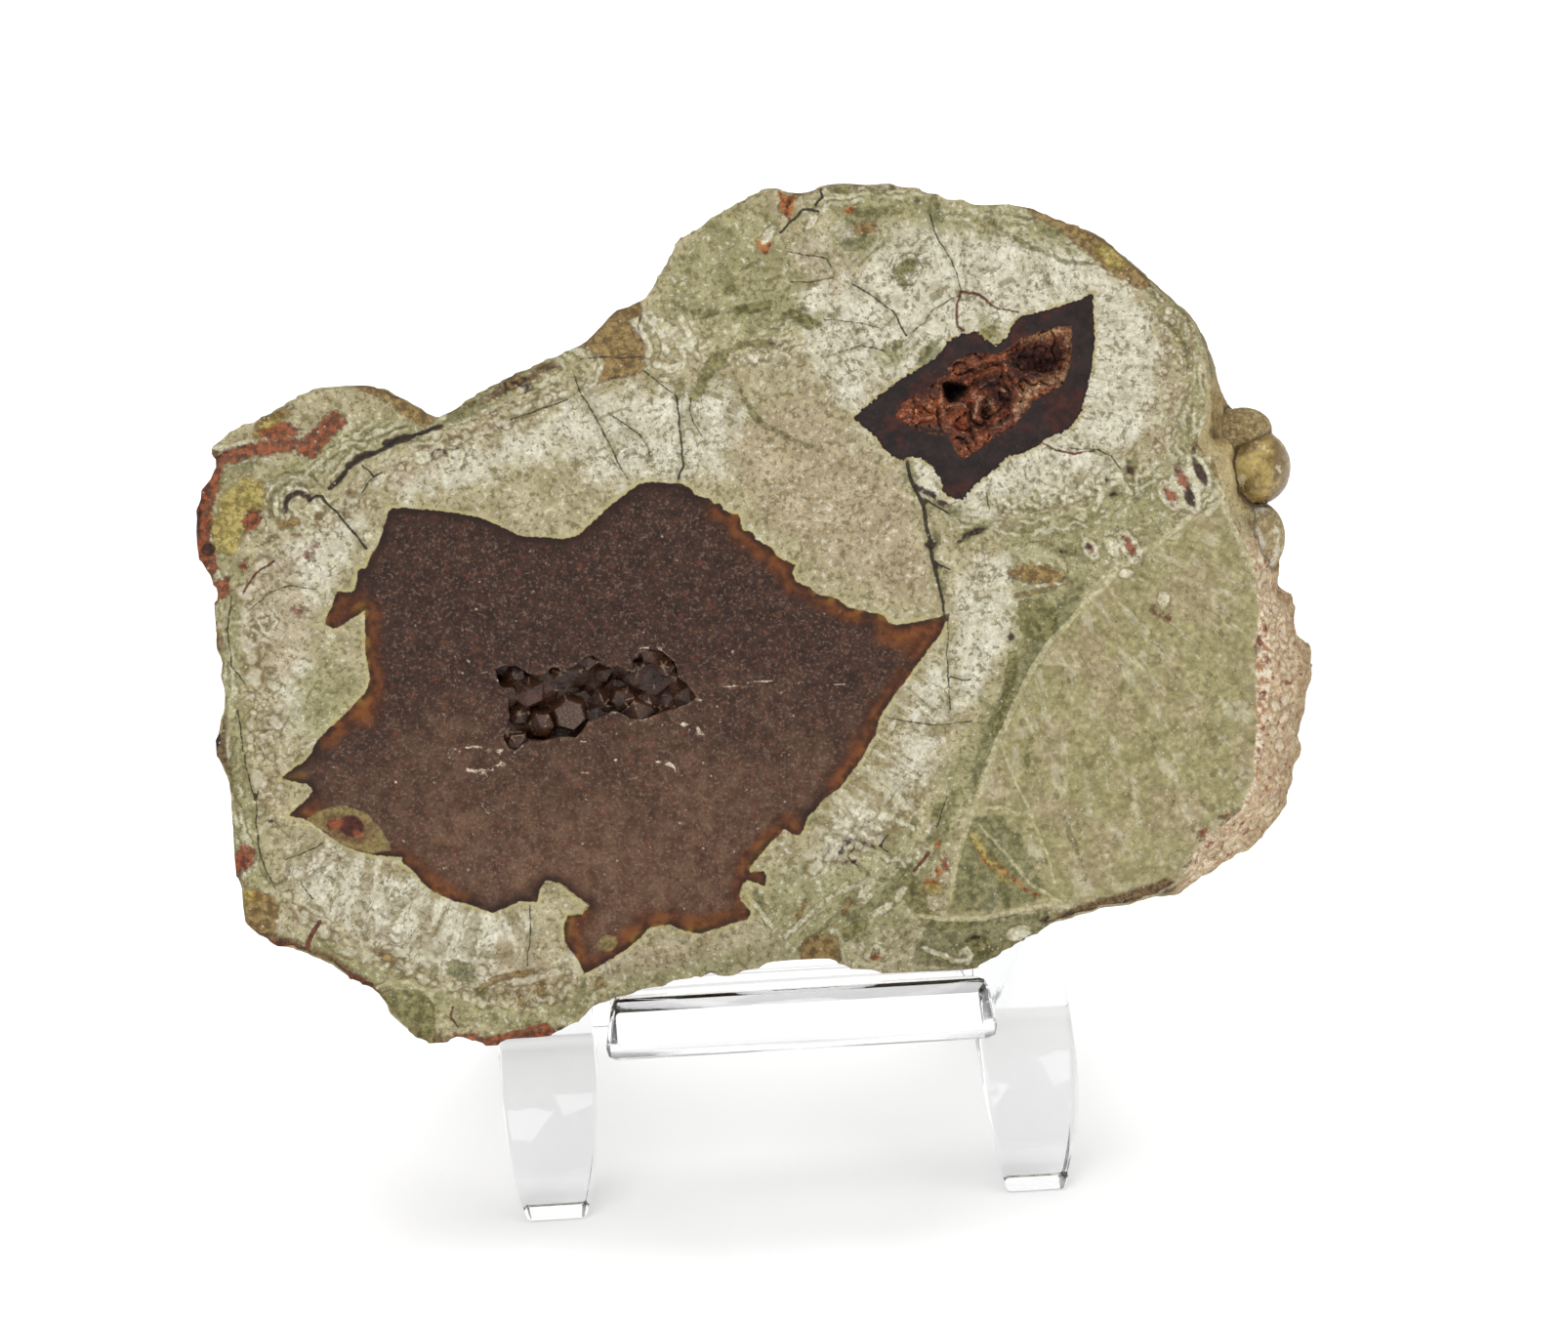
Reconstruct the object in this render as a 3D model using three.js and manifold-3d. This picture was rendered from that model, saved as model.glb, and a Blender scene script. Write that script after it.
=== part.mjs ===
// An agate cut and polished on its front, leaning back in a small clear stand.
// Millimetres, +Z up. +X is along the agate's width and -Y is the side that the cut face looks to.

import * as THREE from 'three';
import { mergeVertices } from 'three/addons/utils/BufferGeometryUtils.js';
import Module from 'manifold-3d';

const wasm = await Module();
wasm.setup();

// Where the cut face is. U runs along its width, V up it and N out of it.
const LEAN = THREE.MathUtils.degToRad(20); // the face leans back this far
const LEDGE_HEIGHT = 22; // of the cut face's foot, V = 0
const FOOT_Y = -13.3; // of the same line; it centres the part on its origin
const FACE_X = 0.89; // likewise, along X

// The agate
const THICKNESS = 12;
const RIND_DEPTH = 5; // where the rind reaches out farthest, behind the face
const FACE_CENTRE = [-2, 27];
const LUMP = 0.55; // height of the rind's lumps
const SMOOTH_SPAN = 9; // neighbours on each side that the back's outline is averaged over
const TOUCH_GAP = 0.3; // left between pieces that touch

// Hollows in the face
const MAIN_DEPTH = 5.5;
const LENS_DEPTH = 4.5;
const CRYSTAL_COUNT = 27;
const CRYSTAL_RADIUS = 1.35;
const LENS_LUMPS = 21;
const LENS_LUMP_RADIUS = 1.5;

// The stand
const SHEET = 3; // thickness of its strips
const STRIP_WIDTH = 8;
const STRIP_X = 19.8; // of a strip's middle
const FOOT_WIDTH = 4.8;
const BACKREST_TOP = 34; // V
const BACKREST_FOOT = -6; // V of the bend into the front leg
const LEG_REACH = 33; // the rear feet end this far behind the cut face's foot line
const FRONT_FOOT_Y = 0.8; // the front feet stand this far behind the cut face's foot line
const SHELF_V = -1.45;
const SHELF_HALF_WIDTH = 14.4;
const SHELF_THICKNESS = 2.4;
const BAR_HALF_WIDTH = 15.7;
const BAR_TOP_HALF_WIDTH = 14.9;
const BAR_TOP = 0.1;
const BAR_FOOT = -4.9;
const BAR_NEAR = 2.6; // N of the bar's two sides
const BAR_FAR = 5.2;
const BAR_BEVEL = 0.55;

const STONE_LOOK = { color: 0xb9b28f, roughness: 0.42, metalness: 0 };
const CRYSTAL_LOOK = { color: 0x4a2c1d, roughness: 0.25, metalness: 0 };
const LENS_LOOK = { color: 0x7a3a24, roughness: 0.5, metalness: 0 };
const CLEAR_LOOK = { color: 0xf2f4f6, roughness: 0.05, metalness: 0, transparent: true, opacity: 0.35 };

// The edge of the cut face, clockwise from its upper left corner.
const FACE_OUTLINE = [
  [-44.4, 44.7], [-43.2, 45.6], [-41.9, 46.4], [-40.6, 46.9], [-39.2, 47.6], [-38.1, 48.3],
  [-36.6, 49], [-35.1, 49.3], [-33.6, 49.4], [-31.7, 49.3], [-30.3, 48.9], [-29.3, 47.7],
  [-29, 46.8], [-28.1, 46.1], [-26.5, 46.4], [-25.2, 46.9], [-24.4, 47.6], [-22.5, 48.6],
  [-20.6, 49.4], [-18.5, 50.3], [-15.9, 51.2], [-15, 51.5], [-14.1, 52.2], [-13.1, 53.1],
  [-12.4, 53.9], [-11.4, 54.5], [-9.9, 54.8], [-9.3, 55.5], [-8.6, 56.6], [-7.9, 57.7],
  [-7.3, 58.7], [-6.7, 59.6], [-5.3, 60.3], [-3.8, 61.2], [-2.6, 61.9], [-1.3, 62.6],
  [-0.1, 63.1], [0.9, 63.4], [2.1, 63.1], [3.2, 62.8], [4.3, 63.1], [5.7, 63.6], [7, 63.5],
  [8.2, 63.2], [10.3, 63.2], [12.4, 62.8], [14.2, 62], [16.3, 61.5], [17.8, 61.1], [20.7, 61],
  [21.9, 60.5], [23.8, 59.5], [25.2, 59], [26.6, 58.2], [27.8, 57.2], [28.8, 56.1], [30.1, 54.9],
  [31.2, 53.8], [32.3, 52.7], [33.4, 51.7], [34.2, 50.7], [34.7, 49.3], [35, 47.8], [35, 46.3],
  [34.8, 44.9], [34.9, 43.7], [34.2, 42.4], [33.4, 40.9], [34.8, 39.8], [35.3, 38], [35.8, 36.5],
  [36.3, 34.7], [37.3, 32.8], [38.1, 31], [38, 29.2], [38.7, 27.5], [39, 25.4], [39, 23.1],
  [38.6, 20.2], [38.2, 17.3], [37.7, 14.6], [37.2, 12.5], [35.9, 11.5], [34.6, 10.6], [33.4, 9.7],
  [32.4, 8.2], [31.3, 6.6], [29.8, 5.4], [28.3, 4.9], [26.9, 4.3], [24.9, 4.2], [23.5, 3.9],
  [22.5, 3.6], [21, 3.1], [19.7, 2.3], [18.3, 1.8], [16.8, 1], [15.7, 0.2], [14.5, -0.2],
  [13.2, -0.4], [10.6, -0.3], [7.8, -0.2], [5.3, 0.1], [4.2, 0.4], [3.2, 1], [2.3, 1.3],
  [-0.2, 1.4], [-1.9, 1.2], [-3.4, 0.7], [-5, 0.4], [-6.9, 0.5], [-8.4, 0.4], [-10.1, 0],
  [-12.4, -0.5], [-14.6, -1.1], [-16.5, -1.7], [-17.3, -2.5], [-18.1, -2.8], [-19.7, -3.6],
  [-20.8, -3.9], [-22.8, -3.8], [-24, -4.1], [-24.9, -4.2], [-26, -3.7], [-27.1, -3.4],
  [-28.4, -3.7], [-29.5, -3.9], [-30.6, -3], [-31.9, -1.9], [-32.7, -0.9], [-33.1, 0.1],
  [-33.8, 0.9], [-35.4, 1.8], [-37.2, 3.1], [-38.8, 4], [-39.9, 4.4], [-41.6, 5], [-42.1, 5.6],
  [-42.8, 6.2], [-43.6, 7], [-43.9, 8.2], [-43.9, 9.6], [-44.3, 11.3], [-44.3, 13.4],
  [-44.4, 15.3], [-44.3, 17], [-44.6, 18.8], [-45, 20], [-45.3, 21.2], [-45, 22.5],
  [-44.6, 23.7], [-44.4, 25.2], [-44.5, 26.5], [-44.5, 28], [-44.8, 29.1], [-44.6, 30.2],
  [-44.8, 31.9], [-44.5, 33.2], [-44.7, 34], [-45.1, 35.1], [-45.6, 35.9], [-45.9, 36.9],
  [-45.9, 38.1], [-45.6, 39.7], [-45.4, 41], [-44.8, 42], [-44.1, 42.9], [-43.9, 43.6],
];

// How far the rind reaches beyond the face along the upper right, right and lower right.
const RIGHT_RIND = [
  [20.9, 60.9], [24.1, 59.9], [26.2, 59.1], [28.2, 58], [29.9, 56.5], [31.3, 55.3], [32.3, 54.2],
  [33.5, 52.9], [34.7, 51.8], [35.6, 50.8], [36.2, 49.3], [36.8, 47.6], [36.9, 46.1], [37.4, 44.9],
  [38, 44], [39.4, 43.3], [40.4, 42.3], [41, 41], [41.2, 39.6], [41.1, 38.2], [41.2, 36.6],
  [41.8, 34.7], [41.8, 32.8], [41.7, 31.1], [41.3, 29.5], [41.7, 28.3], [42.4, 27.3], [43.1, 25.2],
  [43.9, 23.9], [44.3, 22.4], [43.9, 21], [43.1, 18.7], [42.7, 17.8], [42.7, 16.1], [42.3, 14.5],
  [41.7, 11.6], [40.9, 10.2], [40.1, 9.2], [39.1, 8.1], [37.6, 6.8], [35.9, 6.3], [34.9, 5.5],
  [33.7, 5.2], [32.7, 4.3], [31.7, 3.9], [30, 4.1], [28, 3.8], [25.3, 3.6], [22, 2.7],
];

const MAIN_HOLLOW = [
  [-22.8, 26.2], [-21, 26.4], [-19, 25.6], [-16.5, 26], [-14.9, 26.9], [-13.8, 26], [-12.3, 25.7],
  [-11.3, 26.9], [-9.4, 26.9], [-8.5, 26], [-8.2, 24.8], [-6.9, 23.1], [-8.9, 22.1], [-11.3, 21.5],
  [-13.9, 22.1], [-15.8, 21.5], [-16.6, 20.4], [-19, 20.2], [-21.7, 19.6], [-22.5, 20.8],
  [-21.8, 22.5], [-21.7, 24.1], [-22.7, 25.2],
];

const LENS_HOLLOW = [
  [9.8, 44.6], [10.4, 45.6], [11.6, 46.4], [12.8, 46.9], [13.7, 47.7], [14.6, 48.8], [15.8, 49.3],
  [17, 49.5], [18.2, 49.1], [19.1, 49.6], [20.2, 50.5], [21.7, 50.8], [23.1, 51.1], [24.2, 51.1],
  [24.2, 49.6], [24, 48], [23.4, 46.4], [22.2, 45.8], [21.2, 45.5], [20.2, 44.3], [19.2, 43.2],
  [17.9, 42.5], [16.5, 41.6], [15.1, 40.8], [14.5, 41.8], [14, 42.9], [12.4, 43.2], [10.9, 43.7],
];

// Lumps that stand out of the rind: place on the face, depth behind it and radius.
const RIND_LUMPS = [
  [39, 38.3, 3.6, 2.35], [38.4, 42, 4.4, 1.7], [36.4, 44, 4.6, 1.3], [40.2, 34, 5, 1.5],
  [39.6, 31.2, 4.2, 1.6], [41, 27.6, 4.6, 1.6], [42, 23.6, 5.2, 1.9], [41.6, 19.4, 4.8, 1.6],
  [41, 15.8, 5, 1.8], [39.6, 12.4, 4.6, 1.6], [37.6, 9.2, 5, 1.5], [-30.5, 46.6, 6, 1.8],
];

// Repeatable scatter in 0..1.
function scatter(seed) {
  const s = Math.sin(seed * 127.1 + 11.7) * 43758.5453;
  return s - Math.floor(s);
}

// Slow waves in place of noise; it stays within -1..1.
function waves(u, v, n) {
  const broad = Math.sin(0.42 * u + 1.3 * Math.sin(0.31 * v)) * Math.cos(0.37 * v + 0.6 * n);
  const fine = Math.sin(1.13 * u - 0.7 * n + 2) * Math.sin(0.97 * v + 0.83 * n + 0.4);
  return 0.6 * broad + 0.4 * fine;
}

function angleOf([u, v]) {
  return Math.atan2(v - FACE_CENTRE[1], u - FACE_CENTRE[0]);
}

// Distance from the centre to an open or closed line of points, along a direction; null if missed.
function reach(points, angle, closed) {
  const [cu, cv] = FACE_CENTRE;
  const du = Math.cos(angle);
  const dv = Math.sin(angle);
  let best = null;
  const spans = closed ? points.length : points.length - 1;
  for (let i = 0; i < spans; i += 1) {
    const [au, av] = points[i];
    const [bu, bv] = points[(i + 1) % points.length];
    const eu = bu - au;
    const ev = bv - av;
    const det = du * ev - dv * eu;
    if (Math.abs(det) < 1e-9) continue;
    const along = ((au - cu) * ev - (av - cv) * eu) / det;
    const part = ((au - cu) * dv - (av - cv) * du) / det;
    if (along > 0 && part >= -1e-6 && part <= 1 + 1e-6) best = best === null ? along : Math.max(best, along);
  }
  return best;
}

function solidFrom(geometry) {
  const bare = geometry.clone();
  bare.deleteAttribute('normal');
  bare.deleteAttribute('uv');
  const merged = mergeVertices(bare, 1e-4);
  const vertProperties = new Float32Array(merged.attributes.position.array);
  const triVerts = new Uint32Array(merged.index.array);
  return new wasm.Manifold(new wasm.Mesh({ numProp: 3, vertProperties, triVerts }));
}

function geometryFrom(solid) {
  const { vertProperties, triVerts } = solid.getMesh();
  const geometry = new THREE.BufferGeometry();
  geometry.setAttribute('position', new THREE.BufferAttribute(new Float32Array(vertProperties), 3));
  geometry.setIndex(new THREE.BufferAttribute(new Uint32Array(triVerts), 1));
  const faceted = geometry.toNonIndexed();
  faceted.computeVertexNormals();
  return faceted;
}

// The largest skin of a solid alone, which drops loose chips and fills sealed holes.
function wholeOf(solid) {
  return solid.decompose().reduce((best, one) => (one.volume() > best.volume() ? one : best));
}

// A closed skin over rings of equal length, the first one nearest to +N, with a middle at each end.
function loft(rings, nearMiddle, farMiddle) {
  const count = rings[0].length;
  const positions = [nearMiddle, ...rings.flat(), farMiddle].flat();
  const far = positions.length / 3 - 1;
  const at = (ring, i) => 1 + ring * count + (i % count);
  const index = [];
  for (let i = 0; i < count; i += 1) {
    index.push(0, at(0, i), at(0, i + 1));
    for (let r = 0; r + 1 < rings.length; r += 1) {
      index.push(at(r, i), at(r + 1, i), at(r + 1, i + 1));
      index.push(at(r, i), at(r + 1, i + 1), at(r, i + 1));
    }
    index.push(far, at(rings.length - 1, i + 1), at(rings.length - 1, i));
  }
  const geometry = new THREE.BufferGeometry();
  geometry.setAttribute('position', new THREE.Float32BufferAttribute(positions, 3));
  geometry.setIndex(index);
  return geometry;
}

// The rind's reach averaged over its neighbours, for the even back.
function smoothReach(sections, i) {
  let total = 0;
  for (let k = -SMOOTH_SPAN; k <= SMOOTH_SPAN; k += 1) {
    total += sections[(i + k + sections.length) % sections.length].rind;
  }
  return total / (2 * SMOOTH_SPAN + 1);
}

// The agate without its hollows: the face in front, the rind round it and a low, lumpy back.
function stoneBody() {
  const counter = [...FACE_OUTLINE].sort((a, b) => angleOf(a) - angleOf(b));
  const sections = counter.map((point) => {
    const angle = angleOf(point);
    const face = reach(FACE_OUTLINE, angle, true);
    const rind = reach(RIGHT_RIND, angle, false);
    return { angle, face, rind: rind === null ? face - 0.25 : Math.max(rind, face) };
  });
  // Depth behind the face, share of the way from face to rind, and scale of the result.
  const steps = [
    [0, 0, 1, 0], [0.35, 0.25, 1, 0.1], [1.2, 0.55, 1, 0.3], [2.6, 0.85, 1, 0.6],
    [RIND_DEPTH, 1, 1, 0.6], [7.2, 1, 0.985, 1], [9.2, 1, 0.96, 1], [10.6, 1, 0.91, 1],
    [11.3, 1, 0.82, 1], [11.5, 1, 0.66, 1], [11.6, 1, 0.44, 1], [11.6, 1, 0.22, 1],
  ];
  const rings = steps.map(([depth, share, scale, rough]) => sections.map(({ angle, face, rind }, i) => {
    const evenness = Math.max(0, depth - 8) / 3.6;
    const edge = (face + (rind - face) * share) * (1 - evenness) + smoothReach(sections, i) * evenness;
    const plain = edge * scale;
    const u = FACE_CENTRE[0] + plain * Math.cos(angle);
    const v = FACE_CENTRE[1] + plain * Math.sin(angle);
    const bump = -LUMP * rough * (0.5 + 0.5 * waves(u, v, depth));
    const radius = depth > 11 ? plain : plain + bump;
    const out = depth > 11 ? -depth - bump * 0.7 - 0.3 : -depth;
    return [
      FACE_CENTRE[0] + radius * Math.cos(angle),
      FACE_CENTRE[1] + radius * Math.sin(angle),
      Math.max(out, -THICKNESS),
    ];
  }));
  return solidFrom(loft(rings, [...FACE_CENTRE, 0], [...FACE_CENTRE, -THICKNESS + 0.4]));
}

// The outline moved inwards by a margin, each corner along its own bisector.
function inset(outline, margin) {
  const turn = THREE.ShapeUtils.area(outline.map(([u, v]) => new THREE.Vector2(u, v))) > 0 ? 1 : -1;
  return outline.map(([u, v], i) => {
    const before = outline[(i + outline.length - 1) % outline.length];
    const after = outline[(i + 1) % outline.length];
    const come = new THREE.Vector2(u - before[0], v - before[1]).normalize();
    const go = new THREE.Vector2(after[0] - u, after[1] - v).normalize();
    const normal = new THREE.Vector2(-come.y - go.y, come.x + go.x).normalize().multiplyScalar(turn);
    const stretch = Math.max(0.4, normal.x * -go.y * turn + normal.y * go.x * turn);
    return new THREE.Vector2(u + (normal.x * margin) / stretch, v + (normal.y * margin) / stretch);
  });
}

// A straight-walled block with the outline of a hollow, inset by a margin and open to +N.
function hollowBlock(outline, margin, depth, near) {
  const shape = new THREE.Shape(inset(outline, margin));
  const geometry = new THREE.ExtrudeGeometry(shape, { depth: depth + near, bevelEnabled: false });
  geometry.translate(0, 0, -depth);
  return solidFrom(geometry);
}

function stoneSolid() {
  let solid = stoneBody();
  RIND_LUMPS.forEach(([u, v, depth, radius]) => {
    const lump = new THREE.IcosahedronGeometry(radius, 3);
    lump.translate(u, v, -depth);
    solid = solid.add(solidFrom(lump));
  });
  solid = solid.subtract(hollowBlock(MAIN_HOLLOW, 0, MAIN_DEPTH, 1));
  return solid.subtract(hollowBlock(LENS_HOLLOW, 0, LENS_DEPTH, 1));
}

// A six-sided crystal with a pointed end, standing at a place and leaning a little.
function crystal(u, v, base, height, radius, turn, tilt) {
  const body = new THREE.CylinderGeometry(radius, radius, height, 6);
  body.translate(0, height / 2, 0);
  const tip = new THREE.ConeGeometry(radius, radius * 1.1, 6);
  tip.translate(0, height + radius * 0.55 - 0.02, 0);
  const place = new THREE.Matrix4().makeRotationX(Math.PI / 2);
  const lean = new THREE.Matrix4().makeRotationFromEuler(new THREE.Euler(tilt[0], tilt[1], turn));
  const shift = new THREE.Matrix4().makeTranslation(u, v, base);
  const whole = shift.multiply(lean).multiply(place);
  body.applyMatrix4(whole);
  tip.applyMatrix4(whole);
  return solidFrom(body).add(solidFrom(tip));
}

function spread(outline) {
  const us = outline.map(([u]) => u);
  const vs = outline.map(([, v]) => v);
  return { u0: Math.min(...us), u1: Math.max(...us), v0: Math.min(...vs), v1: Math.max(...vs) };
}

// The dark crystals that line the main hollow, deepest along its middle.
function crystalCrust() {
  const block = hollowBlock(MAIN_HOLLOW, TOUCH_GAP, MAIN_DEPTH - TOUCH_GAP, -0.1);
  const { u0, u1, v0, v1 } = spread(MAIN_HOLLOW);
  const floor = new THREE.BoxGeometry(u1 - u0 + 4, v1 - v0 + 4, 2);
  floor.translate((u0 + u1) / 2, (v0 + v1) / 2, -MAIN_DEPTH);
  let crust = solidFrom(floor);
  for (let i = 0; i < CRYSTAL_COUNT; i += 1) {
    const across = (i % 9) / 8;
    const up = Math.floor(i / 9) / 3;
    const u = u0 + (u1 - u0) * (across + 0.09 * (scatter(i) - 0.5));
    const v = v0 + (v1 - v0) * (up + 0.22 * (scatter(i + 50) - 0.5));
    const edge = Math.abs(up - 0.5) * 2;
    const height = 1.4 + 2.2 * edge + 0.9 * scatter(i + 90);
    const radius = CRYSTAL_RADIUS * (0.7 + 0.5 * scatter(i + 130));
    const tilt = [0.7 * (up - 0.5) + 0.3 * (scatter(i + 170) - 0.5), 0.5 * (scatter(i + 210) - 0.5)];
    crust = crust.add(crystal(u, v, -MAIN_DEPTH + 0.5, height, radius, scatter(i + 250) * 2, tilt));
  }
  return wholeOf(crust.intersect(block));
}

// The rough brown lining of the hollow in the dark lens.
function lensLining() {
  const block = hollowBlock(LENS_HOLLOW, TOUCH_GAP, LENS_DEPTH - TOUCH_GAP, -0.1);
  const { u0, u1, v0, v1 } = spread(LENS_HOLLOW);
  const floor = new THREE.BoxGeometry(u1 - u0 + 4, v1 - v0 + 4, 2.4);
  floor.translate((u0 + u1) / 2, (v0 + v1) / 2, -LENS_DEPTH + 0.4);
  let lining = solidFrom(floor);
  for (let i = 0; i < LENS_LUMPS; i += 1) {
    const along = i / (LENS_LUMPS - 1);
    const side = (i % 3) - 1;
    const u = u0 + 1 + (u1 - u0 - 2) * along;
    const v = v0 + 2.2 + (v1 - v0 - 4) * along + side * 2.3 + 0.8 * (scatter(i + 7) - 0.5);
    const radius = LENS_LUMP_RADIUS * (0.7 + 0.6 * scatter(i + 31));
    const lump = new THREE.IcosahedronGeometry(radius, 1);
    lump.translate(u, v, -LENS_DEPTH + 1.5 + 0.9 * Math.abs(side));
    lining = lining.add(solidFrom(lump));
  }
  return wholeOf(lining.intersect(block));
}

// One side of the stand seen along X: front leg, backrest and rear leg of one bent strip.
function stripProfile() {
  const along = new THREE.Vector2(Math.sin(LEAN), Math.cos(LEAN));
  const behind = new THREE.Vector2(Math.cos(LEAN), -Math.sin(LEAN));
  const rest = new THREE.Vector2(0, LEDGE_HEIGHT).addScaledVector(behind, THICKNESS + TOUCH_GAP);
  const bend = rest.clone().addScaledVector(along, BACKREST_FOOT);
  const top = rest.clone().addScaledVector(along, BACKREST_TOP);
  const bendBack = bend.clone().addScaledVector(behind, SHEET * 0.9).addScaledVector(along, -SHEET * 0.5);
  const topBack = top.clone().addScaledVector(behind, SHEET);
  const shape = new THREE.Shape();
  shape.moveTo(FRONT_FOOT_Y, 0);
  shape.bezierCurveTo(FRONT_FOOT_Y - 0.2, 6, FRONT_FOOT_Y + 3.4, 9.6, bend.x, bend.y);
  shape.lineTo(top.x, top.y);
  shape.quadraticCurveTo(top.x + 1.1, top.y + 2.6, topBack.x + 1.6, topBack.y + 0.6);
  shape.lineTo(LEG_REACH, 0);
  shape.lineTo(LEG_REACH - SHEET * 1.15, 0);
  shape.lineTo(topBack.x - 0.9, topBack.y - 7.5);
  shape.lineTo(bendBack.x, bendBack.y);
  shape.bezierCurveTo(FRONT_FOOT_Y + 7.2, 8, FRONT_FOOT_Y + 4.4, 5, FRONT_FOOT_Y + 4.2, 0);
  shape.closePath();
  return shape;
}

// The same strip seen from the front: it narrows to a rounded foot.
function stripFront() {
  const half = STRIP_WIDTH / 2;
  const foot = FOOT_WIDTH / 2;
  const high = LEDGE_HEIGHT + BACKREST_TOP + 10;
  const shape = new THREE.Shape();
  shape.moveTo(-foot + 0.7, 0);
  shape.lineTo(foot - 0.7, 0);
  shape.quadraticCurveTo(foot, 0, foot + 0.15, 1);
  shape.quadraticCurveTo(half * 0.96, 5.5, half, 11);
  shape.lineTo(half, high);
  shape.lineTo(-half, high);
  shape.lineTo(-half, 11);
  shape.quadraticCurveTo(-half * 0.96, 5.5, -foot - 0.15, 1);
  shape.quadraticCurveTo(-foot, 0, -foot + 0.7, 0);
  return shape;
}

function strip(side) {
  const profile = new THREE.ExtrudeGeometry(stripProfile(), { depth: STRIP_WIDTH + 2, bevelEnabled: false, curveSegments: 10 });
  // The profile's x is Y here and its y is Z.
  profile.translate(0, 0, -STRIP_WIDTH / 2 - 1);
  profile.rotateX(Math.PI / 2);
  profile.rotateZ(Math.PI / 2);
  const front = new THREE.ExtrudeGeometry(stripFront(), { depth: 120, bevelEnabled: false, curveSegments: 8 });
  front.rotateX(Math.PI / 2);
  front.translate(0, 80, 0);
  return solidFrom(profile).intersect(solidFrom(front)).translate([side * STRIP_X, 0, 0]);
}

// A box in the face's own directions, moved to where the cut face stands.
function onFace(geometry) {
  return geometry.rotateX(Math.PI / 2 - LEAN).translate(0, 0, LEDGE_HEIGHT);
}

function faceBox(u0, u1, v0, v1, n0, n1) {
  const box = new THREE.BoxGeometry(u1 - u0, v1 - v0, n1 - n0);
  box.translate((u0 + u1) / 2, (v0 + v1) / 2, (n0 + n1) / 2);
  return solidFrom(onFace(box));
}

// The bar in front of the shelf, wider at its foot, with bevelled edges.
function frontBar() {
  const shape = new THREE.Shape();
  const inset = BAR_BEVEL;
  shape.moveTo(-BAR_HALF_WIDTH + inset, BAR_FOOT + inset);
  shape.lineTo(BAR_HALF_WIDTH - inset, BAR_FOOT + inset);
  shape.lineTo(BAR_TOP_HALF_WIDTH - inset, BAR_TOP - inset);
  shape.lineTo(-BAR_TOP_HALF_WIDTH + inset, BAR_TOP - inset);
  shape.closePath();
  const depth = BAR_FAR - BAR_NEAR - 2 * BAR_BEVEL;
  const options = { depth, bevelThickness: BAR_BEVEL, bevelSize: BAR_BEVEL, bevelSegments: 3 };
  const bar = new THREE.ExtrudeGeometry(shape, options);
  bar.translate(0, 0, BAR_NEAR + BAR_BEVEL);
  return solidFrom(onFace(bar));
}

function standSolid() {
  const back = -THICKNESS - TOUCH_GAP;
  const shelfFoot = SHELF_V - SHELF_THICKNESS;
  const shelf = faceBox(-SHELF_HALF_WIDTH, SHELF_HALF_WIDTH, shelfFoot, SHELF_V, back - SHEET, BAR_NEAR + 0.8);
  const crossbar = faceBox(-STRIP_X, STRIP_X, BACKREST_FOOT + 0.6, SHELF_V, back - SHEET * 0.9, back - 0.05);
  return strip(-1).add(strip(1)).add(shelf).add(crossbar).add(frontBar());
}

function piece(name, geometry, look) {
  const mesh = new THREE.Mesh(geometry, new THREE.MeshStandardMaterial({ ...look, flatShading: true }));
  mesh.name = name;
  return mesh;
}

const agate = new THREE.Group();
agate.rotation.x = Math.PI / 2 - LEAN;
agate.position.set(0, 0, LEDGE_HEIGHT);
agate.add(piece('agate_stone', geometryFrom(stoneSolid()), STONE_LOOK));
agate.add(piece('hollow_crystals', geometryFrom(crystalCrust()), CRYSTAL_LOOK));
agate.add(piece('lens_lining', geometryFrom(lensLining()), LENS_LOOK));

const part = new THREE.Group();
part.position.set(FACE_X, FOOT_Y, 0);
part.add(agate);
part.add(piece('stand', geometryFrom(standSolid()), CLEAR_LOOK));

export default part;
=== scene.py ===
"""An agate with a polished face and two hollows, leaning back in a small clear stand."""

import math
import random

import bmesh
import bpy
import numpy as np
from mathutils import Matrix, Vector, noise
from mathutils.geometry import delaunay_2d_cdt


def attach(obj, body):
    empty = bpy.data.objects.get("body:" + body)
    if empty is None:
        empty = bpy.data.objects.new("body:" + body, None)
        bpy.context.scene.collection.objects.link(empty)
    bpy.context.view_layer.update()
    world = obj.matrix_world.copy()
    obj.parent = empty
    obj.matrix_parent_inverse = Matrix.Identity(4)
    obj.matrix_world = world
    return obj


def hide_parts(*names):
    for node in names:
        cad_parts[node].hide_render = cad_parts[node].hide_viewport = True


bl_info = {
    "name": "Cut agate on a clear stand",
    "version": (1, 0, 0),
    "blender": (4, 5, 0),
    "location": "3D View > Sidebar > Agate",
    "description": "Builds an agate with a polished face, the crystals in its hollows and its clear stand",
    "category": "Add Mesh",
}

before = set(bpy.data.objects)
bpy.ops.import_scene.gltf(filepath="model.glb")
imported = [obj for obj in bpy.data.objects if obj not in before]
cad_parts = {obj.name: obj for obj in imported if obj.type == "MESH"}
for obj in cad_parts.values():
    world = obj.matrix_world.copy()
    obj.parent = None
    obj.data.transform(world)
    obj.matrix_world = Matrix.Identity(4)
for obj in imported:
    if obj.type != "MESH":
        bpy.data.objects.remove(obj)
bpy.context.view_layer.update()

MM = 0.001

# The cut face: U along its width, V up it and N out of it, in millimetres.
LEAN = math.radians(20)
FACE_FOOT = (0.89, -13.3, 22.0)
SKIN = -0.12  # N of the polished plane
BACK_OF_STONE = -12.3  # N of the stand's backrests

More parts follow.
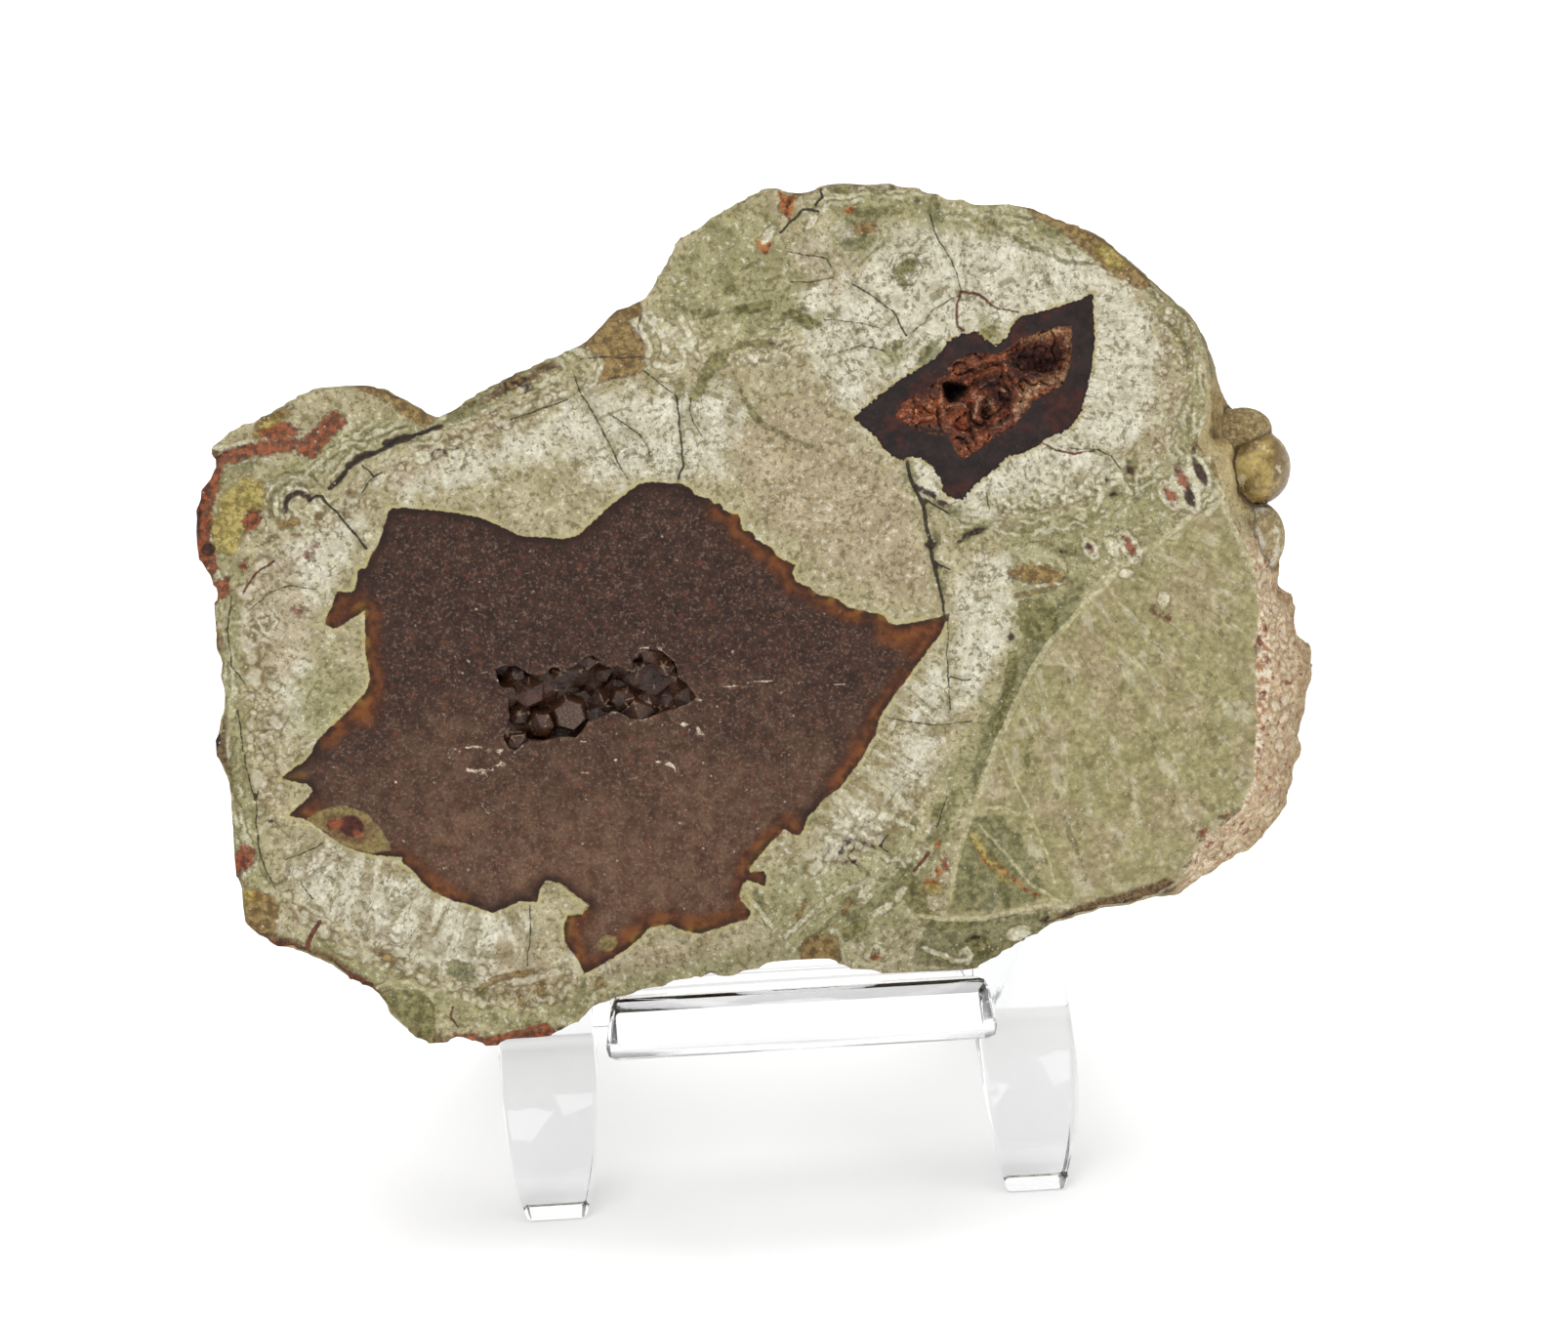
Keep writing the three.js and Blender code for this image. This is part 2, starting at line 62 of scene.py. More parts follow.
MAIN_DEPTH = 5.5
LENS_DEPTH = 4.5
CRUST_GAP = 0.32
WALL_OVERLAP = 0.12  # how far the crusts grow into the walls of their hollows

# How the meshes are made, in millimetres unless a line says otherwise.
MM_IN_METRE = 1000
JITTER = 0.16  # share of a step that scattered places wander
ROW_HEIGHT = 0.866  # share of a step between rows of scattered places
NEXT_TO = 1e-4  # places this near are one
LONG_EDGE = 1.4  # cells in the longest edge that stays whole on a lump
LINE_MARGIN = 0.13  # scattered places keep this far from thin lines
RIM_STEP = 0.24  # along the rims of the hollows
WALL_STEP = 0.42  # down the walls of the hollows
FAR_OFF = 9.0  # where no band or ring mark is near
WANDER_SEED = 5  # of the wander of the thin lines, the hollows' rims and the rind's knobs
LUMP_ROOT = 0.8  # from the middle of a lump to its root in the stone, in its half width
LUMP_FRONT = -0.8  # N behind which the lumps swell
LUMP_MARGIN = -0.2  # the lumps' meshes are refined from this depth in them

# The crystals and the lining; depths are N.
CRYSTAL_GROUND = -2.6
CRYSTAL_SIDE = 3.2  # slope of a crystal's sides
LINING_LOWEST = -4.0
LINING_HIGHEST = -0.22
BOWL = (18.1, 45.2)
LINING_LUMP = (14.9, 44.3)

# The stand, in millimetres of the frame.
SHEET = 3.0
STRIP_X = 19.8
STRIP_HALF = 4.0
NARROW_BELOW = 11  # Z where the strips start to narrow to their feet
FOOT_HALF = 2.4
FRONT_FOOT = 0.8
LEG_REACH = 33.0
BACKREST_TOP = 34.0
BACKREST_FOOT = -6.0
CURVE_STEPS = 22
TIP_STEPS = 8
SHELF_V = -1.45
SHELF_THICKNESS = 2.4
SHELF_HALF = 14.4
SHELF_FRONT = 3.4
BAR_HALF = 15.7
BAR_TOP_HALF = 14.9
BAR_FOOT = -4.9
BAR_TOP = 0.1
BAR_BACK = 2.6
BAR_FRONT = 5.2

# The stage, in metres.
FLOOR_HALF = 2.5
LIGHT_TARGET = (0, 0, 0.04)
CAMERA_PLACE = (-0.028475, -0.342296, 0.211622)
CAMERA_LENS = 109.03  # millimetres

# Outlines on the cut face, clockwise or anticlockwise, in millimetres.
BIG_AGATE = [
    (-30.4, 39.3), (-29.3, 39.3), (-27.6, 39.1), (-25.8, 38.8), (-24.3, 38.5), (-23.1, 38.15),
    (-22.2, 37.7), (-21.25, 37.2), (-20.2, 36.6), (-19.1, 36.5), (-18.2, 36.4), (-16.8, 36.2),
    (-15.5, 36.5), (-14.9, 37.1), (-13.9, 37.9), (-13.1, 38.65), (-12.2, 39.2), (-11.4, 39.8),
    (-10.6, 40.3), (-9.5, 40.4), (-8.4, 40.2), (-7.25, 40.1), (-6.7, 39.8), (-6.2, 39.1),
    (-5.2, 38.9), (-4.9, 38.4), (-4.3, 38.45), (-4.1, 37.9), (-3.5, 37.55), (-2.8, 37.5),
    (-2.7, 36.2), (-1.9, 36), (-1.6, 35.4), (-0.4, 34.7), (0.1, 33.9), (1.5, 33.2), (1.1, 32.6),
    (1.5, 31.8), (2.7, 31.3), (3, 30.8), (4.6, 30.4), (5.5, 29.6), (6.4, 29.4), (7.3, 29.1),
    (8.3, 28.9), (8.6, 28.3), (9.3, 28), (10.9, 28.2), (12.2, 28.4), (13.4, 28.6),
    (12.9, 27.2), (11.9, 26.1), (11.2, 25.2), (10.4, 24.3), (10, 23.7), (9.1, 22.7), (8.6, 22),
    (7.9, 21.1), (7.5, 20.4), (7.3, 19.4), (6.6, 18.4), (6, 17.3), (5.1, 16.3), (4.2, 15.2),
    (2.85, 14.35), (2.2, 13.5), (1.55, 13.1), (1.3, 12.3), (0.9, 11.6), (0.2, 11.7), (-0.35, 12.25),
    (-0.7, 11.7), (-1.5, 11.15), (-2.4, 10.15), (-3.3, 9.2), (-3.35, 8.8), (-2.7, 8.95), (-1.9, 8.75),
    (-2.1, 7.5), (-2.7, 7.9), (-3.6, 8.2), (-4, 7.6), (-3.4, 6.8), (-3.3, 5.7), (-3.5, 5.05),
    (-4.9, 4.8), (-6.2, 4.4), (-7.6, 4.1), (-8.8, 4.4), (-9.9, 5), (-11, 4.85), (-11.6, 4.75),
    (-12.4, 3.95), (-13.6, 3.05), (-15.5, 2), (-16.9, 1.35),
    (-17.3, 2.5), (-17.9, 3.4), (-18.35, 4.3), (-18.3, 5.4), (-17.9, 6.35), (-16.9, 6.35),
    (-16.4, 6.9), (-17.1, 7.4), (-17.6, 7.9), (-18.4, 8.6), (-19.5, 9), (-20, 8.5), (-20.3, 7.35),
    (-20.8, 7.4), (-21.6, 7.55), (-22.8, 7.1), (-23.8, 6.7), (-24.6, 7), (-25.6, 7.45),
    (-26.8, 7.8), (-28, 8.4), (-28.6, 8.75), (-29.4, 9.5), (-29.9, 10.3), (-30.4, 10.8), (-31, 11.1),
    (-30.8, 11.55), (-31.9, 11.7), (-33.2, 11.9), (-34.3, 12.3), (-35.2, 12.65), (-36.1, 13.3),
    (-37, 14), (-37.8, 14.7), (-38.5, 15.1), (-39.7, 15.4), (-38.9, 16), (-38, 16.7), (-37.6, 17.2),
    (-37.9, 17.8), (-38.6, 18), (-40.1, 18.3), (-39.4, 18.9), (-38.2, 19.6), (-37.5, 20.3),
    (-37.1, 21.2), (-36.1, 22.1), (-35, 23), (-34, 23.9), (-33.1, 24.8), (-32.6, 25.7),
    (-32.7, 26.7), (-32.9, 27.9), (-32.8, 29.4), (-32.8, 30.6), (-32.6, 31.4), (-33.5, 30.9),
    (-34.3, 30.4), (-35.2, 30), (-36, 30.5), (-35.6, 31.3), (-35.2, 32), (-34.9, 33), (-33.6, 32.8),
    (-33.3, 33.4), (-33.1, 34.7), (-32.4, 34.7), (-32.1, 35.6), (-31.5, 36.4), (-31.1, 37.3),
    (-30.6, 38.7),
]

LENS = [
    (6.5, 44.7), (7.8, 45.7), (8.9, 46.5), (10, 47.3), (11.6, 48.2), (12.8, 48.8), (13.7, 49.5),
    (14.2, 50.3), (14.9, 50.7), (15.7, 50.9), (16.7, 51), (17.3, 50.4), (18.1, 49.8), (19, 50.5),
    (19.5, 51.5), (20.3, 52.1), (21.6, 52.3), (22.4, 52.5), (23.6, 52.8), (25, 53.2), (26.1, 53.75),
    (26, 52.4), (26.05, 51), (26, 49.6), (25.8, 47.9), (25.4, 46.4), (25, 45.1), (24.7, 44.2),
    (24.1, 43.3), (23.1, 42.7), (21.9, 42.3), (21, 41.7), (20, 41.2), (18.7, 41), (18, 40.3),
    (16.8, 39.4), (15.8, 38.7), (15.3, 38), (14.7, 37.65), (13.9, 38), (13.5, 38.3), (13.3, 39.4),
    (12.7, 40.5), (11.7, 41.2), (10.9, 41.4), (10.4, 41.1), (9.6, 41.3), (8.9, 42.1), (7.9, 43.4),
]

MAIN_HOLLOW = [
    (-22.8, 26.2), (-21.9, 26.45), (-21, 26.3), (-20.2, 25.7), (-19, 25.5), (-18.2, 26.1), (-17.4, 25.9),
    (-16.5, 26), (-15.6, 26.7), (-14.9, 26.9), (-14.4, 26.2), (-13.8, 25.9), (-13, 25.9), (-12.3, 25.6),
    (-11.9, 26.3), (-11.3, 26.9), (-10.3, 27.1), (-9.4, 26.9), (-8.9, 26.5), (-8.5, 25.9), (-8.3, 24.8),
    (-7.6, 24.1), (-6.9, 23.1), (-7.8, 22.5), (-8.9, 22.2), (-10.1, 21.9), (-11.3, 21.5), (-12.3, 21.7),
    (-13.1, 22.2), (-13.9, 22.1), (-14.9, 21.8), (-15.6, 21.6), (-16, 20.9), (-16.6, 20.4), (-17.8, 20.5),
    (-19, 20.2), (-20.3, 20.3), (-21.5, 19.6), (-22, 19.9), (-22.4, 20.8), (-22, 21.6), (-21.8, 22.5),
    (-21.9, 23.3), (-21.7, 24.1), (-22.4, 24.8), (-22.6, 25.3),
]

LENS_HOLLOW = [
    (9.8, 44.6), (10.4, 45.5), (11.6, 46.3), (12.8, 46.9), (13.7, 47.7), (14.6, 48.7), (15.8, 49.2),
    (17, 49.45), (18.2, 49.1), (19.1, 49.6), (20.2, 50.4), (21.7, 50.8), (23.1, 51.1), (24.2, 51.1),
    (24.2, 49.6), (24, 48), (23.4, 46.5), (22.2, 45.9), (21.2, 45.5), (20.2, 44.3), (19.2, 43.3),
    (17.9, 42.6), (16.5, 41.7), (15.1, 40.9), (14.5, 41.8), (14, 42.8), (12.4, 43.1), (10.9, 43.7),
]

FIELD = [
    (32.2, 34.5), (28.7, 32.4), (24.3, 28.7), (20.3, 24.4), (17.1, 18.4), (14.5, 12.2), (12.6, 6.1),
    (12.3, 4.4), (15.5, 4.2), (20.8, 5), (26, 5.2), (30.2, 5.9), (31.3, 7.2), (34.7, 11.5),
    (37.1, 12.6), (38.2, 17.3), (38.9, 25.8), (38, 29.5), (36.9, 33), (35.4, 36.8), (34.2, 36.2),
]

# Fine dark cracks, and one painted shadow line along the foot of the yellow nodule: width and the places they pass.
CRACKS = [
    (0.3, [(-35, 41.1), (-34.3, 41.6), (-33.8, 42.2), (-33.2, 42.9), (-32.6, 43.3), (-31.4, 43.7)]),
    (0.34, [(-31.4, 43.7), (-30.6, 44), (-30, 44.4), (-29.4, 44.7), (-28.6, 44.8), (-28.2, 44.9)]),
    (0.21, [(-28.2, 44.9), (-27.5, 45.1), (-26.7, 45.4), (-26, 45.5)]),
    (0.19, [(-35.4, 40.1), (-34.6, 39.3), (-33.8, 38.2), (-33, 37.1), (-32.3, 36.3)]),
    (0.22, [(-36.6, 40.2), (-36, 40.6), (-35.5, 40.5), (-35.4, 40.1)]),
    (0.12, [(-32.3, 42.8), (-31.8, 42.3), (-31.5, 41.9)]),
    (0.09, [(-30.8, 42.2), (-31.6, 41.8), (-32.5, 40.6)]),
    (0.1, [(-15.3, 49), (-15, 47.8), (-14, 46), (-12.9, 43.6), (-12.4, 42.4), (-11.6, 40.6)]),
    (0.16, [(-7.4, 47), (-7.3, 45.2), (-7.2, 43.5), (-7.1, 41.4), (-7.4, 40.8), (-7.6, 40.2)]),
    (0.08, [(-12.5, 45.7), (-11.6, 45), (-10.3, 44), (-9.8, 43.2), (-9.7, 42.4)]),
    (0.08, [(-6.3, 46.8), (-6.4, 45.8), (-6.2, 44.9), (-5.3, 43.5)]),
    (0.08, [(-9.9, 49.2), (-8.6, 48), (-7.6, 47.2)]),
    (0.2, [(5.9, 63.7), (5.4, 63.4), (4.7, 62.8), (4.9, 62.2), (4.3, 61.6)]),
    (0.2, [(4.5, 61), (3.7, 61.2), (3.2, 61.2), (2.6, 60.6), (2.1, 60.2), (1.4, 59.5)]),
    (0.08, [(1.8, 58), (3.6, 57.6), (5, 57.3), (5.3, 56.6)]),
    (0.08, [(2, 55.6), (3.6, 55.5), (5.4, 55.8)]),
    (0.12, [(6.9, 55.2), (8.6, 54.1), (10.1, 52.9), (10.5, 52), (11, 51)]),
    (0.1, [(13.3, 60.4), (13.6, 59), (14.8, 56.8), (15.3, 55.4), (15.5, 54.3)]),
    (0.08, [(11.5, 51.2), (12.5, 51.9), (13.4, 53), (14.6, 53.6), (15.4, 53.9)]),
    (0.08, [(8.8, 51.7), (7, 52.2), (4.6, 52.5)]),
    (0.08, [(9.2, 49.9), (7.4, 50.3), (5.6, 49.9)]),
    (0.08, [(23.8, 41.4), (26, 41.2), (27, 40.6), (27.8, 39.5)]),
    (0.3, [(10.6, 41.2), (10.7, 40.6), (10.8, 39.9), (11.4, 38.5), (11.8, 37.5)]),
    (0.32, [(11.8, 37.5), (12.2, 34.4), (12.7, 31.7)]),
    (0.24, [(12.7, 31.7), (13, 30), (13.2, 28.3)]),
    (0.12, [(12.5, 33), (13, 32.7), (13.7, 32.2)]),
    (0.16, [(11.9, 37.9), (12.9, 37.3), (13.9, 36.7)]),
    (0.08, [(13.5, 28.6), (13.2, 25.5), (13.3, 21)]),
    (0.08, [(8, 20.7), (9.6, 20.3), (12, 19.8), (15, 20)]),
    (0.08, [(13.5, 23.6), (14.4, 23.3), (15.1, 23.3)]),
    (0.08, [(16.9, 38.2), (17, 37.4), (17.1, 36.9)]),
    (0.08, [(-40, 11.9), (-38.4, 12.4), (-37, 13.1)]),
    (0.1, [(-38.9, 10), (-38.5, 9.3), (-38, 8.6)]),
    (0.1, [(-41.9, 17.5), (-42.2, 15), (-41.9, 12), (-41, 9.6)]),
    (0.09, [(-43.1, 24), (-42.8, 20), (-42.2, 16.8)]),
    (0.1, [(-43.1, 33), (-43.6, 30.5), (-43.4, 27.5), (-42.4, 26)]),
    (0.08, [(-36.5, 33.2), (-38.6, 33.6), (-40, 33.2), (-41.8, 31.8)]),
    (0.09, [(-14.8, 50.3), (-13, 50.4), (-11.4, 50.2), (-10, 50.3)]),
    (0.09, [(-21.4, 2.3), (-21, 5), (-20.9, 7.2)]),
    # Painted shadow along the foot of the yellow nodule, not a crack.
    (0.11, [(36.4, 38), (36.9, 37), (37.5, 36.2), (38.6, 35.9), (39.8, 36)]),
    (0.09, [(5.2, 10.4), (4.6, 9.6), (5.4, 8.8)]),
    (0.1, [(7.9, 11.2), (7.2, 10.4), (7.9, 9.8)]),
    (0.1, [(12.8, 14), (12.2, 12.6), (11.8, 11.5)]),
    (0.08, [(-16, 47.2), (-18.6, 46.4), (-20.6, 45.8)]),
    (0.1, [(20.4, 3.4), (23, 4.2), (26, 4.6), (29.7, 5.4)]),
]

RUST_CRACKS = [
    (0.26, [(15.5, 54.2), (16.6, 54.1), (17.3, 53.7), (17.8, 53.1)]),
    (0.16, [(17.8, 53.1), (18.4, 52.7), (19.2, 52.6), (20, 52.4)]),
    (0.2, [(15.5, 54.2), (15.2, 53.2), (15, 52.3), (15.1, 51.6), (15.6, 51.1)]),
    (0.18, [(21.6, 41.9), (22.6, 41.3), (24, 41), (25.6, 41.1)]),
    (0.28, [(9.9, 8.2), (10.5, 8.9), (11.1, 9.6)]),
    (0.4, [(-37.6, 6.8), (-38.2, 6), (-38.6, 5.3), (-38.7, 4.4)]),
    (0.44, [(-41.9, 5.4), (-40.7, 5.2), (-39.4, 4.8)]),
    (0.44, [(-37.2, 3.5), (-35.1, 2.2), (-33.8, 1.5)]),
    (0.16, [(-27.4, -0.7), (-27.7, -1.5), (-27.1, -2.3)]),
    (0.2, [(-42.2, 33.2), (-41, 34.8), (-39.6, 35.6)]),
]

VEINS = [
    (0.42, [(34.2, 36.4), (32.2, 34.6), (28.7, 32.5), (26.4, 30.6), (24.3, 28.7), (22.2, 26.7),
            (20.3, 24.4), (18.8, 21.6), (17.1, 18.4), (15.8, 15), (14.5, 12.2), (13.4, 9), (12.6, 6.1)]),
    (0.36, [(9.6, 4.6), (12.6, 4.1), (15.5, 4.1), (18.2, 4.5), (20.8, 4.9), (22.2, 4.6)]),
    (0.2, [(17.2, 18.2), (18.4, 14.8), (19.6, 12), (20.6, 9), (21.2, 6.6)]),
    (0.22, [(20.5, 24.4), (22.2, 24.2), (24, 23.8)]),
    (0.26, [(14.6, 12.3), (15.8, 13), (17.4, 12.9), (18.6, 12.2)]),
    (0.24, [(15.3, 11.6), (17.6, 8.8), (19.2, 6.6), (21.6, 5)]),
    (0.3, [(3.5, 3.8), (4, 2.6), (4.5, 1.5), (5.6, 0.9), (7, 0.8), (8.2, 1), (9, 1.5)]),
    (0.3, [(-0.6, 2.6), (0.6, 3.9), (2.2, 5.4), (3.6, 6.6), (4.4, 7.6)]),
    (0.34, [(38.4, 30.6), (37.2, 33.2), (35.9, 36.2), (35.3, 38)]),
    (0.3, [(19.2, 31.2), (19.5, 32.4), (20.6, 33), (22, 32.9), (23.2, 32)]),
    (0.2, [(16.4, 30.2), (18, 30.6), (20, 30.4), (22.6, 30.9)]),
    (0.3, [(38.9, 26), (39, 23.2), (38.7, 20.2), (38.3, 17.4), (37.7, 14.6), (37, 12.6)]),
    (0.26, [(-33.3, 1.2), (-32.2, 1.6), (-30.8, 1.5), (-29.6, 0.8), (-28.9, -0.2)]),
]


def display_tone(red, green, blue):
    """Linear colour of a swatch given in 0..255 display values."""
    def channel(value):
        share = value / 255
        return share / 12.92 if share <= 0.04045 else ((share + 0.055) / 1.055) ** 2.4
    return (channel(red), channel(green), channel(blue), 1.0)


def line_distance(points, line, closed=False):
    """Distance from each point to a line of corners, and the nearest place on it."""
    corners = np.asarray(line, float)
    ends = np.roll(corners, -1, 0) if closed else corners[1:]
    starts = corners if closed else corners[:-1]
    best = np.full(len(points), 1e9)
    nearest = np.zeros((len(points), 2))
    for start, end in zip(starts, ends):
        along = end - start
        share = np.clip(((points - start) @ along) / max(along @ along, 1e-12), 0, 1)
        foot = start + share[:, None] * along
        distance = np.hypot(points[:, 0] - foot[:, 0], points[:, 1] - foot[:, 1])
        closer = distance < best
        best[closer] = distance[closer]
        nearest[closer] = foot[closer]
    return best, nearest


def is_inside(points, outline):
    """Which points lie inside a closed outline."""
    corners = np.asarray(outline, float)
    x, y = points[:, 0], points[:, 1]
    result = np.zeros(len(points), bool)
    for (ax, ay), (bx, by) in zip(corners, np.roll(corners, -1, 0)):
        if ay != by:
            crosses = (ay > y) != (by > y)
            result ^= crosses & (x < (bx - ax) * (y - ay) / (by - ay) + ax)
    return result


def depth_in(points, outline):
    """Signed distance to an outline in millimetres, positive inside."""
    distance, _ = line_distance(points, outline, closed=True)
    return np.where(is_inside(points, outline), distance, -distance)


def spot(u, v, across, up=None, turn=0.0):
    """An oval patch of two half sizes, turned anticlockwise by degrees."""
    up = across if up is None else up
    c, s = math.cos(math.radians(turn)), math.sin(math.radians(turn))

    def depth(points):
        x = (points[:, 0] - u) * c + (points[:, 1] - v) * s
        y = (points[:, 1] - v) * c - (points[:, 0] - u) * s
        return (1 - np.hypot(x / across, y / up)) * min(across, up)
    return depth


def stroke(width, *line):
    """A patch of one width along a line."""
    return lambda points: width / 2 - line_distance(points, line)[0]


def arc(u, v, radius, first, last):
    """Places on an arc between two angles in degrees."""
    return [(u + radius * math.cos(math.radians(a)), v + radius * math.sin(math.radians(a)))
            for a in range(first, last + 1, 15)]


def resampled(line, step, closed=False):
    """A line with a corner at least every step millimetres."""
    corners = [np.array(p, float) for p in line]
    if closed:
        corners.append(corners[0])
    result = []
    for start, end in zip(corners, corners[1:]):
        count = max(1, math.ceil(np.linalg.norm(end - start) / step))
        result += [start + (end - start) * i / count for i in range(count)]
    if not closed:
        result.append(corners[-1])
    return np.array(result)


def teeth(spacing, length, width, turn, *line, start=0.0):
    """A comb of short strokes that lean at one angle in degrees along a line."""
    reach = np.array([math.cos(math.radians(turn)), math.sin(math.radians(turn))]) * length
    feet = resampled(line, spacing)
    feet = feet[:-1] + (feet[1:] - feet[:-1]) * start
    return [stroke(width, tuple(foot), tuple(foot + reach * (0.8 + 0.4 * (number % 3) / 2)))
            for number, foot in enumerate(feet)]


def area(*outline):
    """A patch with an outline."""
    return lambda points: depth_in(points, outline)


LENS_COMB = [(18, 37), (20.4, 36.7), (22.6, 36.9), (24.6, 37.4), (26.4, 38.2), (28.6, 39.6)]
POCKET_COMB = [(-12.3, 52.4), (-10.6, 53.8), (-8.9, 53.4), (-7.2, 52.4), (-5.8, 51)]
OLIVE_COMB = [(-2.6, 49.9), (-1, 50.2), (0.4, 50.2), (2, 50), (3.2, 49.6)]

COLUMN_COMB = [(2.8, 11.4), (4.6, 11.2), (6.4, 12), (8, 13.4), (9.2, 15.2)]
RIB_COMB = [(7.4, 9.6), (8.6, 9.3), (9.8, 9.6), (10.8, 10.6)]

